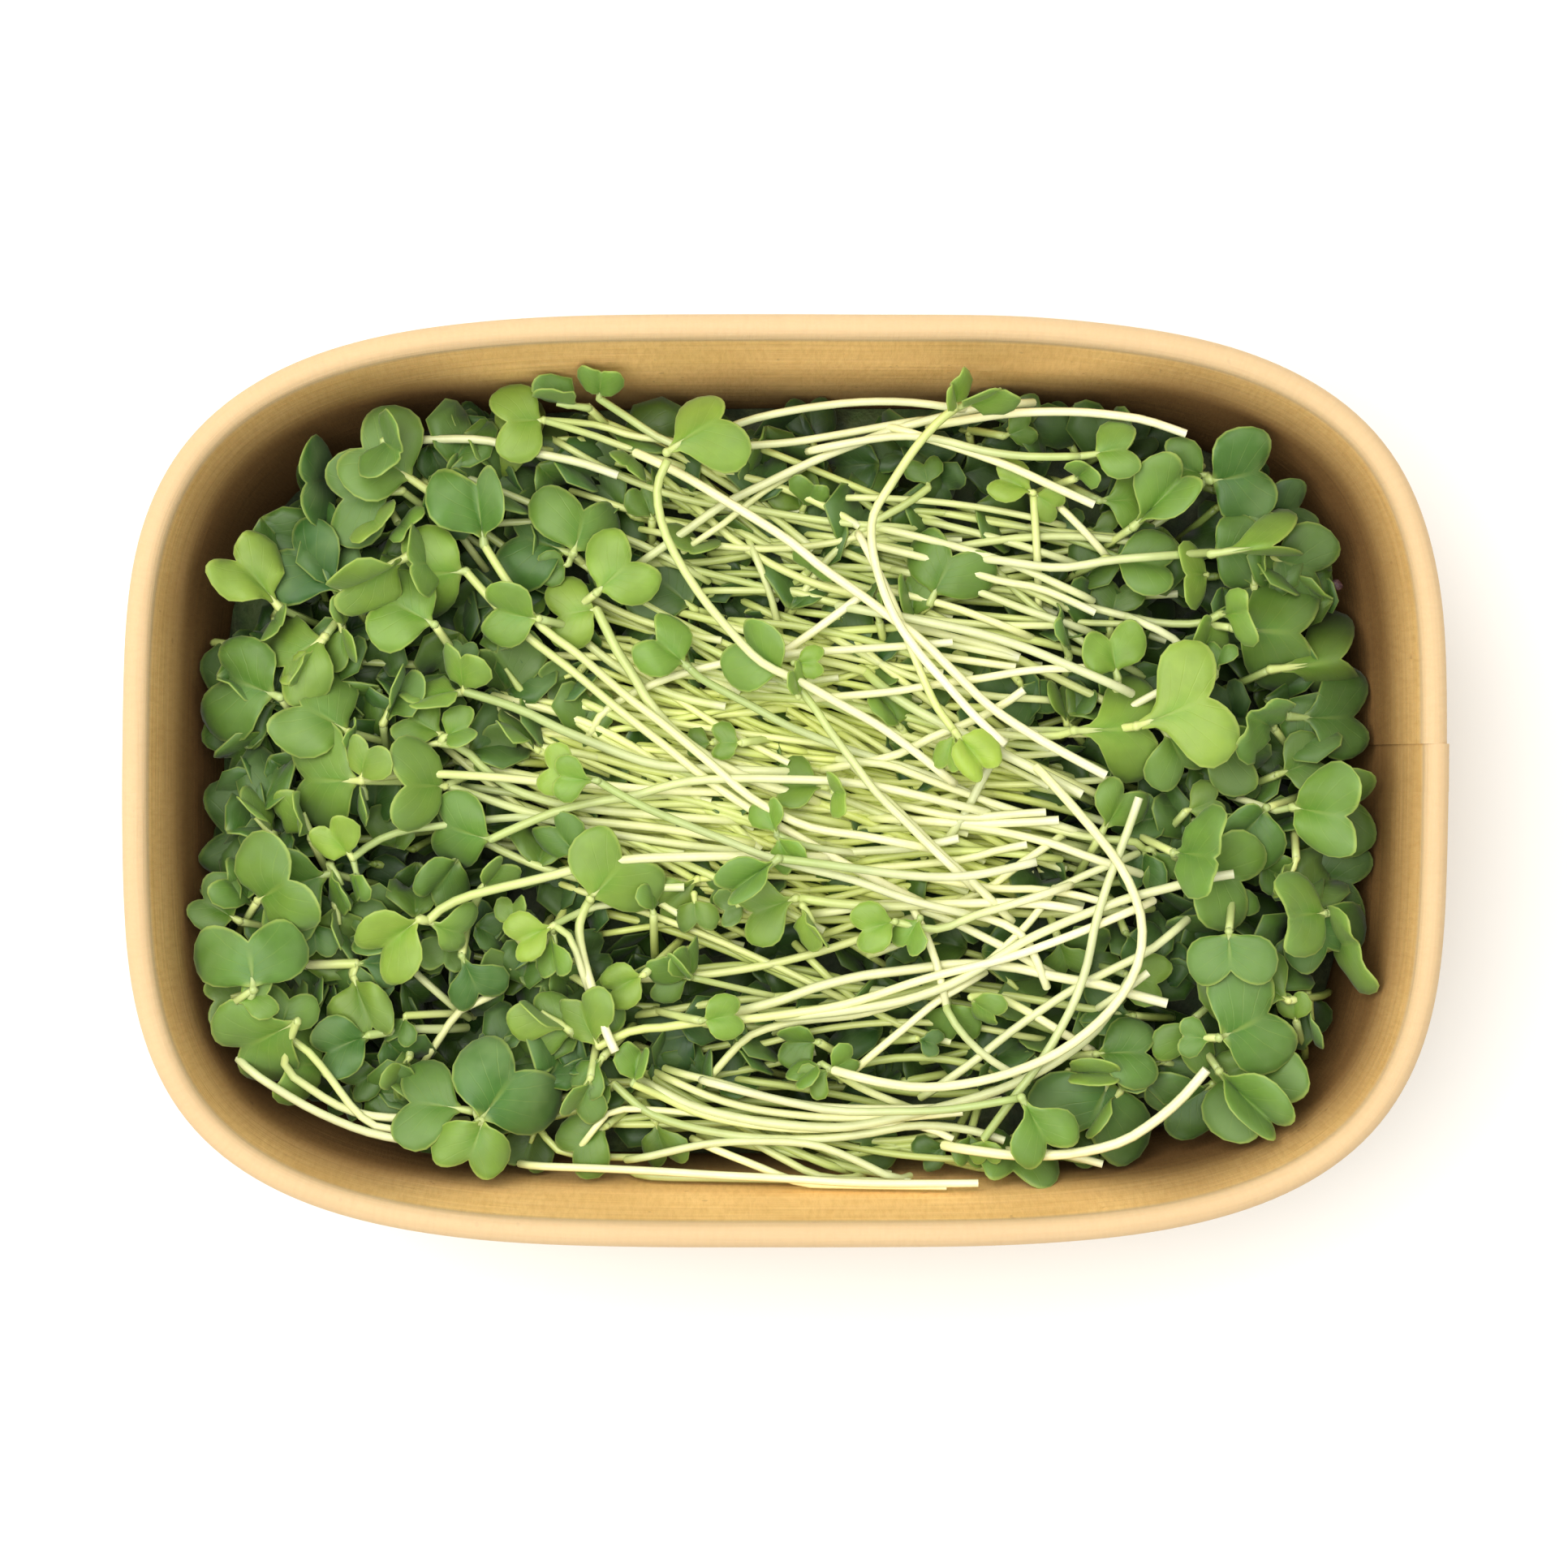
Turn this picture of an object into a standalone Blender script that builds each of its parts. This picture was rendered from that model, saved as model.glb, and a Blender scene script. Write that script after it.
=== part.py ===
"""Broccoli microgreens in a kraft-paper tray: cut sprouts lying in a rolled-rim paper bowl.

Run with: blender --background --python part.py
Metres, +Z up. The origin is at the bottom centre of the tray, +X runs along its long side.
Each leaf and stem has its own place in the lists below, in millimetres seen from above,
with its depth below the rim. Leaves grow in bunches, and each bunch is one fused solid.
"""

import math
import random

import bmesh
import bpy
from mathutils import Matrix, Vector
from mathutils.bvhtree import BVHTree

MM = 0.001

# Tray: rolled-rim paper bowl, a rounded rectangle seen from above
TRAY_LENGTH = 172.0
TRAY_WIDTH = 121.2
TRAY_HEIGHT = 50.0
OUTLINE_POWER = 3.65
RIM_WIDTH = 3.4
PAPER = 0.7
WALL_SPREAD = 11.0
HEM_GAP = 1.3
HEM_HEIGHT = 5.0
FLOOR_TOP = 6.9
FLANGE_FOOT = 1.0
CLEARANCE = 0.3
FLOOR_INSET = -45.0
OUTLINE_POINTS = 48
OUTLINE_STEPS = 2880
CURL_POINTS = 6
CURL_START = 180.0
CURL_TURN = 290.0
WALL_BREAK = 0.5
SHARP_ANGLE = 40.0

# Greens: a core fills the bottom of the tray, and the leaves and stems stand out of it
BLADE_THICKNESS = 0.7
STEM_RADIUS = 0.65
STRUT_RADIUS = 0.6
PETIOLE_HEEL = 0.9
CORE_BOTTOM = FLOOR_TOP + CLEARANCE
LEAF_CORE_DEPTH = 21.0
MAT_CORE_DEPTH = 18.0
MAT_LEFT = -19.0
MAT_RIGHT = 41.0
CORE_WALL_GAP = 2.0
CORE_POINTS = 32
STEM_TOLERANCE = 0.6
SETTLE = 3.0
LIFT_STEP = 0.3
MOST_LIFTS = 36
STRUT_SINK = 0.35
ROOT_SPACING = 1.6
SHORTEST_RUN = 7.0
EDGE_WAVE = 0.03
EDGE_CLEARANCE = 0.6
STEM_SIDES = 4
STRUT_SIDES = 3
STEEP = 0.7
MOST_PUSHES = 3
LEAF_SUPPORTS = (0.3, 0.7, 1.0)
STEM_SUPPORTS = (0.15, 0.5)
SEED_X = 977
SEED_Y = 131

# Reading: the camera's height above the rim, and the depth at which the listed places were read
VIEW_HEIGHT = 600.0
READING_DEPTH = 12.0

# Leaf outline of one half, in blade widths, from the base round to the notch at the tip
HALF_OUTLINE = [(0.26, 0.09), (0.49, 0.36), (0.41, 0.66), (0.17, 0.71)]
BLADE_NOTCH = 0.56
BLADE_MIDDLE = 0.30

# Colours: leaf upper face, young leaf, stem, kraft paper
LEAF_GREEN = (0.20, 0.38, 0.11, 1.0)
YOUNG_GREEN = (0.47, 0.60, 0.17, 1.0)
STEM_CREAM = (0.75, 0.72, 0.42, 1.0)
KRAFT = (0.62, 0.41, 0.20, 1.0)

# Bunches: name, and the stretch of x that its core fills
BUNCHES = {
    "left_leaves": (-90.0, MAT_LEFT),
    "right_leaves": (MAT_RIGHT, 90.0),
}

# Leaves: x, y, depth, heading, pitch, roll, width, petiole, fold, curl
LEAVES = {
    "left_leaves": [
        (-46, 49, 17, 110, 10, 60, 9, 1, 10, 20),
        (-36, 49.5, 15, 145, 0, 170, 9, 0.5, 8, 10),
        (-57.5, 24.5, 14.5, 143, 0, 0, 14, 0.8, 8, 20),
        (-67, 23, 14, 115, 20, 40, 11, 1.5, 35, 10),
        (-50.5, 38.3, 14, 180, 5, 5, 12, 2, 10, 25),
        (-52, 44, 12, 135, 5, 10, 14, 2, 8, 25),
        (-51.5, 45, 13, -48, 68, 0, 12, 0.8, 12, 10),
        (-46.5, 28.5, 13.5, 180, 68, 0, 10, 0.5, 10, 10),
        (-50, 28, 11.5, 190, 10, -58, 13, 2, 20, 15),
        (-28, 29.5, 13.5, 150, 5, 20, 11, 0.8, 10, 25),
        (-39.5, 31, 12, 95, 5, 0, 13, 2, 14, 25),
        (-41.5, 26.5, 11, 185, 5, 0, 10, 1, 8, 15),
        (-27.5, 52, 12, 170, 15, 30, 9, 2, 45, 10),
        (-32, 47.5, 12, 180, 0, 0, 9.5, 0.5, 8, 15),
        (-33, 23.5, 12, 215, 5, 0, 9, 1, 10, 25),
        (-27.8, 29.7, 11, 60, 5, 0, 9, 1, 10, 20),
        (-25, 25.5, 10, 40, 5, 0, 7.5, 1, 8, 15),
        (-25, 22.5, 11, 215, 5, 0, 9, 1, 8, 15),
        (-50.6, 18.5, 9.5, 85, 15, -25, 10, 1.5, 8, 15),
        (-61.5, 19, 10, 185, 5, -15, 11, 1.5, 10, 20),
        (-48, -12.5, 17, 205, 0, 0, 9, 1, 10, 20),
        (-30, -9, 17, 180, 0, 0, 11, 1, 10, 20),
        (-68, -8, 15.5, 175, 0, 0, 16, 0.5, 8, 20),
        (-34, 11, 14, 125, 0, 172, 11.5, 1, 8, 10),
        (-70.5, 11.5, 13.5, 182, -5, 0, 16, 1, 8, 20),
        (-43, -10, 13, 235, 5, -30, 10, 0.8, 20, 20),
        (-53, 7.5, 12.5, 62, 10, 45, 11, 1, 32, 15),
        (-66.5, 11, 11.5, 165, 0, -18, 14, 2, 10, 25),
        (-59.7, -12.2, 12, 195, 5, 0, 14.5, 0.8, 12, 20),
        (-67.5, -7, 12.5, 130, 20, 45, 9, 0.5, 35, 10),
        (-32.5, 4, 12.5, 135, 10, 62, 9, 0.5, 20, 15),
        (-61, 18, 11.5, 235, 10, 45, 9, 1, 28, 10),
        (-62.5, -7.5, 11, 113, 12, -58, 10, 0.5, 20, 20),
        (-58, 6.5, 10, 145, 5, 0, 15, 0.5, 10, 18),
        (-55.7, 0, 8.5, 180, -25, 0, 14, 0.8, 10, 25),
        (-55.5, 0.5, 8, 80, 25, -45, 8, 0.5, 10, 15),
        (-42.3, 11.8, 10, 95, 35, -50, 8, 0.5, 12, 15),
        (-43, 12, 10.5, 190, 10, 50, 11, 1, 28, 15),
        (-45, 6.2, 10.5, 155, 0, 20, 9, 0.5, 12, 20),
        (-44.8, -0.7, 11, 180, 50, 0, 12.5, 0.5, 18, 15),
        (-45.5, -7, 9.5, 10, 5, 0, 9, 1.5, 8, 20),
        (-57, -10.2, 8, 130, 15, -35, 8, 0.8, 10, 10),
        (-27.5, -9.5, 10.5, 130, 5, -35, 8.5, 0.5, 12, 15),
        (-28.5, -38, 17, 165, 0, 0, 9, 0.8, 10, 20),
        (-28, -24, 15, 215, 0, 170, 10, 0.5, 8, 10),
        (-61, -37.5, 14, 175, 48, 0, 11, 0.5, 10, 10),
        (-23.5, -45.5, 14, 215, 0, 30, 9, 0.5, 12, 20),
        (-51, -19.5, 13.5, 190, 0, 0, 9, 0.5, 10, 20),
        (-70.5, -16.5, 13.5, 130, 25, 40, 9, 0.5, 28, 10),
        (-69.5, -15.8, 13, 31, 52, 0, 15, 0.5, 14, 15),
        (-42.5, -23, 13, -65, 0, 0, 9, 0.5, 10, 20),
        (-54.7, -33.5, 13, 200, 0, 0, 10, 0.5, 10, 20),
        (-57, -25.5, 13, -70, 8, 0, 12, 1, 12, 15),
        (-26, -27, 12.5, -30, 0, 25, 9, 0.5, 12, 20),
        (-40.5, -43.5, 12.5, 170, 0, 0, 12.5, 2, 10, 20),
        (-74, -19.5, 11.5, 150, 5, -10, 9, 1, 10, 15),
        (-39.5, -45, 11.5, -100, 0, 0, 10.5, 0.5, 8, 15),
        (-41.3, -44.3, 10.5, 48, 0, 0, 15.5, 1, 8, 20),
        (-28.3, -33, 11.5, 150, 15, -42, 10, 0.8, 14, 20),
        (-24.5, -35, 11, 120, 5, -45, 10, 0.5, 12, 15),
        (-30.3, -19, 9.5, 205, 8, 12, 8, 0.7, 8, 10),
        (-66.3, -33, 10, 75, 5, -12, 8, 0.8, 10, 15),
        (-47, -18.5, 10, -25, 0, 20, 8.5, 0.5, 10, 40),
        (-72.3, -28.3, 9, 3, 5, 25, 7.5, 0.8, 10, 15),
        (-72.3, -28, 8.5, 96, 5, 0, 16, 1.5, 6, 15),
        (-68.8, -34, 8.5, 200, 0, 0, 15, 1, 24, 12),
        (-47.3, -18.2, 8.5, 215, 0, 0, 15, 1, 8, 15),
    ],
    "right_leaves": [
        (64, 35, 17, 20, 0, 0, 10, 0.5, 10, 20),
        (57, 36, 17, 20, 0, 0, 9, 0.5, 10, 20),
        (42.3, 29.3, 12.5, -5, 0, 0, 11, 1.5, 10, 20),
        (56.7, 40.7, 12, 20, 0, 0, 14, 1.5, 8, 20),
        (46, 34, 11.5, 40, 42, 0, 12, 0.8, 20, 10),
        (57.5, 22, 11.5, 0, 58, 0, 9, 0.8, 12, 10),
        (65.3, 31.5, 10.5, -25, 0, 0, 15, 1.5, 8, 20),
        (68.2, 16.5, 10.5, -5, -5, 0, 15, 0.5, 8, 25),
        (67.6, 19.5, 9.5, 180, 12, 0, 16, 0.5, 8, 25),
        (57, 30, 9.5, 10, 5, 0, 12, 2.5, 8, 20),
        (43.6, 14, 10.5, 105, 0, 0, 9.5, 1, 8, 15),
        (71, -13.5, 16, -5, 0, 0, 10, 0.5, 8, 20),
        (71, -3.5, 14.5, 0, 0, 0, 14.5, 0.5, 8, 20),
        (69.5, 9, 13, -3, 0, 0, 13.5, 1.5, 8, 20),
        (55, 4, 13, 0, 0, 0, 11, 0.5, 8, 20),
        (64.5, 7, 13, 161, 62, 0, 12.5, 0.5, 14, 10),
        (41.5, -7.3, 12.5, 55, 0, 0, 9, 1, 12, 20),
        (51.5, -10, 11.5, -20, 0, 0, 15.5, 0.5, 8, 20),
        (51.3, -9.5, 10.5, 0, 66, 0, 15, 0.5, 14, 12),
        (65.3, -3, 10, 225, 0, 0, 11, 0.5, 8, 20),
        (67, -3.5, 10, -10, 40, 0, 14.5, 0.8, 14, 20),
        (50, 7, 9.5, -60, -10, -15, 10, 0.8, 8, 20),
        (41, 6.5, 8.5, 22, 5, -8, 13, 1, 10, 20),
        (48.3, 8, 8, 15, 8, 0, 16, 1.2, 12, 20),
        (49.3, -46, 15.5, 231, 0, 0, 15, 0.5, 8, 20),
        (69, -28, 14.5, -85, 0, 50, 10, 0.5, 14, 20),
        (56.5, -40, 14.5, 215, 0, -30, 11, 0.5, 12, 20),
        (74.5, -22, 14, 0, 62, 0, 13, 0.5, 10, 10),
        (62, -42.5, 14, -65, 0, 0, 15, 0.8, 8, 20),
        (46, -31, 13.5, 175, 0, 0, 9, 0.5, 10, 20),
        (41.5, -36, 12.5, 5, 0, 0, 10.5, 0.5, 8, 20),
        (44.3, -41, 12.5, 225, -5, 50, 9, 1, 14, 15),
        (71.5, -19, 12, -70, 0, 0, 10, 0.8, 8, 20),
        (54, -31.5, 12, -110, 0, 0, 9, 0.5, 8, 20),
        (71, -17.5, 11.5, 180, 52, 0, 13, 0.5, 12, 15),
        (66.5, -29, 11, 150, 0, 12, 9, 0.5, 10, 20),
        (57.6, -19.3, 9.5, -88, 0, 0, 10.8, 0.5, 8, 15),
        (59, -39.7, 9.5, -68, 0, 0, 16, 1, -18, 25),
        (57.3, -34.3, 9.5, 30, 0, 0, 15.5, 0.8, 8, 18),
    ],
}

# Leaves tucked in under the mat of stems, one bunch of blades a row
TUCKED = [
    [(-11.5, -33.5, 12.5, 190, 0, 0, 11, 0.5, 10, 20)],
    [(15.5, -47, 14.5, 215, 0, 168, 11, 0.5, 8, 10)],
    [(31.5, -48.5, 13.5, -95, 50, 0, 13, 0.5, 12, 10)],
    [(37.5, -38.5, 12, 0, 20, -10, 11, 0.5, 28, 10)],
    [(10.8, 17, 13, 180, 0, 0, 9.5, 1, 10, 20)],
    [(-3.8, 29.5, 12.5, 105, 0, 170, 8.5, 0.5, 8, 10)],
    [(-10.5, 32, 12, 222, 62, 0, 9, 0.8, 12, 10)],
    [(30.5, -31, 14, -20, 0, 170, 9, 0.5, 8, 10)],
]

# Sprouts lying loose on top: the blades of each, then its stem
SPROUTS = [
    ([(-15.3, 42, 7.5, 45, 5, -10, 14, 1.5, 26, 15)],
     (8, 11, [(-15.3, 42), (-16.7, 37), (-15, 31), (-11, 25), (-3, 15.5), (7, 10.2), (20, 1.5)])),
    ([(-12.7, 15, 9, 138, 0, 0, 10, 1, 8, 15)],
     (9, 10.5, [(-12.7, 15), (-8, 11.8), (0, 7.5), (8, 4.3), (17, 1.5), (28, -3.5)])),
    ([(0.3, 13.7, 9, 142, 0, 0, 11.5, 1, 8, 15)],
     (9, 10, [(0.3, 13.7), (4, 9.5), (9, 2.5), (16, -5.5), (23, -12.3)])),
    ([(-1, -7.2, 7, 110, 0, -35, 7, 0.5, 8, 10), (-1, -7.2, 7, -60, 0, 25, 7, 0.5, 8, 10)],
     (7, 8, [(-1, -7.2), (3, -8.6), (8, -9.4)])),
    ([(-0.8, -10.2, 8.5, 215, 5, 0, 11, 1, 30, 12)],
     (9, 8.5, [(-0.8, -10.2), (10, -11.6), (16, -12.4), (22, -12.6), (27, -12), (33, -10.6)])),
    ([(22.4, 6.4, 8, -50, 0, 0, 9, 1, 20, 15)],
     (8.2, 11, [(22.4, 6.4), (18.3, 13.3), (14, 24), (11, 30)])),
    ([(-25.5, -15.4, 8.5, 42, 5, 0, 14, 0.8, 10, 22)],
     (8.8, 7, [(-25.5, -15.4), (-27.2, -20), (-26.5, -24), (-22.4, -35.9)])),
    ([(-24.5, 0, 9.5, 175, 5, -10, 7, 0.8, 8, 10)],
     (9.5, 12, [(-24.5, 0), (-18, -3.6), (-8, -7.7), (3, -11.5), (22, -17)])),
    ([(22.5, 49, 9, 95, 35, 25, 7, 1, 12, 10), (22.5, 49, 9, 15, 20, 45, 9, 2, 12, 10)],
     (9, 7.5, [(22.5, 49), (17, 43.5), (11.7, 35), (11.5, 31), (14.5, 21.5), (21, 13), (29, 4.8)])),
    ([(39, 42.7, 9.5, 8, 10, 0, 8.5, 2, 8, 15)],
     (10, 11, [(39, 42.7), (32, 42.7), (26, 43.5), (20, 45), (6, 44)])),
    ([(1.5, -15.5, 10, 200, 0, 0, 11, 0.5, 10, 20), (2.4, -16.5, 9.5, -65, -5, 60, 8, 0.5, 10, 15)],
     (10, 9, [(1.5, -15.5), (8, -16.3), (20, -16.3), (34, -16.3), (39.3, -17.2)])),
    ([(-11.5, -13, 10.5, 215, 0, 0, 9, 0.5, 10, 20)],
     (10.5, 11, [(-11.5, -13), (-4, -12.6), (4, -12.9)])),
    ([(-12.6, -26, 9.5, 140, 28, -50, 8, 0.5, 10, 15), (-12.6, -26, 10.5, 190, 0, -20, 7, 0.5, 8, 15)],
     (10, 11, [(-12.6, -26), (-7, -27.3), (-2, -28.4)])),
    ([(-12, -29.5, 10.5, -30, 0, 0, 8, 1, 10, 15)], None),
    ([(37.5, 7.5, 11, 100, 0, 35, 8, 0.5, 10, 20)], None),
    ([(31, -41.5, 11, -60, 0, 0, 12, 0.5, 8, 20)],
     (11, 12, [(31, -41.5), (22, -43), (14, -43.3), (5, -43), (-8, -40)])),
    ([(5.6, -0.8, 10.5, 178, 0, 0, 8, 0.8, 8, 15)], None),
    ([(32.8, 38, 11, 155, 0, 0, 7.5, 0.5, 8, 10)],
     (11, 12, [(32.8, 38), (33.3, 30), (33.5, 24)])),
    ([(19.5, 24.8, 11, 70, 0, 0, 11, 0.8, 10, 20)], None),
    ([(2.3, 35.5, 11, 105, 0, 0, 8, 0.5, 8, 15)],
     (11.3, 12, [(2.3, 35.5), (2, 31), (0, 20)])),
    ([(14.5, -18.5, 10.5, 195, 0, 0, 7.5, 0, 8, 15)],
     (10.5, 11, [(14.5, -18.5), (20, -19.5), (25, -17.9), (35, -14.6)])),
]

# Stems: depth at the start, depth at the end, points seen from above
STEMS = [
    (11.5, 12, [(-24.5, 50.5), (-20, 47.5), (-16, 45), (-8, 42)]),
    (11, 12, [(-48, 45), (-40, 45), (-33, 43.3), (-27, 42), (-22, 40.3)]),
    (12, 11, [(-39.5, 31), (-36, 25.5), (-32, 20.3), (-27, 16.5), (-21, 11.3), (-16, 7.5), (-10, 2.5),
              (-4, -2.5), (3, -6), (10, -7.2), (17, -8.5)]),
    (11, 10, [(-42, 28), (-37, 22), (-33.5, 18.7), (-28, 14.5), (-22, 9.5), (-16, 4.8), (-10, 0),
              (-4, -4), (3, -8), (9, -11.5), (16, -15)]),
    (10, 10, [(-23, 20), (-22, 17), (-20, 14), (-18, 10.5), (-14, 6), (-9, 2.5), (-4, 0), (2, -2)]),
    (10, 12, [(-42, 12.3), (-38, 10.5), (-34, 9), (-30, 7), (-26, 5.3), (-20, 3), (-16, 2), (-8, 1.5),
              (0, 1.2)]),
    (8.5, 9.5, [(-38.3, -7.5), (-35, -6), (-30, -4), (-25, -2.8), (-20, -2), (-16, -0.8), (-12, 0),
                (-6, 0.3), (0, 0.2), (6, 0), (12, -0.7), (18, -2), (24, -3.5)]),
    (12, 8.5, [(-25.5, 6.5), (-24, 9), (-21, 11), (-18, 12.5), (-14, 14), (-8, 15.5), (0, 16.7),
               (8, 17.3), (16, 17.8), (22.2, 18.3)]),
    (10, 13, [(-45, 5.2), (-42.5, 4.3), (-39.5, 1.5), (-36, -1), (-30, -3), (-24, -3.9), (-16, -4.6),
              (-8, -5.2)]),
    (9, 13, [(-55.7, 0), (-52, 0.7), (-46, 0.7), (-40, 0.5), (-36, 0.3), (-30, -0.3), (-24, -0.6),
             (-17, -1.2), (-8, -1.5)]),
    (10, 13, [(-54, -0.2), (-47, -0.2), (-42, -1.5), (-36, -3.5), (-31, -4.8), (-24, -5.5),
              (-16, -6.3), (-6, -8)]),
    (8.3, 12, [(-57, -10.2), (-54, -8), (-50, -6.5), (-46, -6), (-40, -5.2), (-33, -4.9), (-24, -6.8),
               (-14, -8.3), (-6, -9.3)]),
    (8.8, 11, [(-47.3, -18.2), (-45, -16.7), (-42, -15.3), (-38, -14.2), (-34, -13.3), (-30, -12.3),
               (-26, -11.3), (-20, -10.5), (-12, -10.1), (-4, -10.1)]),
    (11.5, 9.5, [(-22, -9.5), (-14, -9.2), (-6, -9.4), (2, -9.5), (10, -9), (17, -8.6), (23, -7.6)]),
    (11, 9, [(-23.5, -33.3), (-20, -32.9), (-16, -32.5), (-11, -31.8), (-5, -31.4), (0, -30.8),
             (6, -29.9), (11, -28.6), (16, -26.9), (21, -25.4), (27, -24), (32, -22.5), (39, -19.9),
             (46, -17)]),
    (13, 9, [(-9.3, -38.5), (-6, -34.8), (-3, -32.9), (3, -31.8), (9, -31.2), (14, -29.9), (20, -27.7),
             (25, -25.3), (29, -22), (32, -19), (34, -16.5)]),
    (13, 10, [(-5, -30.2), (0, -28.8), (4, -27.3), (10, -25.8), (16, -25), (23, -24.3), (30, -24.6),
              (36, -25.9), (42, -27), (46, -28.2), (50.5, -29.4)]),
    (5.5, 9, [(59.3, -12.3), (55, -13), (50, -14.3), (46, -15.3), (42, -16.7), (37, -18.7), (32, -21),
              (27, -24), (22, -26.8), (16, -28.9), (9, -30.2), (2, -31)]),
    (8, 10, [(35.3, -0.5), (38, -3.5), (41, -7), (44, -11), (46, -15), (47, -19), (46.6, -23.5),
             (44.5, -28), (41, -32), (36, -35.7), (30, -38.3), (24, -39.8), (18, -40.3), (13, -39.7),
             (9.5, -38.9)]),
    (9, 11, [(44, -28.7), (41, -33), (37, -36.5), (33, -38.9), (28, -41), (22, -42.7), (16, -44.4),
             (8, -45.7), (0, -45.4), (-6, -44.5), (-12, -43), (-17, -40.6)]),
    (5, 8, [(46.8, -2.2), (45.5, -6), (44, -10), (42.5, -14), (41, -19), (40, -24), (38.3, -29),
            (36, -33.5), (33.5, -37.5), (30.5, -41.5), (27, -45.7)]),
    (8.5, 7.5, [(-17, 42), (-13, 40), (-8, 37), (0, 32), (5, 28), (10, 24.5), (14, 21.5), (18, 18.5),
                (22, 14.6), (27, 9.8), (33, 5.8), (38, 3), (42.3, 0.7)]),
    (12, 8, [(9, 14.5), (14, 11.5), (18, 9), (23, 6.5), (28, 4), (33, 1.5), (39.3, -1.8)]),
    (13, 8.5, [(8, 2), (14, 3.2), (20, 6), (25, 8), (29, 10.2), (31.6, 12)]),
    (13, 10.5, [(6, 11), (14, 11.7), (20, 12.7), (26, 13.5), (32, 14.5), (37.5, 14.8)]),
    (12, 9, [(10, 22.5), (18, 21), (25, 19.5), (31, 17.7), (36, 15.7), (43, 12.7)]),
    (12, 13, [(14, 2), (18, 0.5), (22, -1), (27, -2.8), (33, -4.8), (38, -6.5)]),
    (11, 9.5, [(10, 1), (14, -3), (17, -6), (21, -10), (25, -13.5), (28, -16.5)]),
    (10, 12, [(22, -7), (24, -4), (26, 0), (28.3, 4)]),
    (13, 11, [(16, -3.4), (23.5, -4.8), (30, -4.4), (34.5, -4.1)]),
    (13, 10, [(14, -5), (24, -5.8), (30, -5.6), (36.2, -5.2)]),
    (12.5, 9.5, [(12, -11.2), (18, -11), (24, -10.3), (28, -9.2), (32, -8.4)]),
    (11, 10, [(23, -5.8), (29, -6.8), (35, -8.2), (40, -10), (44.3, -11.4)]),
    (13, 10.5, [(20, -13), (27.5, -14.2), (33, -14.3), (38, -15), (42, -16)]),
    (12, 10, [(6, -17.3), (14, -17), (20, -17.2), (26, -18.2), (30.5, -20), (32.5, -22),
              (33.6, -24.6)]),
    (4.5, 10, [(55.5, -38), (52, -42), (48, -45.3), (44, -47.6), (38, -49), (31, -49.3), (24, -48.5)]),
    (12, 10, [(30, -48.8), (37, -49.4), (42, -50.6)]),
    (10, 12, [(20.8, -27.5), (21.5, -30.5), (24, -34), (27, -36.7), (29.7, -38.4)]),
    (12, 11, [(17, -17), (18.5, -20), (20, -24), (20.8, -27.3)]),
    (9, 13, [(51, -20.2), (48, -22.5), (43, -25), (39, -27), (35, -29.5), (30, -33), (25, -37),
             (20.5, -40.2)]),
    (10.5, 11, [(24, -26.6), (28, -28.5), (33, -31), (38.2, -34.2)]),
    (12, 11, [(18, -17), (22, -18.5), (26, -20.5), (30, -22.5), (33.2, -24.3)]),
    (13, 11, [(-13, -38.8), (-8, -40), (-2, -41.8), (5, -43), (14, -43.3), (22, -43), (28.7, -42.1)]),
    (13, 11, [(-14.5, -39.7), (-9, -42), (-3, -43.5), (5, -44.4), (14, -44.5), (23.5, -43.7)]),
    (12, 10.5, [(-22.5, -41.8), (-18, -43.8), (-12, -45.8), (-5, -47), (3, -47.3), (10, -46.7),
                (17, -45.5), (24, -46), (29, -47.5)]),
    (13, 12, [(-18, -49.5), (-10, -47.8), (-2, -47.5), (4, -48), (9, -49.8), (14.3, -52.3)]),
    (12, 8, [(-9.5, -48.5), (-4, -50.7), (2, -53), (8, -54.3), (15, -55), (22.3, -55.3)]),
    (13, 9, [(-32, -50.7), (-24, -51), (-16, -51.4), (-8, -51.9), (0, -52.3), (10, -52.9), (19, -53.3),
             (26, -54)]),
    (12, 9, [(-18, -52.4), (-8, -53), (4, -53.7), (11, -54), (17, -54)]),
    (12, 10.5, [(-19.5, -40), (-15.5, -42), (-11, -44), (-5, -45.3), (3, -46), (11, -45.5),
                (18, -45.6), (22.2, -47.3)]),
    (12, 13, [(6, -38.5), (10, -40.5), (14.5, -42.4)]),
    (12, 10, [(9.7, -37.8), (12, -35.8), (16, -32.5), (20.5, -28.8)]),
    (9, 13, [(-68.7, -34.3), (-66, -37.5), (-62, -41), (-58, -43.3), (-54, -44.3), (-50, -44.5)]),
    (9.5, 13, [(-66, -33.3), (-63, -35.5), (-60, -39), (-57, -43), (-54, -45.5), (-50, -46)]),
    (10, 9.5, [(-10.5, 45.3), (-5, 47.5), (0, 48.7), (5, 49.5), (10, 50), (16, 50), (22, 49.3)]),
    (11, 10, [(-8.5, 44), (0, 44.6), (6, 45.5), (16, 47.3)]),
    (12, 9.5, [(-18, 29.5), (-13, 33), (-8, 36.5), (-2, 39.5), (4, 42.3), (10, 44.7), (16, 46.8),
               (25, 49), (30, 49.7)]),
    (11, 13, [(19, 38.7), (16, 36.5), (10, 33), (5, 28.5), (2, 24)]),
    (9, 7, [(22, 47.3), (30, 48.5), (38, 48.7), (44, 48.2), (48, 47.5), (53, 45.8)]),
    (11, 9, [(16, 46), (24, 43.5), (30, 41.3), (35, 39), (40.8, 36.4)]),
    (10, 14, [(57, 30), (49, 29.5), (43, 29), (36, 28), (28, 29)]),
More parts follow.
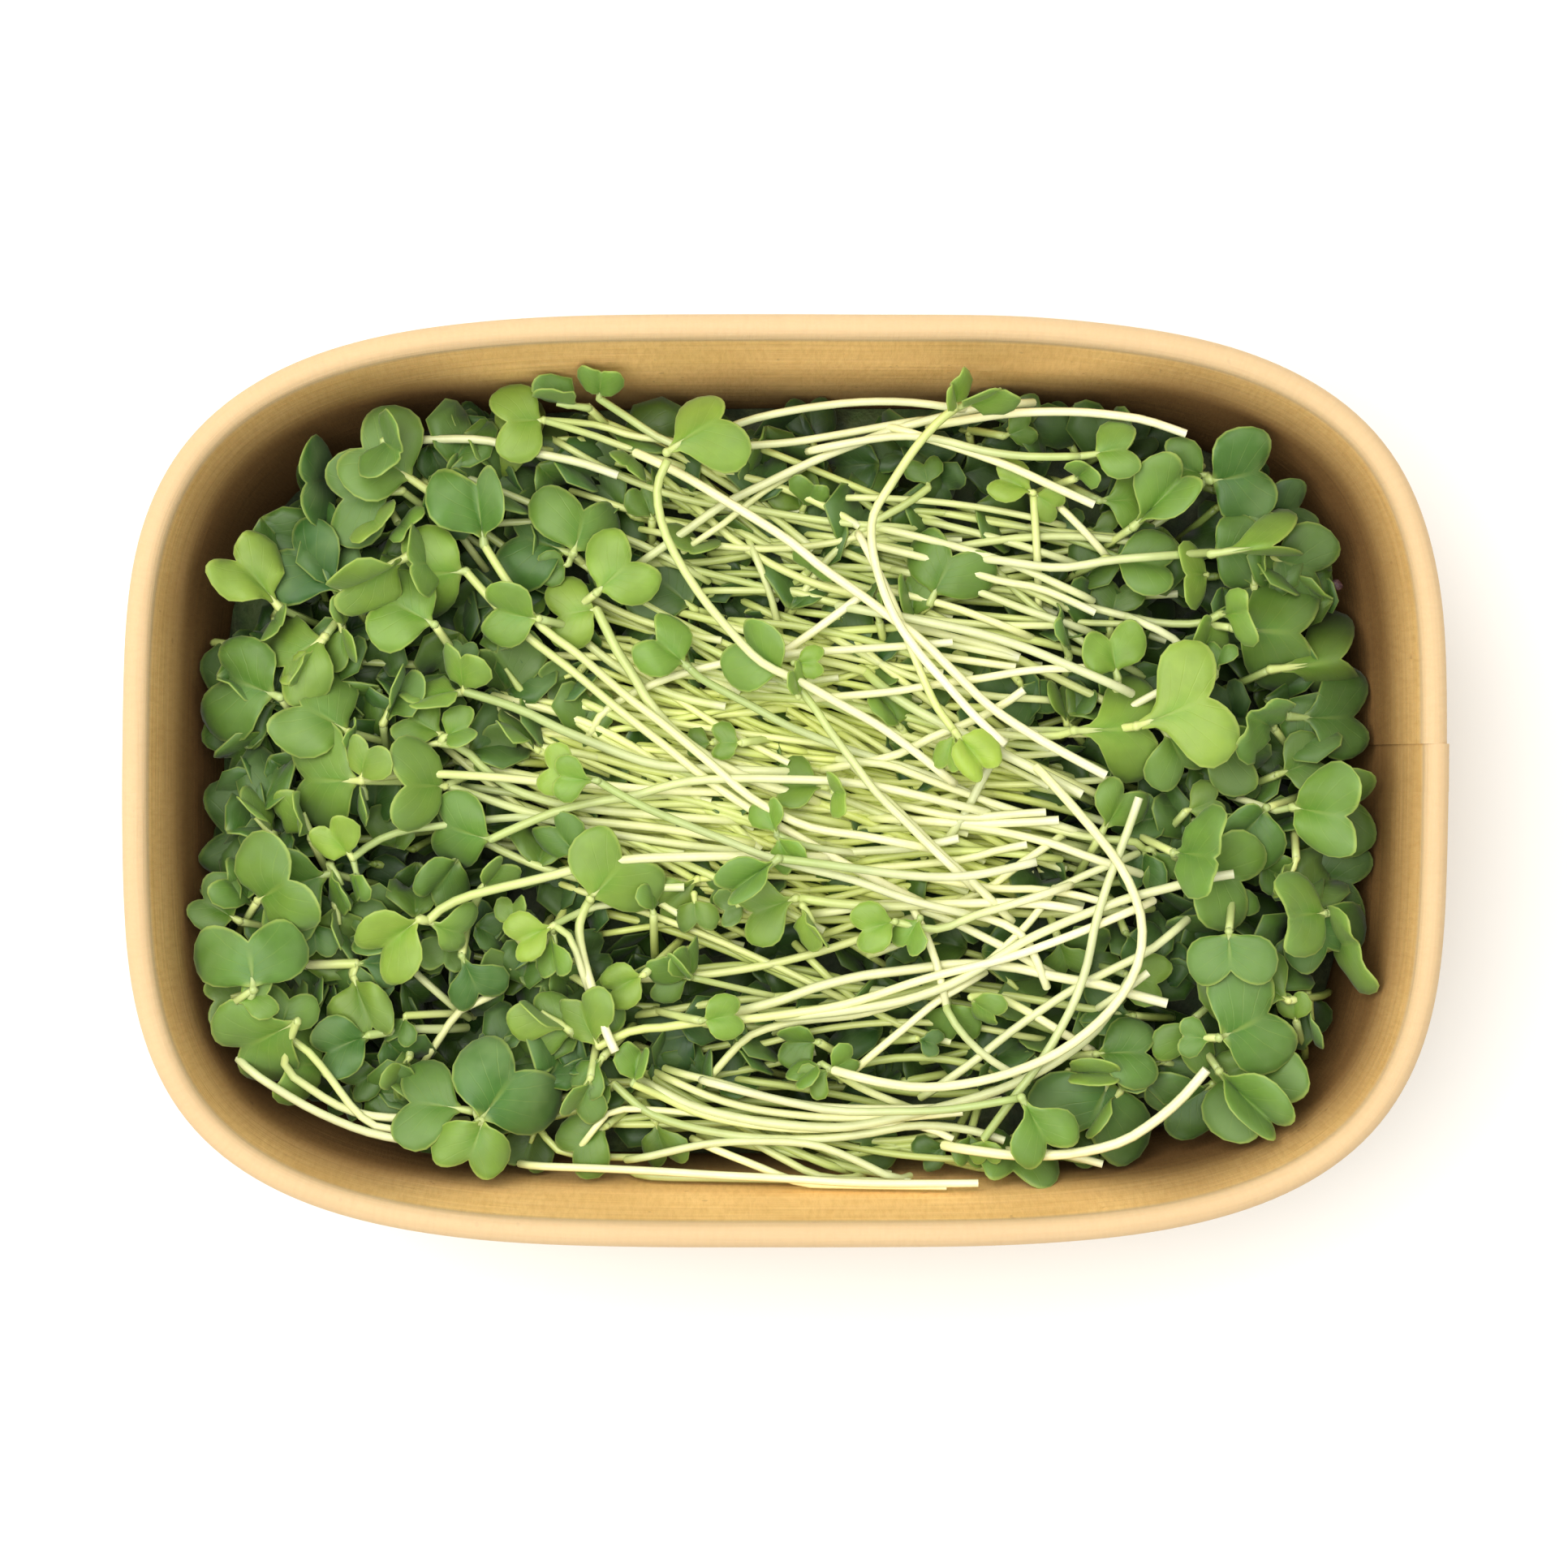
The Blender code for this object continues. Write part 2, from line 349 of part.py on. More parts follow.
    (12.5, 15, [(56.7, 40.7), (52, 36), (46, 32)]),
    (14, 12, [(14, 33), (22, 31), (30, 28.5), (38, 25)]),
    (13, 11, [(12, 31), (20, 29), (28, 26.5), (34, 25.3), (41, 22.2)]),
    (13, 12, [(16, 27.5), (24, 25.5), (32, 22.5), (38, 20.5)]),
    (13, 12, [(14, 25), (22, 23), (30, 20)]),
    (14, 13, [(20, 34), (28, 32), (36, 29.5)]),
    (12, 14, [(57.5, 22), (55, 20.8), (50, 20.8), (46, 21.5), (40, 23)]),
    (8.5, 12, [(48.3, 8), (44, 7), (39, 6.2), (34, 6.5), (28, 5.5)]),
    (9, 13, [(41, 6.3), (37, 5.7), (30, 6.8), (26, 7), (20, 5.5)]),
    (13, 11, [(50, -8.6), (46, -8), (40, -7.4), (34, -6.6), (28, -5)]),
    (10, 8, [(44, 8.5), (47, 10.5), (51, 12.5)]),
]


def material(name, colour, roughness):
    """A plain finish."""
    made = bpy.data.materials.new(name)
    made.use_nodes = True
    surface = made.node_tree.nodes["Principled BSDF"]
    surface.inputs["Base Color"].default_value = colour
    surface.inputs["Roughness"].default_value = roughness
    made.diffuse_color = colour
    return made


def add_object(name, mesh, finish, smooth=False):
    """Puts a finished solid into the scene under its node's name."""
    made = bpy.data.objects.new(name, mesh)
    bpy.context.scene.collection.objects.link(made)
    mesh.materials.clear()
    mesh.materials.append(finish)
    if smooth:
        mesh.shade_smooth()
        mesh.set_sharp_from_angle(angle=math.radians(SHARP_ANGLE))
    return made


def outline(half_x, half_y, count):
    """Evenly spaced points of the rounded rectangle, each with its outward normal."""
    power = 2.0 / OUTLINE_POWER
    dense = []
    for step in range(OUTLINE_STEPS):
        turn = 2 * math.pi * (step + 0.5) / OUTLINE_STEPS
        c = math.cos(turn)
        s = math.sin(turn)
        dense.append(Vector((
            math.copysign(abs(c) ** power, c) * half_x,
            math.copysign(abs(s) ** power, s) * half_y,
        )))
    lengths = [0.0]
    for step in range(OUTLINE_STEPS):
        lengths.append(lengths[-1] + (dense[(step + 1) % OUTLINE_STEPS] - dense[step]).length)
    found = []
    index = 0
    for step in range(count):
        target = lengths[-1] * step / count
        while lengths[index + 1] < target:
            index += 1
        point = dense[index % OUTLINE_STEPS]
        normal = Vector((
            math.copysign(abs(point.x / half_x) ** (OUTLINE_POWER - 1) / half_x, point.x),
            math.copysign(abs(point.y / half_y) ** (OUTLINE_POWER - 1) / half_y, point.y),
        ))
        found.append((point, normal.normalized()))
    return found


def sweep(name, profile, closed):
    """Sweeps a profile of (offset from the rim's outer line, height) round the tray's outline."""
    path = outline(TRAY_LENGTH / 2, TRAY_WIDTH / 2, OUTLINE_POINTS)
    bm = bmesh.new()
    rings = []
    for offset, height in profile:
        ring = []
        for point, normal in path:
            place = point + normal * offset
            ring.append(bm.verts.new((place.x * MM, place.y * MM, height * MM)))
        rings.append(ring)
    pairs = list(zip(rings, rings[1:]))
    if closed:
        pairs.append((rings[-1], rings[0]))
    else:
        bm.faces.new(list(reversed(rings[0])))
        bm.faces.new(rings[-1])
    for lower, upper in pairs:
        for index in range(OUTLINE_POINTS):
            after = (index + 1) % OUTLINE_POINTS
            bm.faces.new((lower[index], lower[after], upper[after], upper[index]))
    bmesh.ops.recalc_face_normals(bm, faces=bm.faces)
    mesh = bpy.data.meshes.new(name)
    bm.to_mesh(mesh)
    bm.free()
    return mesh


def wall_inner_offset(height):
    """Offset of the wall's inner face from the rim's outer line at this height."""
    return -RIM_WIDTH - PAPER - WALL_SPREAD * (TRAY_HEIGHT - height) / TRAY_HEIGHT


def wall_mesh():
    """The wall with its rolled rim on top and the folded hem that it stands on."""
    roll = RIM_WIDTH / 2
    inside = roll - PAPER
    centre_height = TRAY_HEIGHT - roll
    outer = []
    inner = []
    for step in range(CURL_POINTS + 1):
        turn = math.radians(CURL_START - CURL_TURN * step / CURL_POINTS)
        outer.append((roll * math.cos(turn) - roll, centre_height + roll * math.sin(turn)))
        inner.append((inside * math.cos(turn) - roll, centre_height + inside * math.sin(turn)))
    foot = wall_inner_offset(0.0)
    fold = foot - HEM_GAP
    lean = WALL_SPREAD / TRAY_HEIGHT
    hem = [
        (foot + PAPER, 0.0),
        (fold - PAPER, 0.0),
        (fold - PAPER + lean * HEM_HEIGHT, HEM_HEIGHT),
        (fold + lean * HEM_HEIGHT, HEM_HEIGHT),
        (fold + lean * PAPER, PAPER),
        (foot + lean * PAPER, PAPER),
    ]
    middle = TRAY_HEIGHT * WALL_BREAK
    inner_face = [(wall_inner_offset(middle), middle)]
    outer_face = [(wall_inner_offset(middle) + PAPER, middle)]
    profile = hem + inner_face + outer + list(reversed(inner)) + outer_face
    return sweep("tray_wall", profile, closed=True)


def base_mesh():
    """The floor panel, raised off the table, with a flange that drops into the hem."""
    lean = WALL_SPREAD / TRAY_HEIGHT
    flange_inner = wall_inner_offset(0.0) - HEM_GAP + CLEARANCE
    flange_outer = flange_inner + PAPER
    profile = [
        (FLOOR_INSET, FLOOR_TOP - PAPER),
        (flange_inner + lean * (FLOOR_TOP - PAPER), FLOOR_TOP - PAPER),
        (flange_inner + lean * FLANGE_FOOT, FLANGE_FOOT),
        (flange_outer + lean * FLANGE_FOOT, FLANGE_FOOT),
        (flange_outer + lean * FLOOR_TOP, FLOOR_TOP),
        (FLOOR_INSET, FLOOR_TOP),
    ]
    return sweep("tray_base", profile, closed=False)


def true_place(x, y, depth):
    """Moves a point read in the reading plane to its own depth, as seen from above."""
    scale = (VIEW_HEIGHT + depth) / (VIEW_HEIGHT + READING_DEPTH)
    return Vector((x * scale, y * scale, TRAY_HEIGHT - depth))


def wall_overshoot(point, margin):
    """How far a point lies beyond the wall's inner face, as a vector towards the tray's middle."""
    inset = wall_inner_offset(point.z) - margin
    half_x = TRAY_LENGTH / 2 + inset
    half_y = TRAY_WIDTH / 2 + inset
    reach = (abs(point.x / half_x) ** OUTLINE_POWER + abs(point.y / half_y) ** OUTLINE_POWER)
    reach = reach ** (1.0 / OUTLINE_POWER)
    if reach <= 1.0:
        return Vector((0, 0, 0))
    return Vector((point.x, point.y, 0)) * (1.0 / reach - 1.0)


def moved_inside(points, margin):
    """Shifts a leaf or stem as a whole until it is clear of the wall."""
    for _ in range(MOST_PUSHES):
        pushes = [wall_overshoot(point, margin) for point in points]
        furthest = max(pushes, key=lambda push: push.length)
        points = [point + furthest for point in points]
    return points


def blade_points(leaf, growth):
    """Upper and lower corners of one leaf: heel, outline, notch and midrib point."""
    x, y, depth, heading, pitch, roll, width, petiole, fold, curl = leaf
    rng = random.Random(int(x * SEED_X + y * SEED_Y + heading))
    size = width + 2 * growth
    thickness = BLADE_THICKNESS / math.cos(math.radians(fold)) + 2 * growth
    flat = list(HALF_OUTLINE)
    flat += [(0.0, BLADE_NOTCH)]
    flat += [(-px, py) for px, py in reversed(HALF_OUTLINE)]
    flat += [(0.0, BLADE_MIDDLE)]
    bend = math.radians(curl) / BLADE_NOTCH
    slope = math.radians(fold)
    middle = [Vector((0.0, -PETIOLE_HEEL - growth, 0.0))]
    for px, py in flat:
        wave = rng.uniform(-EDGE_WAVE, EDGE_WAVE) if px else 0.0
        angle = bend * py
        rise = abs(px) * math.sin(slope) + wave
        point = Vector((px * math.cos(slope), math.sin(angle) / bend, rise - (1 - math.cos(angle)) / bend))
        middle.append(point * size + Vector((0.0, petiole - growth, 0.0)))
    half = Vector((0.0, 0.0, thickness / 2))
    turn = Matrix.Rotation(math.radians(heading - 90.0), 4, "Z")
    turn = turn @ Matrix.Rotation(math.radians(pitch), 4, "X")
    turn = turn @ Matrix.Rotation(math.radians(roll), 4, "Y")
    node = true_place(x, y, depth)
    upper = [turn @ (point + half) + node for point in middle]
    lower = [turn @ (point - half) + node for point in middle]
    placed = moved_inside(upper + lower + [node], EDGE_CLEARANCE - growth)
    count = len(middle)
    return placed[:count], placed[count:2 * count], placed[-1]


def mesh_from(name, corners, faces):
    """A mesh whose faces all look outward, from corners in millimetres."""
    mesh = bpy.data.meshes.new(name)
    mesh.from_pydata([corner * MM for corner in corners], [], faces)
    bm = bmesh.new()
    bm.from_mesh(mesh)
    bmesh.ops.recalc_face_normals(bm, faces=bm.faces)
    bm.to_mesh(mesh)
    bm.free()
    return mesh


def blade_mesh(upper, lower):
    """Two faces split into triangles alike, joined by the leaf's edge."""
    count = len(upper)
    rim = count - 1
    faces = []
    for index in range(rim):
        after = (index + 1) % rim
        faces.append((index, after, rim))
        faces.append((count + after, count + index, count + rim))
        faces.append((after, index, count + index))
        faces.append((after, count + index, count + after))
    return mesh_from("blade", upper + lower, faces)


def tube_mesh(points, radius, sides):
    """A closed tube along the points, with flat ends."""
    corners = []
    faces = []
    count = len(points)
    for index, point in enumerate(points):
        before = points[max(index - 1, 0)]
        after = points[min(index + 1, count - 1)]
        along = (after - before).normalized()
        guide = Vector((0, 0, 1)) if abs(along.z) < STEEP else Vector((1, 0, 0))
        across = along.cross(guide).normalized()
        over = across.cross(along).normalized()
        for side in range(sides):
            turn = 2 * math.pi * (side + 0.5) / sides
            corners.append(point + across * radius * math.cos(turn) + over * radius * math.sin(turn))
    for index in range(count - 1):
        for side in range(sides):
            after = (side + 1) % sides
            a = index * sides + side
            b = index * sides + after
            faces.append((a, b, b + sides))
            faces.append((a, b + sides, a + sides))
    last = (count - 1) * sides
    for side in range(1, sides - 1):
        faces.append((0, side + 1, side))
        faces.append((last, last + side, last + side + 1))
    return mesh_from("tube", corners, faces)


def strut_mesh(top, ground, growth):
    """A slim upright stem that holds a leaf or a stem up on what is under it."""
    foot = Vector((top.x, top.y, ground - STRUT_SINK))
    return tube_mesh([foot, top], STRUT_RADIUS + growth, STRUT_SIDES)


def thinned(points):
    """Leaves out the points that a straight run between their neighbours passes close to."""
    first = points[0]
    last = points[-1]
    along = (last - first).normalized()
    offs = [((point - first) - along * (point - first).dot(along)).length for point in points]
    furthest = max(range(len(points)), key=lambda index: offs[index])
    if offs[furthest] < STEM_TOLERANCE:
        return [first, last]
    return thinned(points[:furthest + 1])[:-1] + thinned(points[furthest:])


def clipped(stem, low, high):
    """The stretches of a stem between two values of x."""
    first, last, points = stem
    places = []
    for index, (x, y) in enumerate(points):
        depth = first + (last - first) * index / (len(points) - 1)
        places.append(true_place(x, y, depth))
    runs = []
    run = []
    for index, place in enumerate(places):
        if index:
            before = places[index - 1]
            for limit in sorted((low, high), reverse=before.x > place.x):
                if (before.x - limit) * (place.x - limit) < 0:
                    cut = before.lerp(place, (limit - before.x) / (place.x - before.x))
                    if run:
                        runs.append(run + [cut])
                        run = []
                    else:
                        run = [cut]
        if low <= place.x <= high:
            run.append(place)
    runs.append(run)
    return [
        moved_inside(thinned(run), EDGE_CLEARANCE + STEM_RADIUS)
        for run in runs
        if len(run) > 1 and (run[0] - run[-1]).length > SHORTEST_RUN
    ]


def core_mesh(top_height, low_x, high_x):
    """The tray's inside up to a height, between two values of x, clear of the wall and floor."""
    bm = bmesh.new()
    for height in (CORE_BOTTOM, top_height):
        inset = wall_inner_offset(height) - CORE_WALL_GAP
        for point, normal in outline(TRAY_LENGTH / 2, TRAY_WIDTH / 2, CORE_POINTS):
            x = min(max(point.x + normal.x * inset, low_x), high_x)
            bm.verts.new((x * MM, (point.y + normal.y * inset) * MM, height * MM))
    hull = bmesh.ops.convex_hull(bm, input=bm.verts)
    loose = [item for item in hull["geom_interior"] if isinstance(item, bmesh.types.BMVert)]
    bmesh.ops.delete(bm, geom=loose, context="VERTS")
    bmesh.ops.triangulate(bm, faces=bm.faces)
    bmesh.ops.recalc_face_normals(bm, faces=bm.faces)
    mesh = bpy.data.meshes.new("core")
    bm.to_mesh(mesh)
    bm.free()
    return mesh


def fuse(meshes):
    """Joins meshes into one with a Boolean union on a collection."""
    group = bpy.data.collections.new("group")
    for mesh in meshes[1:]:
        group.objects.link(bpy.data.objects.new("piece", mesh))
    holder = bpy.data.objects.new("holder", meshes[0])
    bpy.context.scene.collection.objects.link(holder)
    boolean = holder.modifiers.new("fuse", "BOOLEAN")
    boolean.operation = "UNION"
    boolean.operand_type = "COLLECTION"
    boolean.collection = group
    boolean.solver = "MANIFOLD"
    graph = bpy.context.evaluated_depsgraph_get()
    result = bpy.data.meshes.new_from_object(holder.evaluated_get(graph))
    for piece in list(group.objects):
        bpy.data.objects.remove(piece)
    bpy.data.collections.remove(group)
    bpy.data.objects.remove(holder)
    return largest_body(result)


def volume(faces):
    """Signed volume inside closed faces."""
    total = 0.0
    for face in faces:
        a, b, c = (vert.co for vert in face.verts)
        total += a.dot(b.cross(c)) / 6
    return total


def largest_body(mesh):
    """Keeps the largest body of a mesh and drops loose scraps and sealed hollows."""
    bm = bmesh.new()
    bm.from_mesh(mesh)
    bmesh.ops.triangulate(bm, faces=bm.faces)
    waiting = set(bm.faces)
    bodies = []
    while waiting:
        front = [waiting.pop()]
        body = []
        while front:
            face = front.pop()
            body.append(face)
            for edge in face.edges:
                for other in edge.link_faces:
                    if other in waiting:
                        waiting.remove(other)
                        front.append(other)
        bodies.append(body)
    bodies.sort(key=volume, reverse=True)
    scraps = [face for body in bodies[1:] for face in body]
    bmesh.ops.delete(bm, geom=scraps, context="FACES")
    bm.to_mesh(mesh)
    bm.free()
    return mesh


def search_tree(mesh, lift=0.0):
    """A mesh, raised by a lift, in the form that overlap tests and rays need."""
    corners = [vertex.co + Vector((0, 0, lift * MM)) for vertex in mesh.vertices]
    return BVHTree.FromPolygons(corners, [tuple(face.vertices) for face in mesh.polygons])


def lift_clear(grown, trees):
    """How far these solids rise or sink, from a little low, to be clear of what is in place."""
    for step in range(MOST_LIFTS):
        lift = step * LIFT_STEP - SETTLE
        raised = [search_tree(mesh, lift) for mesh in grown]
        if not any(mesh.overlap(tree) for mesh in raised for tree in trees):
            return lift
    return None


def ground_under(place, trees):
    """Height of the first thing straight under a place, or far below if there is none."""
    hits = [tree.ray_cast(place * MM, Vector((0, 0, -1)))[0] for tree in trees]
    return max((hit.z / MM for hit in hits if hit is not None), default=-TRAY_HEIGHT)


def clusters(leaves):
    """Leaves that share a growing point, as lists."""
    found = []
    for leaf in leaves:
        for group in found:
            if math.dist(leaf[:2], group[0][:2]) < ROOT_SPACING:
                group.append(leaf)
                break
        else:
            found.append([leaf])
    return found


def lay(group, runs, trees):
    """Raises leaves and stems together until they clear what is in place.

    Returns their solids, and the places along them that could be held up from below.
    """
    grown = [blade_mesh(*blade_points(leaf, CLEARANCE)[:2]) for leaf in group]
    grown += [tube_mesh(run, STEM_RADIUS + CLEARANCE, STEM_SIDES) for run in runs]
    lift = lift_clear(grown, trees)
    if lift is None:
        return [], []
    solids = []
    supports = []
    for leaf in group:
        x, y, depth = leaf[:3]
        upper, lower, node = blade_points((x, y, depth - lift) + leaf[3:], 0.0)
        solids.append(blade_mesh(upper, lower))
        heart = (upper[-1] + lower[-1]) / 2
        supports += [node.lerp(heart, share) for share in LEAF_SUPPORTS]
    for run in runs:
        raised = [place + Vector((0, 0, lift)) for place in run]
        solids.append(tube_mesh(raised, STEM_RADIUS, STEM_SIDES))
        for before, after in zip(raised, raised[1:]):
            supports += [before.lerp(after, share) for share in STEM_SUPPORTS]
    return solids, supports


def shortest_strut(supports, own, others):
    """The shortest upright stem from a support down to the same node, clear of the others."""
    found = []
    for support in supports:
        ground = ground_under(support, own)
        space = search_tree(strut_mesh(support, ground, CLEARANCE))
        if ground > 0.0 and not any(space.overlap(tree) for tree in others):
            found.append((support.z - ground, strut_mesh(support, ground, 0.0)))
    return min(found, key=lambda pair: pair[0])[1] if found else None


def pile(name, core, batches, others, finish):
    """Lays batches of leaves and stems on a core, from the deepest up, and fuses them."""
    own = [search_tree(core)]
    solids = [core]
    for group, runs in sorted(batches, key=mean_height):
        added, supports = lay(group, runs, own + others)
        strut = shortest_strut(supports, own, others)
        if strut:
            solids += added + [strut]
            own += [search_tree(mesh) for mesh in added]
    mesh = fuse(solids)
    add_object(name, mesh, finish)
    return mesh


def mean_height(batch):
    """Mean height of a batch, by which the batches are laid from the deepest up."""
    group, runs = batch
    heights = [TRAY_HEIGHT - leaf[2] for leaf in group]
    heights += [place.z for run in runs for place in run]
    return sum(heights) / len(heights)


def stem_batches(low, high):
    """Every listed stem's stretches between two values of x, each a batch of its own."""
    return [([], [run]) for stem in STEMS for run in clipped(stem, low, high)]


def build_bunch(name, others, finish):
    """The leaves at one end of the tray, with the stems that run in among them."""
    low, high = BUNCHES[name]
    low += CLEARANCE / 2
    high -= CLEARANCE / 2
    batches = [(group, []) for group in clusters(LEAVES[name])] + stem_batches(low, high)
    core = core_mesh(TRAY_HEIGHT - LEAF_CORE_DEPTH, low, high)
    return pile(name, core, batches, others, finish)


def build_stems(others, finish):
    """The mat of stems that crosses the middle of the tray."""
    low = MAT_LEFT + CLEARANCE / 2
    high = MAT_RIGHT - CLEARANCE / 2
    core = core_mesh(TRAY_HEIGHT - MAT_CORE_DEPTH, low, high)
    return pile("stems", core, stem_batches(low, high), others, finish)


def build_loose(prefix, sprouts, others, finish):
    """Whole sprouts or single leaves, each its own piece, resting clear of what is under it."""
    meshes = []
    trees = [search_tree(mesh) for mesh in others]
    for number, (leaves, stem) in enumerate(sprouts, start=1):
        runs = clipped(stem, -TRAY_LENGTH, TRAY_LENGTH) if stem else []
        solids = lay(leaves, runs, trees)[0]
        mesh = fuse(solids) if len(solids) > 1 else solids[0]
        add_object(f"{prefix}_{number:02d}", mesh, finish)
        trees.append(search_tree(mesh))
        meshes.append(mesh)
    return meshes


def build():
    """Builds every node, each on what is already in place."""
    for old in list(bpy.data.objects):
        bpy.data.objects.remove(old)
    kraft = material("kraft_paper", KRAFT, 0.75)
    leaf_finish = material("leaf", LEAF_GREEN, 0.5)
    young_finish = material("young_leaf", YOUNG_GREEN, 0.5)
    stem_finish = material("stem", STEM_CREAM, 0.45)
    add_object("tray_wall", wall_mesh(), kraft, smooth=True)
    add_object("tray_base", base_mesh(), kraft, smooth=True)
    mat_core = core_mesh(TRAY_HEIGHT - MAT_CORE_DEPTH + CLEARANCE, MAT_LEFT, MAT_RIGHT)
    placed = [build_bunch("left_leaves", [search_tree(mat_core)], leaf_finish)]
    placed.append(build_bunch("right_leaves", [search_tree(mat_core)], leaf_finish))
    tucked = [(leaves, None) for leaves in TUCKED]
    placed += build_loose("tucked_leaf", tucked, placed + [mat_core], leaf_finish)
    placed.append(build_stems([search_tree(mesh) for mesh in placed], stem_finish))
    build_loose("loose_sprout", SPROUTS, placed, young_finish)


build()
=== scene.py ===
"""Broccoli microgreens in a kraft-paper tray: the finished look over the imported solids.

Run with: blender --background --python scene.py
Meshes are in metres. The lists are in millimetres, seen from above, with the depth below the rim.
"""

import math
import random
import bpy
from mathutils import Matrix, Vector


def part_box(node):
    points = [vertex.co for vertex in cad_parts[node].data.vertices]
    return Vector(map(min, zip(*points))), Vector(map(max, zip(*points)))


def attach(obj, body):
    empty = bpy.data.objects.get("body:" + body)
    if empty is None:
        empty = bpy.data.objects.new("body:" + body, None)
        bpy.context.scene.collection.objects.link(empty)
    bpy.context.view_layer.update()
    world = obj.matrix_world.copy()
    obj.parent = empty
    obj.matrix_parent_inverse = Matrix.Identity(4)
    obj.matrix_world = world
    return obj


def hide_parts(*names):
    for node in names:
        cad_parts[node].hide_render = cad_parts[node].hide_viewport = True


bl_info = {
    "name": "Broccoli microgreens tray",
    "version": (1, 0, 0),
    "blender": (4, 5, 0),
    "location": "3D Viewport > Sidebar > Microgreens",
    "description": "Makes a kraft-paper tray filled with cut broccoli microgreens",
    "category": "Add Mesh",
}

from bisect import bisect_left

import bpy
from bpy.props import FloatProperty, FloatVectorProperty, IntProperty, PointerProperty
from mathutils import Matrix, Vector, noise
from mathutils.bvhtree import BVHTree

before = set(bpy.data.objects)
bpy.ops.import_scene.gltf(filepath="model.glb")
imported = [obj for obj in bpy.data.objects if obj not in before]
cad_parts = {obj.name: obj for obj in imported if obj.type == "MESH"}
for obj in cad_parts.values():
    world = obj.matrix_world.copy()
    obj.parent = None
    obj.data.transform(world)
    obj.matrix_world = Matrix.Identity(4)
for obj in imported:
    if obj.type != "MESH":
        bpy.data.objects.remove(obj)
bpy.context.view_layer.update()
WALL_LOW, WALL_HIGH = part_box("tray_wall")

MM = 0.001
BODY = "root"

# Tray, in millimetres
TRAY_LENGTH, TRAY_WIDTH, TRAY_HEIGHT = [(high - low) / MM for low, high in zip(WALL_LOW, WALL_HIGH)]
OUTLINE_POWER = 3.65
OUTLINE_STEPS = 2880
OUTLINE_POINTS = 300
CURL_POINTS = 22
CURL_TURN = 290.0
HEM_GAP = 1.3
HEM_HEIGHT = 5.0
FLOOR_TOP = 6.9
FLANGE_FOOT = 1.0
CLEARANCE = 0.3
FLOOR_INSET = -45.0
WALL_RINGS = 8
SEAM_PLACE = 3.3
SEAM_STEP = 0.3
SEAM_RUN = 26.0
RIM_WOBBLE = 0.14
WOBBLE_SCALE = 0.05
WOBBLE_LAYER = 3.0
WOBBLE_FROM = 0.6
BOARD_SCALE = 0.1
SHARP_ANGLE = 40.0

# Leaves: the side and the notch of a kidney, a heart and a fan, in blade widths
SIDES = [
    [(0.035, 0.0), (0.14, 0.08), (0.42, -0.10), (0.64, 0.10), (0.58, 0.42), (0.43, 0.56)],
    [(0.035, 0.0), (0.06, 0.10), (0.34, 0.02), (0.62, 0.16), (0.56, 0.46), (0.42, 0.62)],
    [(0.035, 0.0), (0.05, 0.20), (0.12, 0.26), (0.66, 0.16), (0.56, 0.50), (0.44, 0.64)],
]
NOTCHES = [0.44, 0.52, 0.57]
LOBE_TOP = [(0.0, 0.0), (0.06, 0.09), (0.22, 0.20)]
SHOULDER = 0.6
BLADE_LENGTH = 0.56
NOTCH_SWING = 0.05
FORMS = (0.1, 2.0)
SKEW = 0.07
DRIFT = 0.10
TWIST = 14.0
WAVES = (6.0, 12.0)
LOBE_DROOP = (0.35, 1.35)
OWN_FOLD = 18.0
SLOPE_SPREAD = (0.6, 1.6)
SLOPE_UNLIKE = 16.0
LEAF_EXTRA = 0.4
OWN_PITCH = 9.0
OWN_ROLL = 17.0
MARGIN_WAVE = (0.012, 0.045)
MARGIN_THIN = 0.6
MARGIN_OUT = 0.3
MARGIN_FROM = 0.999
DETAILS = [(9.5, 6, 8), (7.0, 5, 6), (0.0, 4, 5)]
COARSE = (2, 3)
LEAF_SEED = (977, 131)
TURN_SEED = (53, 7)
STALK_THICK = (0.30, 0.024, 0.62)
STALK_START = (0.45, 0.95, 1.1)
STALK_TAPER = 0.25
RIB_SUNK = (0.12, 0.10)
RIB_LEAST = 0.10
STALK_TURN = 35.0
STALK_RADIUS = 0.55
STALK_MARGIN = 1.0
STALK_REACH = [(0.0, 0.0), (2.6, 2.4), (5.4, 6.6), (7.2, 12.5)]
PETIOLE_SIDES = 6
PETIOLE_POINTS = 5
STEM_SLIM = 0.88
SPROUT_SIDES = 8
STEEP = 0.7
HIDDEN_ENDS = (0.4, 0.85)
STEM_SEED = (31, 5)
LISTED_TONE = (0.0, 0.3)
# Hidden stems get greener tones, a painted yellow-green of the light scattered deep in the mat
HIDDEN_TONE = (0.25, 0.8)
LEAF_PAINT = 0
PLANT_PAINT = ("leaf_skin", "stem_skin")
SUNK_REACH = 3.0
SUNK_DEPTH = 2.6

# Where things lie
VIEW_HEIGHT = 600.0
READING_DEPTH = 12.0
WALL_MARGIN = 0.35
MOST_PUSHES = 3
JOINT_SPACING = 1.6
JOINT_BRIDGE = 4.0
LEAF_END_REACH = 2.0
LIFT_STEP = 0.3
MOST_LIFTS = 9
PROXY_HALF = 0.22

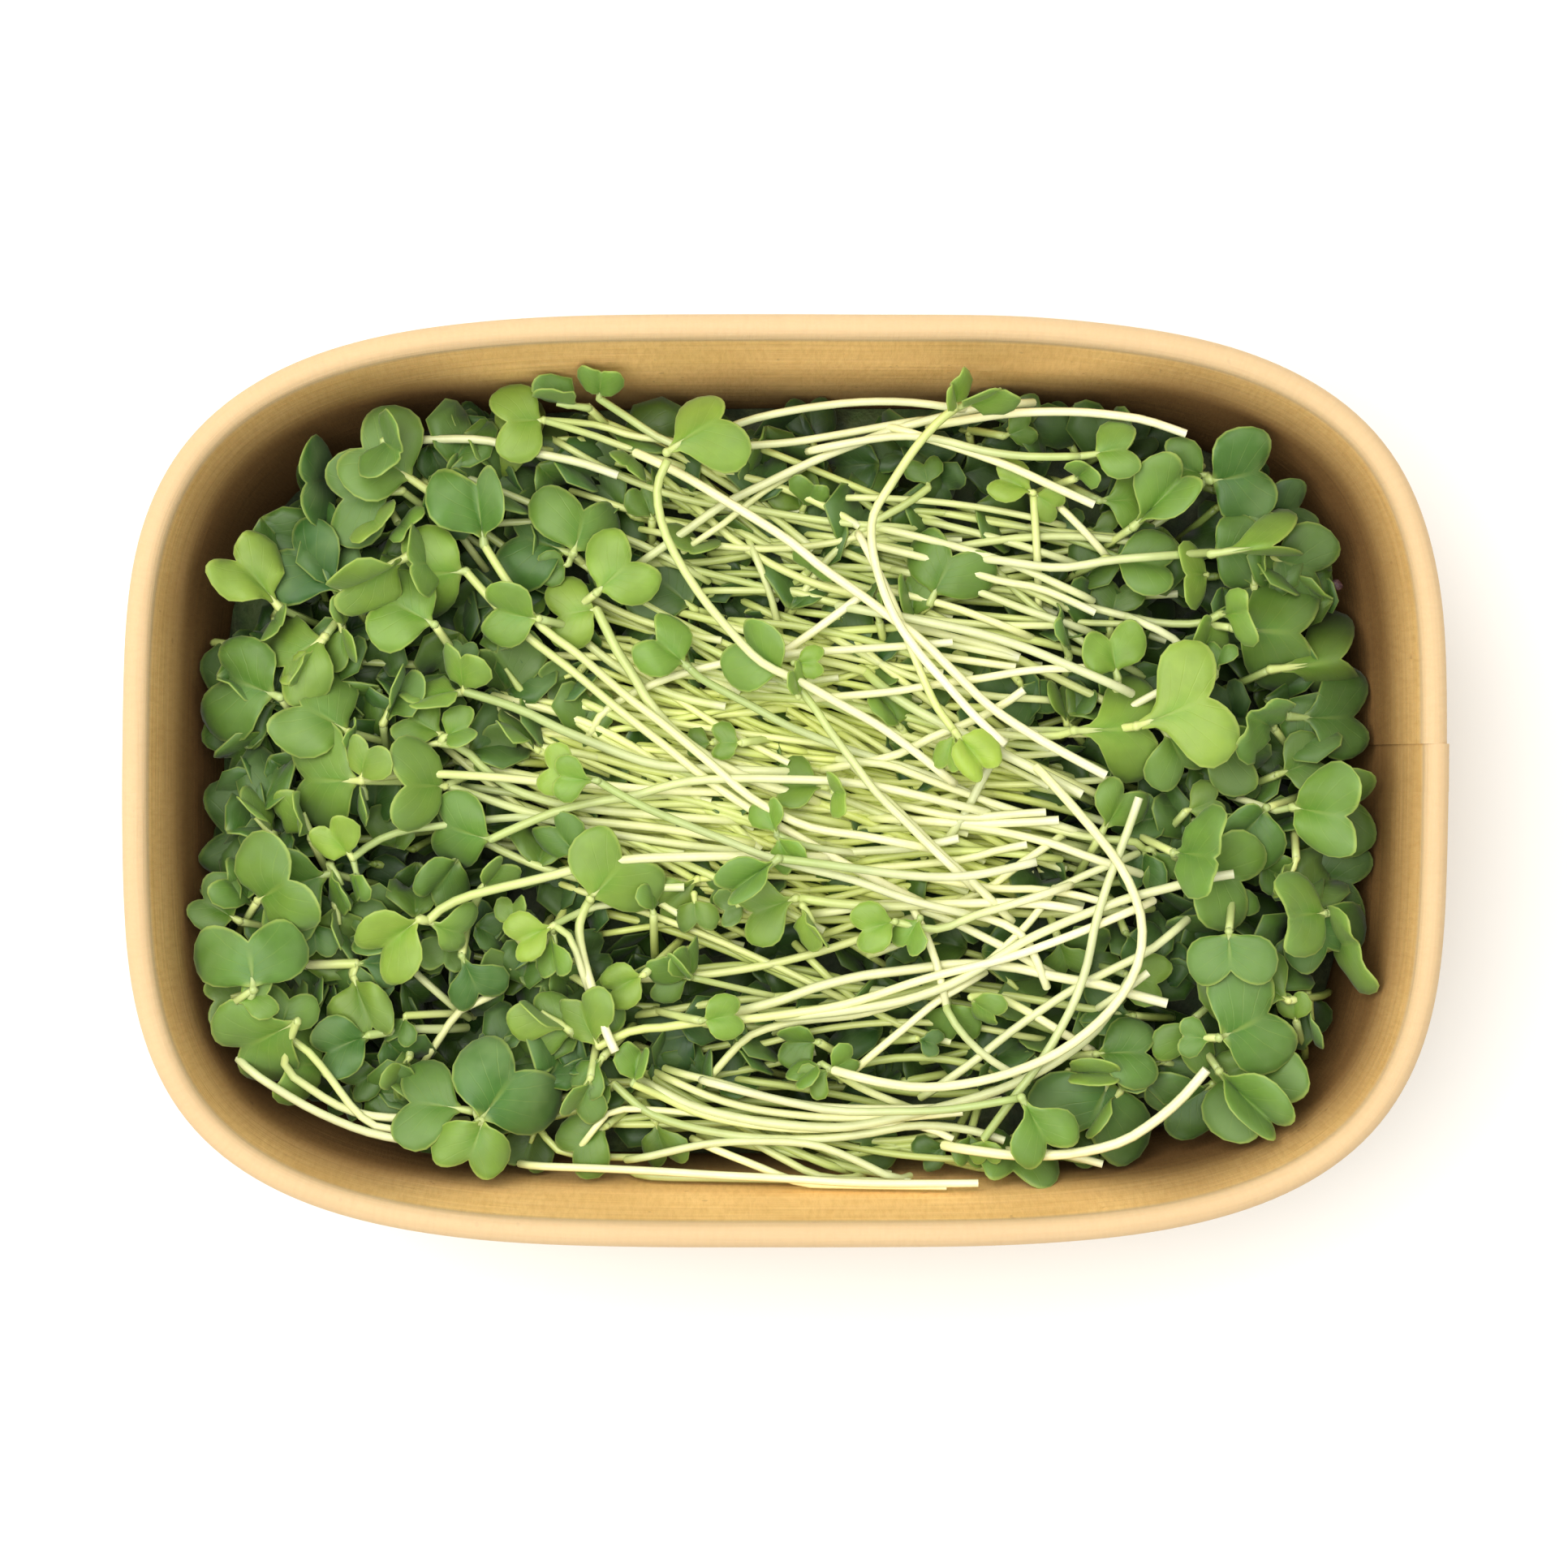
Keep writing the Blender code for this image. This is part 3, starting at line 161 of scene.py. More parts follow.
# Leaves: x, y, depth, heading, pitch, roll, width, petiole, fold, curl, age and, if it is set, the form
LEFT_HEAP = [
    (-52.3, 43.5, 11.5, 146, 12, 10, 13.5, 4.2, -4, 25, .75, .7),
    (-52.8, 44.8, 10, -43, 62, 0, 12, .3, 10, 10, .6, 0), (-62, 41.5, 20, 193, 70, 0, 13, 1, 10, 15, 1),
    (-61, 39, 21.5, 165, 10, 0, 15, 1, 8, 20, 1), (-62, 33, 21.5, 192, 0, 0, 15, 1, 8, 20, 1),
    (-50.5, 38.3, 11.5, 186, 5, 5, 12.5, 2, -6, 25, .75, .3), (-54.5, 35, 13, -48, 65, 0, 8, 1, 10, 15, .4),
    (-51, 34, 13, -30, 70, 0, 6, 1, 10, 15, .3), (-49.5, 29.5, 11, 213, 8, -55, 14.5, 1, 15, 15, .45, 1.3),
    (-62, 29, 15, 115, 5, 0, 8, .5, 8, 20, .9), (-57.5, 24.5, 14, 143, 0, 0, 14, 1, 8, 20, 1),
    (-66.5, 22.8, 13.5, 128, 15, 20, 14, 1, 35, 15, .35, 1.5),
    (-67.5, 21.5, 14, -40, 70, 0, 6, 1, 10, 10, .5), (-60.7, 19, 10.5, 214, 5, 0, 13.5, .5, 0, 20, .55, .3),
    (-61, 18.5, 10.5, 235, 10, 50, 9, 1, 30, 10, .4), (-58.3, 19.5, 12, 95, 30, 75, 7, 1, 10, 10, .5),
    (-58.5, 21, 12, 280, 10, 60, 8, 1, 10, 15, .5), (-53, 22, 18, 140, 0, 0, 9, 1, 8, 15, 1),
    (-46.2, 20.6, 9.3, 152, 5, 0, 11.5, .5, -5, 20, .18, .8), (-46, 49, 18, 110, 10, 60, 9, 1, 10, 15, 1),
    (-41, 48, 20, 110, 0, 0, 9, 1, 8, 15, 1), (-35.8, 48, 13.5, 150, 0, 0, 11, .5, -5, 20, .2, .3),
    (-27.5, 52, 12, 170, 15, 30, 9, 2, 50, 10, .5), (-24.5, 50.5, 11, 80, 55, 0, 7, 1, 10, 10, .4),
    (-31.8, 47.6, 11.5, 184, 10, 0, 10, .3, -5, 15, .15, .1), (-27, 45, 15, 180, 0, 175, 7, 1, 5, 10, .5),
    (-34, 41, 19, 180, 0, 0, 9, 1, 8, 15, 1), (-44, 37, 15, 90, 40, 80, 8, 1, 10, 10, .6),
    (-39.5, 31, 12, 97, 5, 0, 14, 1.2, 18, 25, .7, 1),
    (-42, 27.6, 11, 183, 10, 0, 12.5, .5, -10, 30, .2, .3),
    (-46.5, 28.5, 13, 180, 70, 0, 10, 1, 10, 15, .5), (-28, 30, 13, 163, 5, 10, 13.5, 1, 0, 20, .85, .4),
    (-27.9, 29.8, 11, 74, 5, 0, 12, .6, 0, 20, .5, .3), (-28.5, 28.5, 13, 190, 0, 0, 5, .5, 5, 10, .5),
    (-24.8, 24.8, 9.8, 43, 5, 0, 11, .5, -4, 20, .14, .8),
    (-24.8, 22.6, 11, 188, 0, 0, 9.5, .4, 0, 20, .12, .2),
    (-32.3, 21.3, 10.8, 170, 5, -20, 10.5, .4, 15, 20, .45, .7), (-20, 35, 15, 140, 0, 0, 8, 1, 8, 15, .8),
    (-17.5, 34.5, 14, 110, 10, 0, 6, .5, 8, 15, .3), (-20, 43, 14, -110, 65, 0, 6, 1, 10, 10, .3),
    (-20.5, 41.5, 16, 170, 0, 170, 6, .5, 5, 10, .6), (-11.8, 22.5, 14.5, 138, 0, 0, 12, 1, 0, 20, .85, .5),
    (-70.5, 11.5, 13.5, 182, -5, 0, 16, 1, 8, 20, .75), (-66.5, 11, 11, 158, 0, -15, 15, 1, 0, 25, .5, .3),
    (-57.6, 6.4, 10, 148, 5, 0, 15, .3, -4, 20, .68, .4),
    (-55.7, 0, 8, 180, -8, 0, 14, .8, -15, 20, .68, 1), (-55.7, .3, 8, 80, 25, -45, 8, .5, 10, 15, .5),
    (-55.7, -.5, 9, -80, 20, 65, 7, .5, 10, 10, .4), (-57.7, 4, 9.5, 70, 40, 75, 5, .5, 10, 10, .4),
    (-53, 7.5, 12, 62, 10, 45, 11, 1, 35, 15, .8), (-48.5, -2, 14, 185, 0, 170, 6, .5, 5, 15, .5),
    (-72, -3.5, 20, 180, 0, 0, 13, .5, 8, 20, 1), (-68, -8, 15.5, 175, 0, 0, 16, .5, 8, 20, .85),
    (-67.5, -7, 12.5, 130, 20, 45, 9, .5, 40, 10, .5),
    (-62.5, -7.6, 10.5, 113, 15, -60, 10, .5, 15, 20, .35),
    (-59.7, -12.2, 11.5, 195, 5, 0, 14.5, .8, 12, 20, .55),
    (-69.5, -15.8, 10.5, 33, 50, 0, 16, .5, 5, 15, .7, .2),
    (-70, -16.5, 13, 130, 30, 40, 9, .5, 30, 10, .7), (-74.3, -15.7, 16, 155, 10, 80, 4, .5, 5, 5, .8),
    (-74, -19, 11.5, 150, 0, 0, 9, 1, 8, 15, .75), (-57, -10.2, 8, 130, 15, -35, 8, .8, 10, 15, .15),
    (-57, -10.2, 8.5, -80, -10, 75, 6, 2, 10, 15, .3), (-60, -10.8, 10.5, -65, 0, 60, 8, 1, 15, 15, .5),
    (-54, -11, 17, 180, 0, 0, 8, .5, 8, 15, 1), (-48, -12.5, 17, 205, 0, 0, 9, .5, 8, 15, 1),
    (-49, -9, 19, 180, 0, 0, 8, .5, 8, 15, 1), (-34, 11, 13.5, 125, 0, 170, 11.5, 1, 5, 20, .6),
    (-42.3, 11.8, 9.5, 95, 35, -50, 8, .5, 10, 15, .55), (-42.3, 11.8, 10, 190, 10, 50, 11, 1, 30, 15, .4),
    (-43, 15.5, 12, 80, 0, 0, 4, .3, 8, 10, .9), (-45, 5.8, 9.5, 20, 15, -25, 7, .5, 8, 15, .5),
    (-45, 6, 10.5, 155, 0, 20, 9, .5, 10, 20, .6), (-45.5, 5, 10, 185, 5, 75, 6, 1.5, 10, 15, .4),
    (-44.8, -.7, 11, 180, 50, 0, 12.5, .5, 10, 20, .65),
    (-38.7, -7.7, 8.8, 166, 5, 0, 11, .3, -5, 20, .5, 1), (-35, 2.5, 14, 165, 0, 170, 7.5, .5, 5, 15, .6),
    (-32.5, 4, 12.5, 135, 10, 65, 9, .5, 15, 15, .6), (-27, 14.5, 13, 200, 0, 165, 7, .5, 5, 15, .7),
    (-30, -9, 17, 180, 0, 0, 11, .5, 8, 20, 1), (-27.5, -9.5, 10.5, 130, 5, -35, 8.5, .3, 15, 15, .5),
    (-40, -14.2, 10.5, 45, 10, 70, 7, .5, 10, 10, .6), (-43, -10, 12.5, 235, 5, -30, 10, .5, 15, 20, .5),
    (-35.7, -20, 11, 95, 5, -30, 6, .5, 10, 15, .5), (-23, -2.5, 14, 175, 0, 0, 6, .5, 8, 10, .6),
    (-18.5, 1.5, 15, 200, 0, 0, 5, .5, 8, 10, .9), (-73.6, -28.6, 6, 95, 0, 0, 14, .4, -14, 15, .66, 0),
    (-72.2, -29, 7, 14, 5, 8, 7.2, .2, 0, 15, .45, 1.5), (-66.5, -33.3, 9.5, 75, 5, -15, 8, .8, 8, 20, .5),
    (-68.1, -33.9, 5.5, 205, -8, -8, 15, .4, 6, 12, .55, 1.5),
    (-75.5, -30, 12, 190, 0, 165, 8, .3, 5, 15, .4), (-62, -18.5, 11.5, -90, 0, 0, 6, .5, 8, 15, .9),
    (-61, -24, 18, 185, 0, 0, 9, .5, 8, 15, .9), (-59.3, -16.5, 11.5, -85, 5, 45, 8, .5, 10, 15, .7),
    (-56.3, -24, 14, 0, 0, 0, 7.5, .5, 8, 15, .95), (-57, -25.5, 12.5, -70, 10, 0, 12, 1, 15, 20, .4),
    (-54.7, -33.5, 12.5, 200, 0, 0, 10, .5, 8, 15, .9), (-50, -31, 12, -110, 5, 30, 5, .5, 10, 10, .8),
    (-53.3, -38, 14.5, 215, 0, 0, 7, .5, 8, 15, .6), (-49.5, -36.5, 13.5, 245, 5, -20, 7, .5, 8, 15, .5),
    (-61, -37.5, 14, 175, 45, 0, 11, .3, 10, 15, .35), (-62, -41, 19, 180, 0, 0, 9, .5, 8, 15, .8),
    (-64, -44.3, 19, -105, 0, 40, 7, .5, 8, 15, .7), (-58.5, -45, 18, -85, 0, 30, 8, .5, 8, 15, .7),
    (-53, -47.3, 17, -35, 0, 20, 8, .5, 8, 15, .6), (-62, -46, 21, -60, 0, 0, 8, .5, 8, 15, 1),
    (-48, -18.2, 8.5, 215, 0, 0, 12.8, .5, 10, 25, .22, .9), (-51, -19.5, 13, 190, 0, 0, 9, .5, 8, 15, .8),
    (-47, -18.5, 9.5, -25, 0, 20, 8, .5, 8, 40, .5), (-44.5, -20, 12, -95, 0, 160, 7, .5, 5, 15, .6),
    (-42.5, -23, 12.5, -65, 0, 0, 9, .5, 8, 20, .85), (-30.3, -19, 9.5, 205, 10, 15, 8, .7, 10, 15, .15),
    (-31, -21, 11, 235, 0, 0, 5.5, .5, 8, 10, .3), (-30.5, -20, 10.5, -90, 5, 55, 7, .5, 10, 15, .4),
    (-34, -23, 14, 215, 0, 165, 8, .5, 5, 15, .7), (-28, -24, 14.5, 215, 0, 170, 10, .5, 5, 20, .7),
    (-28.3, -33, 11, 150, 20, -45, 10, 1, 15, 20, .3),
    (-27.8, -33.6, 12, 152, 5, 10, 9.5, .5, 0, 20, .3, .5),
    (-24.5, -35, 10.5, 120, 5, -45, 10, .5, 10, 20, .5), (-24, -36.5, 11, -130, 5, 50, 7, .5, 15, 15, .6),
    (-26, -27, 12, -30, 5, 25, 9, .5, 10, 20, .6), (-18.5, -25.5, 11.5, 205, 0, 0, 7.5, .5, 8, 15, .3),
    (-40.2, -44.8, 10.5, 54, 0, 0, 15.5, .6, -5, 20, .9, .3),
    (-39.6, -44.5, 10.5, -107, 0, 0, 10.8, .3, 0, 15, .5, .6),
    (-40.5, -43.5, 12.5, 170, 0, 0, 12.5, 2, 8, 20, .7), (-28.5, -38, 16.5, 165, 0, 0, 9, .5, 8, 15, .9),
    (-25.5, -39, 12, -110, 0, -20, 8, .5, 10, 25, .7), (-22.5, -40, 12.5, 200, 0, 40, 7, .5, 10, 15, .6),
    (-20, -40, 10.5, 75, 5, -40, 7, .5, 15, 10, .25), (-23.5, -45.5, 14.5, 215, 5, 30, 9, .5, 15, 15, .5),
    (-34.5, -48, 15.5, -110, 0, 165, 8, .5, 5, 15, .6), (-37, -50, 18, 225, 0, 0, 7, .5, 8, 15, .9),
]
MAT_LEAVES = [
    (4, 46.5, 20, 95, 0, 0, 8, 1, 8, 15, 1), (0, 25, 16, 130, 0, 0, 5, .5, 8, 10, .9),
    (3, 27.5, 13, 55, 65, 0, 7, 1, 10, 10, .3), (12.5, 21, 12, 95, 10, 60, 5, .5, 10, 10, .2),
    (26, 49.5, 18, 90, 0, 0, 7, .5, 8, 10, .9), (31, 48.8, 16, 80, 0, 170, 7, .5, 5, 10, .5),
    (29, 45.5, 13, 20, 0, 0, 5, .5, 8, 10, .2), (22, 40, 18, 20, 0, 0, 8, 1, 8, 15, .8),
    (34, 33, 17, 20, 0, 0, 5, .5, 8, 10, 1), (38, 30, 17, 20, 0, 0, 6, .5, 8, 10, 1),
    (40, 33, 15, 0, 0, 0, 5, .5, 8, 10, .6), (19, 38.7, 13, 100, 0, 0, 5, .5, 8, 10, .3),
    (37.5, 16.5, 13, 105, 30, 70, 8, 1, 10, 10, .5), (10, 15, 14, 0, 0, 170, 6, .5, 5, 10, .5),
    (15.3, 7, 12, 120, 5, 35, 8, .5, 10, 20, .4), (-5.8, 5, 10.5, 180, 0, 0, 5, .3, 8, 10, .5),
    (-9.5, 5, 12, 180, 0, 0, 4, .3, 8, 10, .5), (-17.3, -17.5, 11, 95, 5, 60, 5, .5, 10, 10, .5),
    (-5, -16, 12, 200, 0, 165, 5, .5, 5, 10, .5), (-6, -14, 13, 190, 0, 0, 5, .5, 8, 10, .5),
    (-11, -4, 14, 175, 0, 0, 7, .5, 8, 10, .7), (4.5, -34.5, 12.5, 180, 0, 0, 7.5, .5, 8, 15, .3),
    (4.8, -37.3, 11, 215, 5, 45, 6, .5, 15, 10, .4), (6, -38, 10.5, 215, 5, 0, 5, .3, 10, 10, .35),
    (6, -38, 10.5, 25, 5, 35, 5, .3, 10, 10, .35), (-3, -38, 20, 180, 0, 0, 11, .5, 8, 20, 1),
    (-17, -45, 14, -75, 5, 30, 8, .5, 10, 15, .5), (31, 13, 13, -60, 5, -20, 8, .5, 10, 20, .9),
    (21.5, -29, 12, -75, 0, 0, 8, .5, 8, 15, .35), (17.5, -34, 12.5, -20, 0, 0, 4, .3, 8, 10, 1),
    (24.5, -28.5, 11, -40, 5, 60, 6, .5, 10, 15, .5), (29, -26, 14, -45, 0, 165, 8, .5, 5, 15, .7),
    (36, -20.5, 12.5, -70, 0, 0, 7, .5, 8, 15, .45), (24.5, -46.5, 12.5, -95, 0, 0, 5.5, .3, 8, 10, .4),
    (26.2, -47, 12.8, -85, 0, 40, 4.5, .3, 8, 10, .4), (22, -47.5, 15, 215, 0, 0, 6, .5, 8, 10, .8),
]
RIGHT_HEAP = [
    (41, 48.5, 18, 90, 0, 0, 7.5, .5, 8, 15, .9), (38.5, 40, 11, 40, 65, 0, 6, .5, 10, 10, .4),
    (41.5, 37, 11, 0, 0, 0, 8, .5, 8, 15, .2), (42.3, 29.3, 12, -5, 5, 0, 11, 1.5, 8, 20, .8),
    (46, 33.5, 11, 45, 20, 0, 14, 1, 35, 15, .5, 1.6), (44, 13.5, 10, 105, 5, 0, 9.5, 1, 8, 20, .15),
    (43, 20.5, 14, 80, 0, 0, 7, 1, 8, 15, .6), (57.6, 40.7, 11.5, 8, 5, 0, 13.2, .4, 0, 20, .85, 0),
    (56, 40.2, 12.5, 165, 10, -30, 8.5, 1, 15, 15, .6, 1), (57, 36, 17, 20, 0, 0, 9, 1, 8, 15, 1),
    (56, 30, 14.5, 5, 0, 0, 9.5, .6, 8, 15, .7, 0), (56, 29.8, 9.5, 6, 15, 0, 12.5, 1.5, -62, 30, .2, 2),
    (57, 27, 17, 0, 0, 0, 7, .5, 8, 10, 1), (62, 26, 13, 80, 10, 75, 6, .5, 10, 10, .5),
    (64, 29.5, 13, -16, 5, -8, 13.2, .6, 0, 20, .85, .2), (64, 35, 17, 20, 0, 0, 10, 1, 8, 15, 1),
    (62.5, 42, 20, 0, 0, 0, 9, 1, 8, 15, 1), (55.6, 27.2, 12.5, 186, 58, 0, 8.5, .5, 5, 10, .25, 0),
    (49, 27, 16, 0, 0, 0, 8, 1, 8, 15, .9), (59.2, 20.2, 9.5, -6, 5, 5, 16, .5, -34, 30, .6, .9),
    (66.8, 15.1, 12, 6, 5, 0, 15, 1.5, -55, 25, .5, 2), (57.5, 22, 11, 0, 60, 0, 9, 1, 10, 15, .4),
    (52, 48, 22, 20, 0, 0, 9, 1, 8, 15, 1), (45, 46, 20, 20, 0, 0, 8, 1, 8, 15, 1),
    (38.2, 6.6, 6.6, 2, 8, 0, 14.8, .6, -36, 20, .3, 2), (41, 11, 14, 20, 0, 0, 8, .5, 8, 15, .9),
    (41.5, -7.3, 11.5, 60, 0, 0, 9, 1.5, 15, 15, .5), (46, -6.5, 14, 10, 0, 0, 8, .5, 8, 15, .9),
    (47.5, -9, 13, -95, 5, 40, 8, .5, 10, 15, .9), (46.4, 7.2, 6.8, 20, 5, 8, 16.6, .6, -6, 15, .32, 2),
    (50, 7, 9.5, -60, -10, -15, 10, 1, 10, 20, .55), (55, 4, 12.5, 0, 0, 0, 11, .5, 8, 15, .7),
    (54.5, 16.5, 11, 60, 5, 50, 7, .5, 15, 15, .3), (56.8, 14, 10.5, 80, 5, -30, 5, .5, 10, 10, .5),
    (64.5, 7, 12.5, 161, 65, 0, 12.5, .3, 10, 15, .6), (69.5, 9, 13, -3, 0, 0, 13.5, 2, 8, 20, .6),
    (71, -3.5, 14, 0, 0, 0, 14.5, .5, 8, 20, .65), (65, .8, 13, 20, 5, 0, 8.5, 1, 12, 15, .6),
    (63.6, -3.6, 10, 228, 0, 0, 12, .3, 25, 20, .7, .2), (67, -3.5, 9.5, -10, 40, 0, 14.5, .8, 10, 20, .55),
    (69.5, -12.5, 15.5, -8, 0, 0, 13.5, .5, 0, 20, .8, .3), (71, -17.5, 11, 180, 55, 0, 13, .5, 10, 15, .6),
    (70.5, -17, 11.5, -66, 0, 0, 12, .5, 0, 20, .8, .4),
    (67.5, -10.3, 10.5, 240, 10, 70, 7, .5, 10, 15, .5), (57, -14.5, 12, -50, 0, 0, 7.5, .5, 8, 15, .7),
    (51.3, -9.5, 10, 0, 72, 0, 15, .5, 10, 15, .5), (51.5, -10, 11.5, -20, 0, 0, 15.5, .5, 8, 20, .5),
    (53, -4, 12, 20, 0, 0, 6, .5, 8, 10, .5), (62, -10.5, 13, -30, 0, 0, 7, .5, 8, 15, .6),
    (50.5, -4.5, 14.5, 195, 0, 0, 8, .5, 8, 15, .95), (48.5, -9, 12, -55, 0, 0, 7, .5, 10, 15, .6),
    (45, -25.5, 12, -20, 0, 0, 7.5, .5, 8, 15, .3), (45, -20, 13.5, -40, 0, 0, 7, .5, 8, 15, .8),
    (46, -31, 13, 175, 0, 0, 9, .5, 8, 15, .9), (41, -36, 12, 5, 0, 0, 10.5, .5, 8, 20, .8),
    (44.3, -41, 12, 225, -5, 50, 9, 1, 15, 15, .45),
    (48.4, -45.6, 12, -112, 0, 0, 16, .3, -12, 20, .85, .2), (44, -50.3, 17, 250, 0, 30, 8, .5, 8, 15, .6),
    (58.4, -19.8, 9, -89, 0, 0, 10.8, .3, -8, 15, .7, 0),
    (57.2, -33.8, 9, 24, 0, 0, 15, .3, -6, 20, .72, 0), (56.5, -34, 10.5, 175, 0, 0, 6, .2, 8, 15, .6),
    (54, -31.5, 11.5, -110, 0, 0, 9, .5, 8, 20, .3), (66.5, -29, 10.5, 150, 0, 15, 9, .5, 8, 15, .7),
    (67.5, -31.7, 12, 100, 5, -30, 5, .3, 10, 10, .4), (69, -28, 14, -85, 5, 50, 10, .5, 15, 15, .9),
    (74.5, -22, 14, 0, 70, 0, 13, .3, 10, 15, .6), (72, -29.5, 19, -90, 0, 0, 8, .5, 8, 15, .9),
    (62.5, -37, 11.5, 200, 0, 20, 7, .5, 10, 15, .5),
    (59.4, -39.8, 9.5, -48, 20, 0, 15.5, .4, 32, 10, .6, 1.4),
    (63.5, -41, 13.5, -52, 30, 0, 15, .4, 0, 15, .75, .3),
    (56.5, -40, 14, 215, 0, -30, 11, .5, 15, 15, .85), (50, -37, 13, 190, 0, 40, 8, .5, 10, 15, .5),
]
LEAVES = {"left_heap": LEFT_HEAP, "mat_leaves": MAT_LEAVES, "right_heap": RIGHT_HEAP}

# Leaves tucked in under the mat of stems, one for each tucked_leaf node
TUCKED = [
    (-11.5, -33.5, 12.5, 190, 0, 0, 11, .5, 8, 20, 1),
    (15.5, -47, 16, 215, 0, 170, 11, .5, 5, 20, .7),
    (31.5, -49, 14, -95, 50, 0, 13, .3, 10, 20, .5),
    (37.5, -38.5, 12, 0, 20, -10, 11, .5, 30, 15, .5),
    (11.6, 16.2, 11, 155, 0, 0, 12.5, 1, -4, 20, .6),
    (-3.8, 29.5, 12, 105, 0, 170, 8.5, .5, 5, 15, .3),
    (-11, 32, 11, 222, 65, 0, 9, 1, 10, 15, .5),
    (30.5, -31, 15, -20, 0, 170, 9, .5, 5, 15, .7),
]

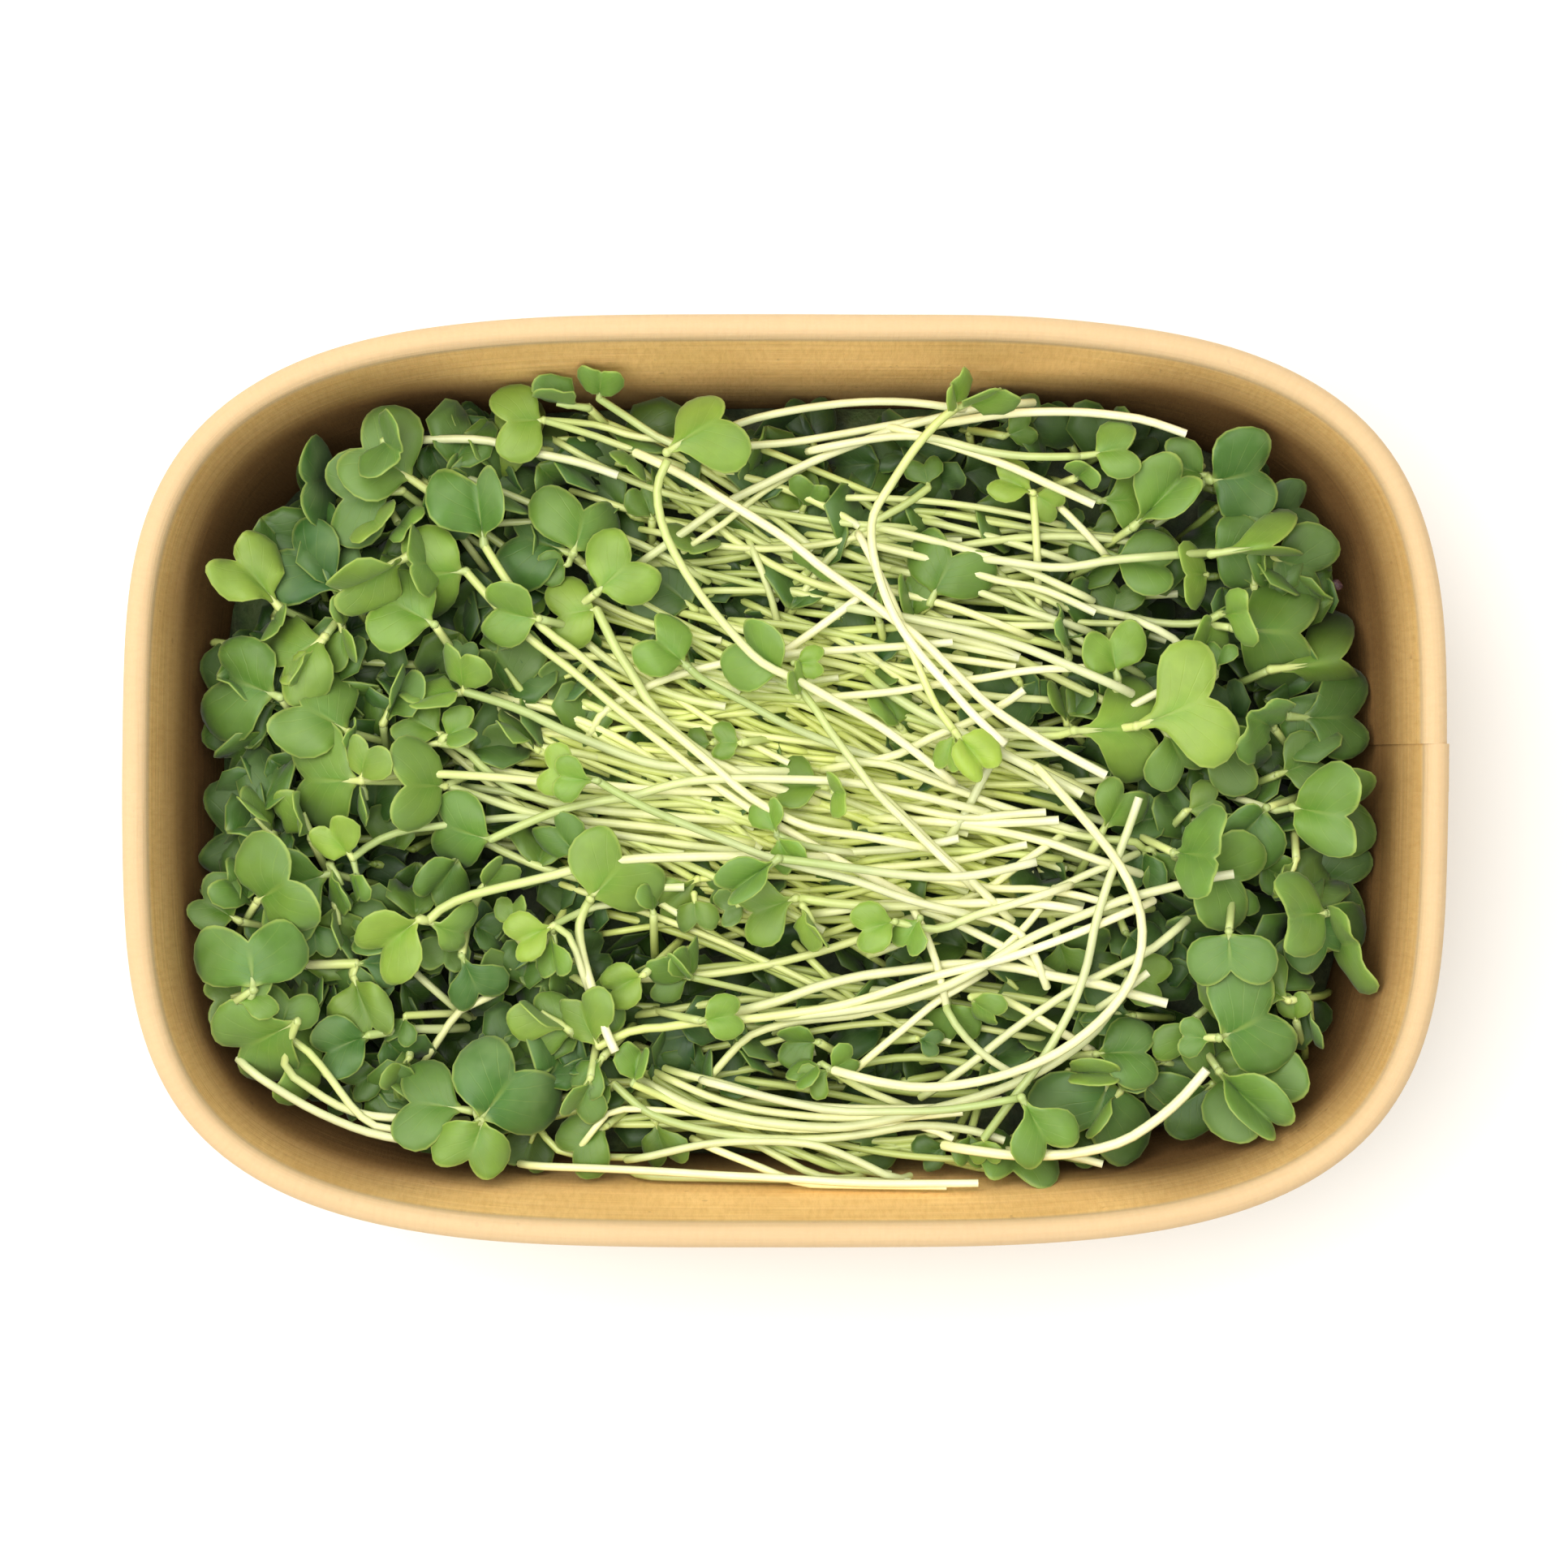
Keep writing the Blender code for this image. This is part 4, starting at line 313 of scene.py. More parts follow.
# Sprouts lying loose on top, one for each loose_sprout node: the leaves, then the stem
SPROUTS = [
    ([(-15.4, 43, 7, 37, 5, 0, 12.6, .5, -30, 20, .35, 1.6)], (.65, 7.5, 12, 0, [(-15.3, 42), (-16.7, 38),
     (-15.5, 32), (-11.5, 25), (-7, 19.5), (-3, 15.5), (2, 13), (7, 10.2), (12, 7.4), (16, 4.6),
     (20, 1.5)])),
    ([(-12.7, 15, 9, 140, 5, 0, 10, 1, 8, 15, .2)], (.6, 9, 12, 0, [(-12.7, 15), (-11, 13.5), (-8, 11.8),
     (-4, 9.7), (0, 7.5), (4, 5.8), (8, 4.3), (12, 3), (17, 1.5), (22, -.5), (28, -3.5)])),
    ([(.3, 13.7, 9, 142, 5, 0, 11.5, 1, 8, 20, .45), (1.2, 15.5, 9, 0, 5, 0, 5, .3, 8, 15, .15), (1.8, 11,
     8.5, 100, 20, 70, 5.5, .5, 10, 10, .3)], (.6, 9, 11, 0, [(.3, 13.7), (2, 12), (4, 9.5), (6, 6.5),
     (9, 2.5), (12, -1.5), (16, -5.5), (19.5, -9), (23, -12.3)])),
    ([(-1, -7.2, 7, 110, 5, -35, 6, .5, 10, 10, .15), (-1, -7.2, 7, -60, 5, 25, 6.5, .5, 10, 10, .12)], (.5,
     7, 9.5, 0, [(-1, -7.2), (3, -8.6), (8, -9.4)])),
    ([(-.8, -10.2, 8.5, 215, 5, 0, 11, 1, 35, 15, .4)], (.65, 9, 9, 1, [(-.8, -10.2), (4, -10.8),
     (10, -11.6), (16, -12.4), (22, -12.6), (27, -12), (33, -10.6)])),
    ([(22.4, 6.4, 7.5, -50, 0, 0, 9, 1, 25, 10, .05), (22.4, 6.4, 8, -105, 5, 40, 6, .5, 15, 10, .3)], (.6,
     8, 12, 0, [(22.4, 6.4), (20, 9.7), (18.3, 13.3), (16, 19), (14, 24), (11, 30)])),
    ([(-25.7, -15.6, 7, 50, 14, 0, 13, .2, -14, 10, .4, .6)], (.7, 9, 6.5, 1, [(-25.5, -15.4),
     (-26.7, -17.5), (-27.2, -20), (-26.5, -24), (-25, -29), (-23.7, -33), (-22.4, -35.9)])),
    ([(-24.5, 0, 9.5, 175, 5, -10, 7, .5, 8, 15, .1), (-24.5, 0, 10.5, 165, 5, 0, 7, 2.5, 8, 15, .15)], (.6,
     10, 12, 0, [(-24.5, 0), (-21.5, -1.8), (-18, -3.6), (-14, -5.3), (-8, -7.7), (-3, -9.7), (3, -11.5),
     (9, -13), (16, -15.5), (22, -17)])),
    ([(22.5, 49, 7, 100, 55, 30, 7, 1, 10, 10, .4), (22.5, 49, 7.5, 15, 40, 55, 9, 2, 10, 15, .4)], (.65,
     7.5, 7.5, 1, [(22.5, 49), (20, 47), (17, 43.5), (14, 39), (11.7, 35), (11.5, 31), (12.5, 26.5),
     (14.5, 21.5), (17.5, 17), (21, 13), (25, 8.5), (29, 4.8)])),
    ([(39, 42.7, 9, 10, 10, 0, 8.5, 2, 10, 15, .4)], (.6, 9, 11, 0, [(39, 42.7), (32, 42.7), (26, 43.5),
     (20, 45), (14, 45.3), (6, 44)])),
    ([(1.5, -15.5, 10, 200, 0, 0, 11, .5, 12, 20, .45), (2.4, -16.5, 9, -65, -5, 65, 8, .5, 10, 15, .25)],
     (.7, 10, 9, 1, [(2, -15.5), (8, -16.3), (14, -16.6), (20, -16.3), (28, -16.1), (34, -16.3),
     (39.3, -17.2)])),
    ([(-11.5, -13, 10.5, 215, 0, 0, 9, .5, 10, 15, .35), (-12, -15, 9.5, -85, 5, 30, 6, 1, 10, 10, .45),
     (-9, -12.5, 12, 165, 0, 40, 5, .5, 15, 10, .6)], (.5, 10.5, 12, 0, [(-11.5, -13), (-4, -12.6),
     (4, -12.9)])),
    ([(-12.6, -26, 9, 140, 30, -50, 8, .5, 10, 15, .35), (-12.6, -26, 9.5, 88, 15, 75, 7, .3, 10, 10, .35),
     (-12.6, -26, 10, 190, 0, -20, 7, .5, 8, 15, .6)], (.5, 10, 12, 0, [(-12.6, -26), (-7, -27.3),
     (-2, -28.4)])),
    ([(-11, -31.5, 10, 10, 0, 0, 7, .5, 8, 15, .2)], None),
    ([(37.5, 7.5, 10.5, 100, 5, 35, 8, .5, 15, 15, .55), (37.5, 7.5, 11, 60, 5, -30, 7, .5, 10, 15, .6)],
     None),
    ([(31, -41.5, 10.5, -60, 0, 0, 12, .5, 8, 20, .35)], (.6, 11, 12, 0, [(31, -41.5), (22, -43),
     (14, -43.3), (5, -43), (-8, -40)])),
    ([(5.6, -.8, 10.5, 178, 0, 0, 8, .8, 8, 15, .5), (6.5, -1.5, 9, 0, 70, 0, 7, .3, 10, 10, .25)], None),
    ([(32.8, 38, 11, 155, 5, 0, 7.5, .5, 8, 10, .15), (32.8, 38, 11.5, -30, 5, 0, 5, .5, 8, 10, .15)], (.6,
     11.5, 14, 0, [(32.8, 38), (33.3, 30), (33.5, 24)])),
    ([(19.3, 23.6, 7.6, 66, 5, -14, 12, 1.4, 0, 15, .4, .6), (17.4, 21.3, 8.6, 106, 5, 0, 9, .5, 20, 10,
     .2), (19, 22, 13, 20, 0, 0, 5, .5, 8, 10, .5)], None),
    ([(2.3, 35.5, 11, 105, 5, 0, 8, .5, 8, 15, .15), (2.3, 35.8, 11, 60, 50, 20, 6, 1, 10, 10, .2)], (.5,
     11.5, 14, 0, [(2.3, 35.5), (2, 31), (1, 26), (0, 20)])),
    ([(14.5, -18.5, 10, 195, 0, 0, 7.5, .3, 8, 15, .15), (17.8, -18, 10, 240, 0, 30, 6, .3, 10, 10, .2)],
     (.6, 10.5, 11, 0, [(14.5, -18.5), (20, -19.5), (25, -17.7), (30, -16.2), (35, -14.6)])),
]

# Stems: radius, depth at the start, depth at the end, which end shows its cut (1 last, -1 first, 0 neither),
# then the points seen from above
STEMS = [
    (.6, 12.5, 16, 0, [(-52, 44), (-48, 40), (-45, 35.5), (-41, 30)]),
    (.6, 14, 17, 0, [(-50.5, 38.3), (-46, 35), (-40, 31)]),
    (.6, 12, 12, 0, [(-24.5, 50.5), (-20, 47.5), (-16, 45), (-8, 42)]),
    (.55, 12.5, 13.5, 0, [(-32, 47.5), (-25, 45.5), (-21, 44), (-15, 42)]),
    (.55, 14, 13, 0, [(-31.5, 48.7), (-25, 47), (-20, 45.5), (-16, 45)]),
    (.65, 12, 11, 1, [(-48, 45), (-40, 45), (-33, 43.3), (-27, 42), (-22, 40.3)]),
    (.65, 12, 10.5, 0, [(-39.5, 31), (-36, 25.5), (-32, 20.3), (-27, 16.5), (-21, 11.3), (-16, 7.5),
     (-10, 2.5), (-4, -2.5), (3, -6), (10, -7.2), (17, -8.5)]),
    (.65, 11, 11.5, 0, [(-42, 28), (-37, 22), (-33.5, 18.7), (-28, 14.5), (-22, 9.5), (-16, 4.8), (-10, 0),
     (-4, -4), (3, -8), (9, -11.5), (16, -15)]),
    (.75, 9.5, 12, 0, [(-24, 21), (-22, 17), (-20, 14), (-18, 10.5), (-14, 6), (-9, 2.5), (-4, 0),
     (2, -2)]),
    (.7, 9.5, 12, 0, [(-42.3, 11.8), (-38, 10.5), (-34, 9), (-30, 7), (-26, 5.3), (-20, 3), (-16, 2),
     (-8, 1.5), (0, 1.2)]),
    (.65, 8.8, 9, 0, [(-38.7, -7.7), (-35, -6), (-30, -4), (-25, -2.8), (-20, -2), (-16, -.8), (-12, 0),
     (-6, .3), (0, .2), (6, 0), (12, -.7), (18, -2), (24, -3.5)]),
    (.6, 13, 8.5, 1, [(-25.5, 6.5), (-24, 9), (-21, 11), (-18, 12.5), (-14, 14), (-8, 15.5), (0, 16.7),
     (8, 17.3), (16, 17.8), (22.2, 18.3)]),
    (.65, 10.5, 13, 0, [(-45, 5.2), (-42.5, 4.3), (-39.5, 1.5), (-36, -1), (-30, -3), (-24, -3.9),
     (-16, -4.6), (-8, -5.2)]),
    (.65, 8, 13, 0, [(-55.7, 0), (-52, .7), (-46, .9), (-40, .6), (-36, .3), (-30, -.3), (-24, -.6),
     (-17, -1.2), (-8, -1.5)]),
    (.65, 10, 13, 0, [(-54, -.2), (-47, -.2), (-42, -1.5), (-36, -3.5), (-31, -4.8), (-24, -5.5),
     (-16, -6.3), (-6, -8)]),
    (.6, 8.5, 13, 0, [(-57, -10.2), (-54, -8), (-50, -6.5), (-46, -6), (-40, -5.2), (-33, -4.9),
     (-24, -6.8), (-14, -8.3), (-6, -9.3)]),
    (.7, 9, 11.5, 0, [(-47.3, -18.2), (-45, -16.7), (-42, -15.3), (-38, -14.2), (-34, -13.3), (-30, -12.3),
     (-26, -11.3), (-20, -10.3), (-12, -10), (-4, -9.9), (4, -10)]),
    (.65, 15.5, 9.5, 1, [(-22, -9.7), (-14, -9.5), (-6, -9.8), (2, -9.9), (10, -9.3), (17, -8.8),
     (23, -7.6)]),
    (.55, 9.5, 10, 0, [(-30.3, -19), (-28.5, -20.3), (-27.3, -23), (-26.7, -25)]),
    (.55, 11.5, 13, 0, [(-30.5, -19), (-27, -17.3), (-24.5, -16.5), (-20, -15.9)]),
    (.65, 11, 8.5, 0, [(-23.5, -33.3), (-20, -32.9), (-16, -32.5), (-11, -31.8), (-5, -31.4), (0, -30.8),
     (6, -29.9), (11, -28.6), (16, -26.9), (21, -25.4), (27, -24), (32, -22.5), (39, -19.9), (46, -17)]),
    (.6, 13, 9.5, 0, [(-9.3, -38.5), (-6, -34.8), (-3, -32.9), (3, -31.6), (9, -31), (14, -29.7),
     (20, -27.7), (25, -25.3), (29, -22), (32, -19), (34, -16.5)]),
    (.75, 12, 9, 1, [(-5, -30.2), (0, -28.8), (4, -27.3), (10, -25.8), (16, -25), (23, -24.2), (30, -24.6),
     (36, -25.9), (42, -27), (46, -28.2), (50.5, -29.4)]),
    (.7, 6.5, 9.5, -1, [(59.3, -12.3), (55, -13), (50, -14.3), (46, -15.3), (42, -16.7), (37, -18.7),
     (32, -21), (27, -24), (22, -26.8), (16, -28.9), (9, -30.2), (2, -31)]),
    (.7, 7.5, 9, 0, [(35.3, -.5), (38, -3.5), (41, -7), (44, -11), (46, -15), (47, -19), (46.6, -23.5),
     (44.5, -28), (41, -32), (36, -35.7), (30, -38.3), (24, -39.8), (18, -40.3), (13, -39.7),
     (9.5, -38.9)]),
    (.7, 8.5, 12, 0, [(44, -28.7), (41, -33), (37, -36.3), (33, -38.7), (28, -40.9), (22, -42.7),
     (16, -44.2), (8, -45.7), (0, -45.4), (-6, -44.5), (-12, -43), (-17, -40.6)]),
    (.65, 5.5, 8.5, -1, [(46.8, -2.2), (45.5, -6), (44, -10), (42.5, -14), (41, -19), (40, -24),
     (38.3, -29), (36, -33.5), (33.5, -37.5), (30.5, -41.5), (27, -45.7)]),
    (.7, 9, 8, 1, [(-17, 42), (-13, 40), (-8, 37), (0, 32), (5, 28), (10, 24.5), (14, 21.5), (18, 18.5),
     (22, 14.6), (27, 9.8), (33, 5.8), (38, 3), (42.3, .7)]),
    (.75, 11, 7.5, 1, [(9, 14.5), (14, 11.5), (18, 9), (23, 6.5), (28, 4), (33, 1.5), (39.3, -1.8)]),
    (.65, 11, 8.5, 1, [(8, 2), (14, 3.2), (17, 4.5), (20, 6), (25, 8), (29, 10.2), (31.6, 12)]),
    (.6, 12, 10, 0, [(6, 11), (14, 11.7), (20, 12.7), (26, 13.5), (32, 14.5), (37.5, 14.8)]),
    (.7, 12, 9.5, 0, [(10, 22.5), (18, 21), (25, 19.5), (31, 17.7), (36, 15.7), (43, 12.7)]),
    (.6, 10, 12, 0, [(10, 2.5), (14, 2), (18, .5), (22, -1), (27, -2.8), (33, -4.8), (38, -6.5)]),
    (.65, 10, 9, 0, [(10, 1), (14, -3), (17, -6), (21, -10), (25, -13.5), (28, -16.5)]),
    (.65, 12, 9, 0, [(22, -7), (24, -4), (26, 0), (28.3, 4)]),
    (.6, 11.5, 10, 1, [(16, -3.4), (23.5, -4.8), (30, -4.4), (34.5, -4.1)]),
    (.7, 12, 10.5, 1, [(14, -5), (24, -5.6), (30, -5.5), (36.2, -5.2)]),
    (.6, 12.5, 11, 1, [(12, -11.5), (18, -11), (24, -10.3), (28, -9.2), (32, -8.4)]),
    (.65, 12, 10.5, 0, [(23, -5.8), (29, -6.8), (35, -8.2), (40, -10), (44.3, -11.4)]),
    (.6, 12, 10.5, 1, [(20, -13), (27.5, -14.2), (33, -14.3), (38, -15), (42, -16)]),
    (.65, 11, 9, 0, [(6, -17.3), (14, -16.2), (20, -16.9), (26, -17.9), (30.5, -19.7), (32.5, -22),
     (33.6, -24.6)]),
    (.6, 10.5, 12, 0, [(44, -10.7), (40, -12.3), (35, -14.6), (30, -16.2), (25, -17.7), (20, -19.5),
     (14, -22)]),
    (.6, 11, 13, 0, [(34.5, -8.7), (31, -11), (27.5, -13.8), (23, -16)]),
    (.75, 6, 11, -1, [(55.5, -38), (52, -42), (48, -45.3), (44, -47.6), (38, -49), (31, -49.3),
     (24, -48.5)]),
    (.6, 12.5, 11.5, 1, [(30, -48.8), (37, -49.4), (42, -50.6)]),
    (.6, 9.5, 10.5, 0, [(20.8, -27.5), (21.5, -30.5), (24, -34), (27, -36.7), (29.7, -38.4)]),
    (.6, 11, 10, 0, [(17, -17), (18.5, -20), (20, -24), (20.8, -27.3)]),
    (.65, 9, 11, 0, [(51, -20.2), (48, -22.5), (43, -25), (39, -27), (35, -29.5), (30, -33), (25, -37),
     (20.5, -40.2)]),
    (.65, 10.5, 10.5, 0, [(24, -26.6), (28, -28.5), (33, -31), (38.2, -34.2)]),
    (.6, 8, 7.5, 1, [(44, -28.3), (48, -25.3)]),
    (.65, 11, 10, 0, [(18, -17), (22, -18.5), (26, -20.5), (30, -22.5), (33.2, -24.3)]),
    (.6, 12.5, 10.5, 1, [(-13, -38.8), (-8, -40), (-2, -41.8), (5, -43), (14, -43.3), (22, -43),
     (28.7, -42.1)]),
    (.6, 13, 11, 1, [(-14.5, -39.7), (-9, -42), (-3, -43.5), (5, -44.4), (14, -44.5), (23.5, -43.7)]),
    (.65, 12, 11.5, 1, [(-22.5, -41.8), (-18, -43.8), (-12, -45.8), (-5, -47), (3, -47.3), (10, -46.7),
     (17, -45.5), (24, -46), (29, -47.5)]),
    (.6, 13, 12, 0, [(-18, -49.5), (-10, -47.8), (-2, -47.5), (4, -48), (9, -49.8), (14.3, -52.3)]),
    (.6, 12, 9.5, 1, [(-9.5, -48.5), (-4, -50.7), (2, -53), (8, -54.5), (15, -55.3), (22.3, -55.8)]),
    (.6, 13.5, 11, 1, [(-32, -50.7), (-24, -51), (-16, -51.4), (-8, -51.9), (0, -52.3), (10, -52.9),
     (19, -53.3), (26, -54)]),
    (.6, 14, 11.5, 1, [(-18, -52.4), (-8, -53), (4, -53.7), (11, -54), (17, -54)]),
    (.55, 13.5, 15, 0, [(-34, -47), (-30, -48.7), (-26, -49.5), (-20, -49.7)]),
    (.6, 14, 13, 0, [(-4, -47.8), (0, -50), (4, -52), (8, -53)]),
    (.6, 11.5, 12, 1, [(-19.5, -40), (-15.5, -42), (-11, -44), (-5, -45.3), (3, -46), (11, -45.5),
     (18, -45.6), (22.2, -47.3)]),
    (.5, 11, 13, 0, [(-25.5, -46.5), (-23.5, -44), (-20.5, -43.3), (-15, -43.6), (-9, -44.2), (-2, -44.8)]),
    (.6, 12, 12, 0, [(6, -38.5), (10, -40.5), (14.5, -42.4)]),
    (.6, 12, 10, 0, [(9.7, -37.8), (12, -35.8), (16, -32.5), (20.5, -28.8), (24, -26.8)]),
    (.65, 8.5, 13, 0, [(-68.7, -34.3), (-66, -37.5), (-62, -41), (-58, -43.3), (-54, -44.3), (-50, -44.5),
     (-45, -44.8)]),
    (.6, 9, 13, 0, [(-66, -33.3), (-63, -35.5), (-60, -39), (-57, -43), (-54, -45.5), (-50, -46),
     (-45, -46.3)]),
    (.65, 10, 13, 0, [(-69.8, -38.5), (-66, -41), (-62, -43.3), (-57, -45.5), (-53, -46.7), (-48, -47.5),
     (-43, -47.7)]),
    (.75, 14, 16, 0, [(-56.3, -24), (-63, -24.2)]),
    (.7, 12.5, 15, 0, [(-54.5, -33.4), (-50, -32.8), (-45, -32.7)]),
    (.6, 13, 15, 0, [(-50.5, -29.5), (-44, -30.7)]),
    (.6, 13, 14, 0, [(-48, -26), (-44, -29.5)]),
    (.6, 15, 13, 0, [(-46.5, -35.5), (-43, -30.5), (-40, -29)]),
    (.6, 11, 9, 0, [(-10.5, 45.3), (-5, 47.5), (0, 48.7), (5, 49.5), (10, 50), (16, 50), (22, 49.3)]),
    (.6, 12, 11, 0, [(-8.5, 44), (0, 44.6), (6, 45.5), (16, 47.3)]),
    (.65, 12, 10, 0, [(-18, 29.5), (-13, 33), (-8, 36.5), (-2, 39.5), (4, 42.3), (10, 44.7), (16, 46.8),
     (25, 49), (30, 49.7)]),
    (.6, 12, 14, 0, [(19, 38.7), (16, 36.5), (10, 33), (5, 28.5), (2, 24)]),
    (.65, 9, 9, 1, [(22, 47.3), (30, 48.5), (38, 48.7), (44, 48.2), (48, 47.5), (53, 45.8)]),
    (.65, 10, 10, 1, [(16, 46), (24, 43.5), (30, 41.3), (35, 39), (40.8, 36.4)]),
    (.6, 12, 13, 0, [(36.8, 35.7), (39.5, 33), (42, 30.2)]),
    (.65, 9.5, 13, 0, [(57, 30), (49, 29.5), (43, 29), (36, 28), (28, 29)]),
    (.6, 12.5, 15, 0, [(56.7, 40.7), (52, 36), (46, 32)]),
    (.6, 13, 15, 0, [(53.5, 39.5), (51, 36.5), (47, 34)]),
    (.6, 13, 12, 0, [(14, 33), (22, 31), (30, 28.5), (38, 25)]),
    (.6, 12, 11, 1, [(12, 31), (20, 29), (28, 26.5), (34, 25.3), (41, 22.2)]),
    (.6, 13, 12, 0, [(16, 27.5), (24, 25.5), (32, 22.5), (38, 20.5)]),
    (.6, 13, 12, 0, [(14, 25), (22, 23), (30, 20)]),
    (.6, 14, 13, 0, [(20, 34), (28, 32), (36, 29.5)]),
    (.6, 12, 11, 1, [(22, 18), (31, 16.2)]),
    (.6, 12.5, 11.5, 1, [(20, 16.5), (30.5, 15)]),
    (.6, 11.5, 11, 1, [(18, 20), (28, 17.5), (31, 16.3)]),
    (.5, 11.5, 13, 0, [(-11, 32), (-8, 34), (-3, 38), (2, 41)]),
    (.55, 12.5, 14, 0, [(-3.8, 29.5), (-2, 25), (-1, 21)]),
    (.65, 10, 12, -1, [(10.5, 24.7), (3.5, 19.5), (-3, 15)]),
    (.6, 11.5, 13, 0, [(57.5, 22), (55, 20.8), (50, 20.8), (46, 21.5), (40, 23)]),
    (.6, 10, 11, 0, [(48, 20.5), (51, 19), (53.5, 16.5)]),
    (.65, 7.5, 13, 0, [(46.6, 7.3), (43.5, 6.8), (39, 6.2), (34, 6.5), (28, 5.5)]),
    (.6, 7, 12, 0, [(38.2, 6.4), (35.5, 5.9), (30, 6), (26, 6.3), (20, 5.5)]),
    (.55, 11, 12, 0, [(37.5, 7.5), (33, 6.7), (29, 6.5)]),
    (.6, 11, 13, 0, [(48, -8.5), (46, -8), (40, -7.4), (34, -6), (28, -5)]),
    (.6, 10.5, 9.5, 1, [(44, 8.5), (47, 10.5), (51, 12.5)]),
    (.55, 13, 15, 0, [(69.5, 9), (67, 9), (63, 8)]),
    (.55, 10, 11.5, 0, [(68, -3.7), (65, -4), (62, -3)]),
    (.6, 12, 13.5, 0, [(56.5, -7), (60, -9.5), (63, -12)]),
]

# Filling that shows only in the gaps: the packed bed, layers of strewn leaves (low x, high x, depth),
# and stems under the mat (low x, high x, low y, high y, direction, count, upper depth, lower depth)
BED_DEPTH = 25.0
BED_GAP = 0.8
BED_SPOKES = 72
BED_RINGS = 12
BED_BUMP = 1.3
BED_GRAIN = 0.16
SHEET_STEP = 3.0
SHEET_MARGIN = 3.0
STREWN_ROW = (0, 0, 30.0, 90, 0, 0, 11.0, 0, 22, 30, 1.0)
STREWN_DETAIL = (3, 3)
STREWN_SEED = 31
FILL_ZONES = [(-84, -18, 23), (-84, -20, 19), (-84, -24, 16.5), (-20, 42, 22), (-20, 44, 18), (38, 84, 23),
              (42, 84, 19), (46, 84, 16.5)]
HIDDEN_BANDS = [
    (-8, 38, 14, 36, -10, 60, 13, 17),
    (-30, 30, -14, 15, -13, 150, 12.6, 17),
    (-26, 36, -14, 15, -13, 90, 16.5, 19.5),
    (-18, 36, -36, -13, -2, 30, 13.2, 18),
    (-26, 26, -50, -35, -5, 20, 13.2, 17.5),
    (-30, 10, 14, 44, -26, 26, 13.5, 17.5),
    (-62, -28, -34, 20, -10, 8, 16, 19),
]
HIDDEN_SPREAD = 9.0
HIDDEN_LENGTH = (18.0, 38.0)
HIDDEN_BOW = 0.09
HIDDEN_FALL = 1.5
HIDDEN_RADIUS = (0.5, 0.66)
HIDDEN_STEPS = 5

# Seed hull
HULL_PLACE = (73.3, 26.0)
HULL_RADIUS = 0.78
HULL_FORM = (1.15, 1.0, 0.7)
HULL_RINGS = 8
HULL_SIDES = 14
HULL_DENT = 0.22
HULL_DENT_TURN = 0.6
HULL_ROUGH = 0.06
HULL_SUNK = 16.0
HULL_RISE = 0.45
HULL_DROP = 0.1

# Stage, in metres
WINDOW_PLACE = (-0.33, 0.13, 1.0)
WINDOW_AIM = (0.0, 0.0, 0.03)
WINDOW_SIZE = 1.0
WINDOW_COLOUR = (1.0, 0.985, 0.95)
ROOM_COLOUR = (1.0, 0.995, 0.975, 1.0)
TABLE_HALF = 4.0
TABLE_DROP = -0.0002
CAMERA_SHIFT = (-0.00008, -0.00042)
SENSOR_WIDTH = 36.0
CLIP_START = 0.05

# Colours
# Paler colour of the rolled rim: partly the stretched paper, partly a painted highlight
PALE_RIM_HIGHLIGHT = (0.645, 0.468, 0.272, 1.0)
# Painted light that brightens the inner wall
INNER_WALL_LIGHT = (1.45, 1.39, 1.22, 1.0)
# Painted shade on the lower inner wall
WALL_PAINTED_SHADE = (0.22, 0.175, 0.115, 1.0)
PAPER_STREAK = (0.70, 0.48, 0.25, 1.0)
PAPER_FLECK = (0.22, 0.11, 0.04, 1.0)
# Painted shade in a blade's valley along the midrib
LEAF_VALLEY_SHADE = (0.62, 0.86, 0.40, 1.0)
SHADED_LEAF = (0.19, 0.24, 0.13, 1.0)
SHADED_STEM = (0.42, 0.50, 0.28, 1.0)
# Painted glow, as of light scattered through the mat, for sunk stems on the flanks
FLANK_PAINTED_GLOW = (0.76, 0.81, 0.28, 1.0)
STEM_FLECK = (0.52, 0.50, 0.20, 1.0)
CUT_WHITE = (0.80, 0.79, 0.60, 1.0)
# The bed's colours: the very dark one is painted shade of the deep gaps
BED_COLOURS_IN_SHADE = [(0.016, 0.028, 0.009, 1.0), (0.050, 0.095, 0.022, 1.0), (0.13, 0.14, 0.05, 1.0)]
HULL_SKIN = [(0.035, 0.014, 0.02, 1.0), (0.12, 0.06, 0.05, 1.0)]
TABLE_WHITE = [(0.93, 0.925, 0.905, 1.0), (0.92, 0.915, 0.89, 1.0)]

# Heights above the foot and distances from the middle, in metres, between which painted light, painted shade
# and the rim's paler colour change
STEM_PAINTED_LIGHT = (0.0335, 0.0400)
LEAF_SHADE = (0.0310, 0.0430)
WALL_SHADE_HEIGHTS = (0.0365, 0.0535)
HEAP_SHADE_RISE = 0.016
ROLLED_RIM = (0.0477, 0.0487)
HEAP_RUN = (0.020, 0.056)
MAT_EDGE = (0.028, 0.044)
MAT_FLANK = (0.014, 0.026)


def length_setting(label, note, default, least=0.0):
    """A length, given in millimetres."""
    return FloatProperty(name=label, description=note, default=default * MM, min=least * MM, unit="LENGTH",
                         subtype="DISTANCE", precision=5)


def colour_setting(label, note, *default):
    return FloatVectorProperty(name=label, description=note, default=default, subtype="COLOR", min=0, max=1)


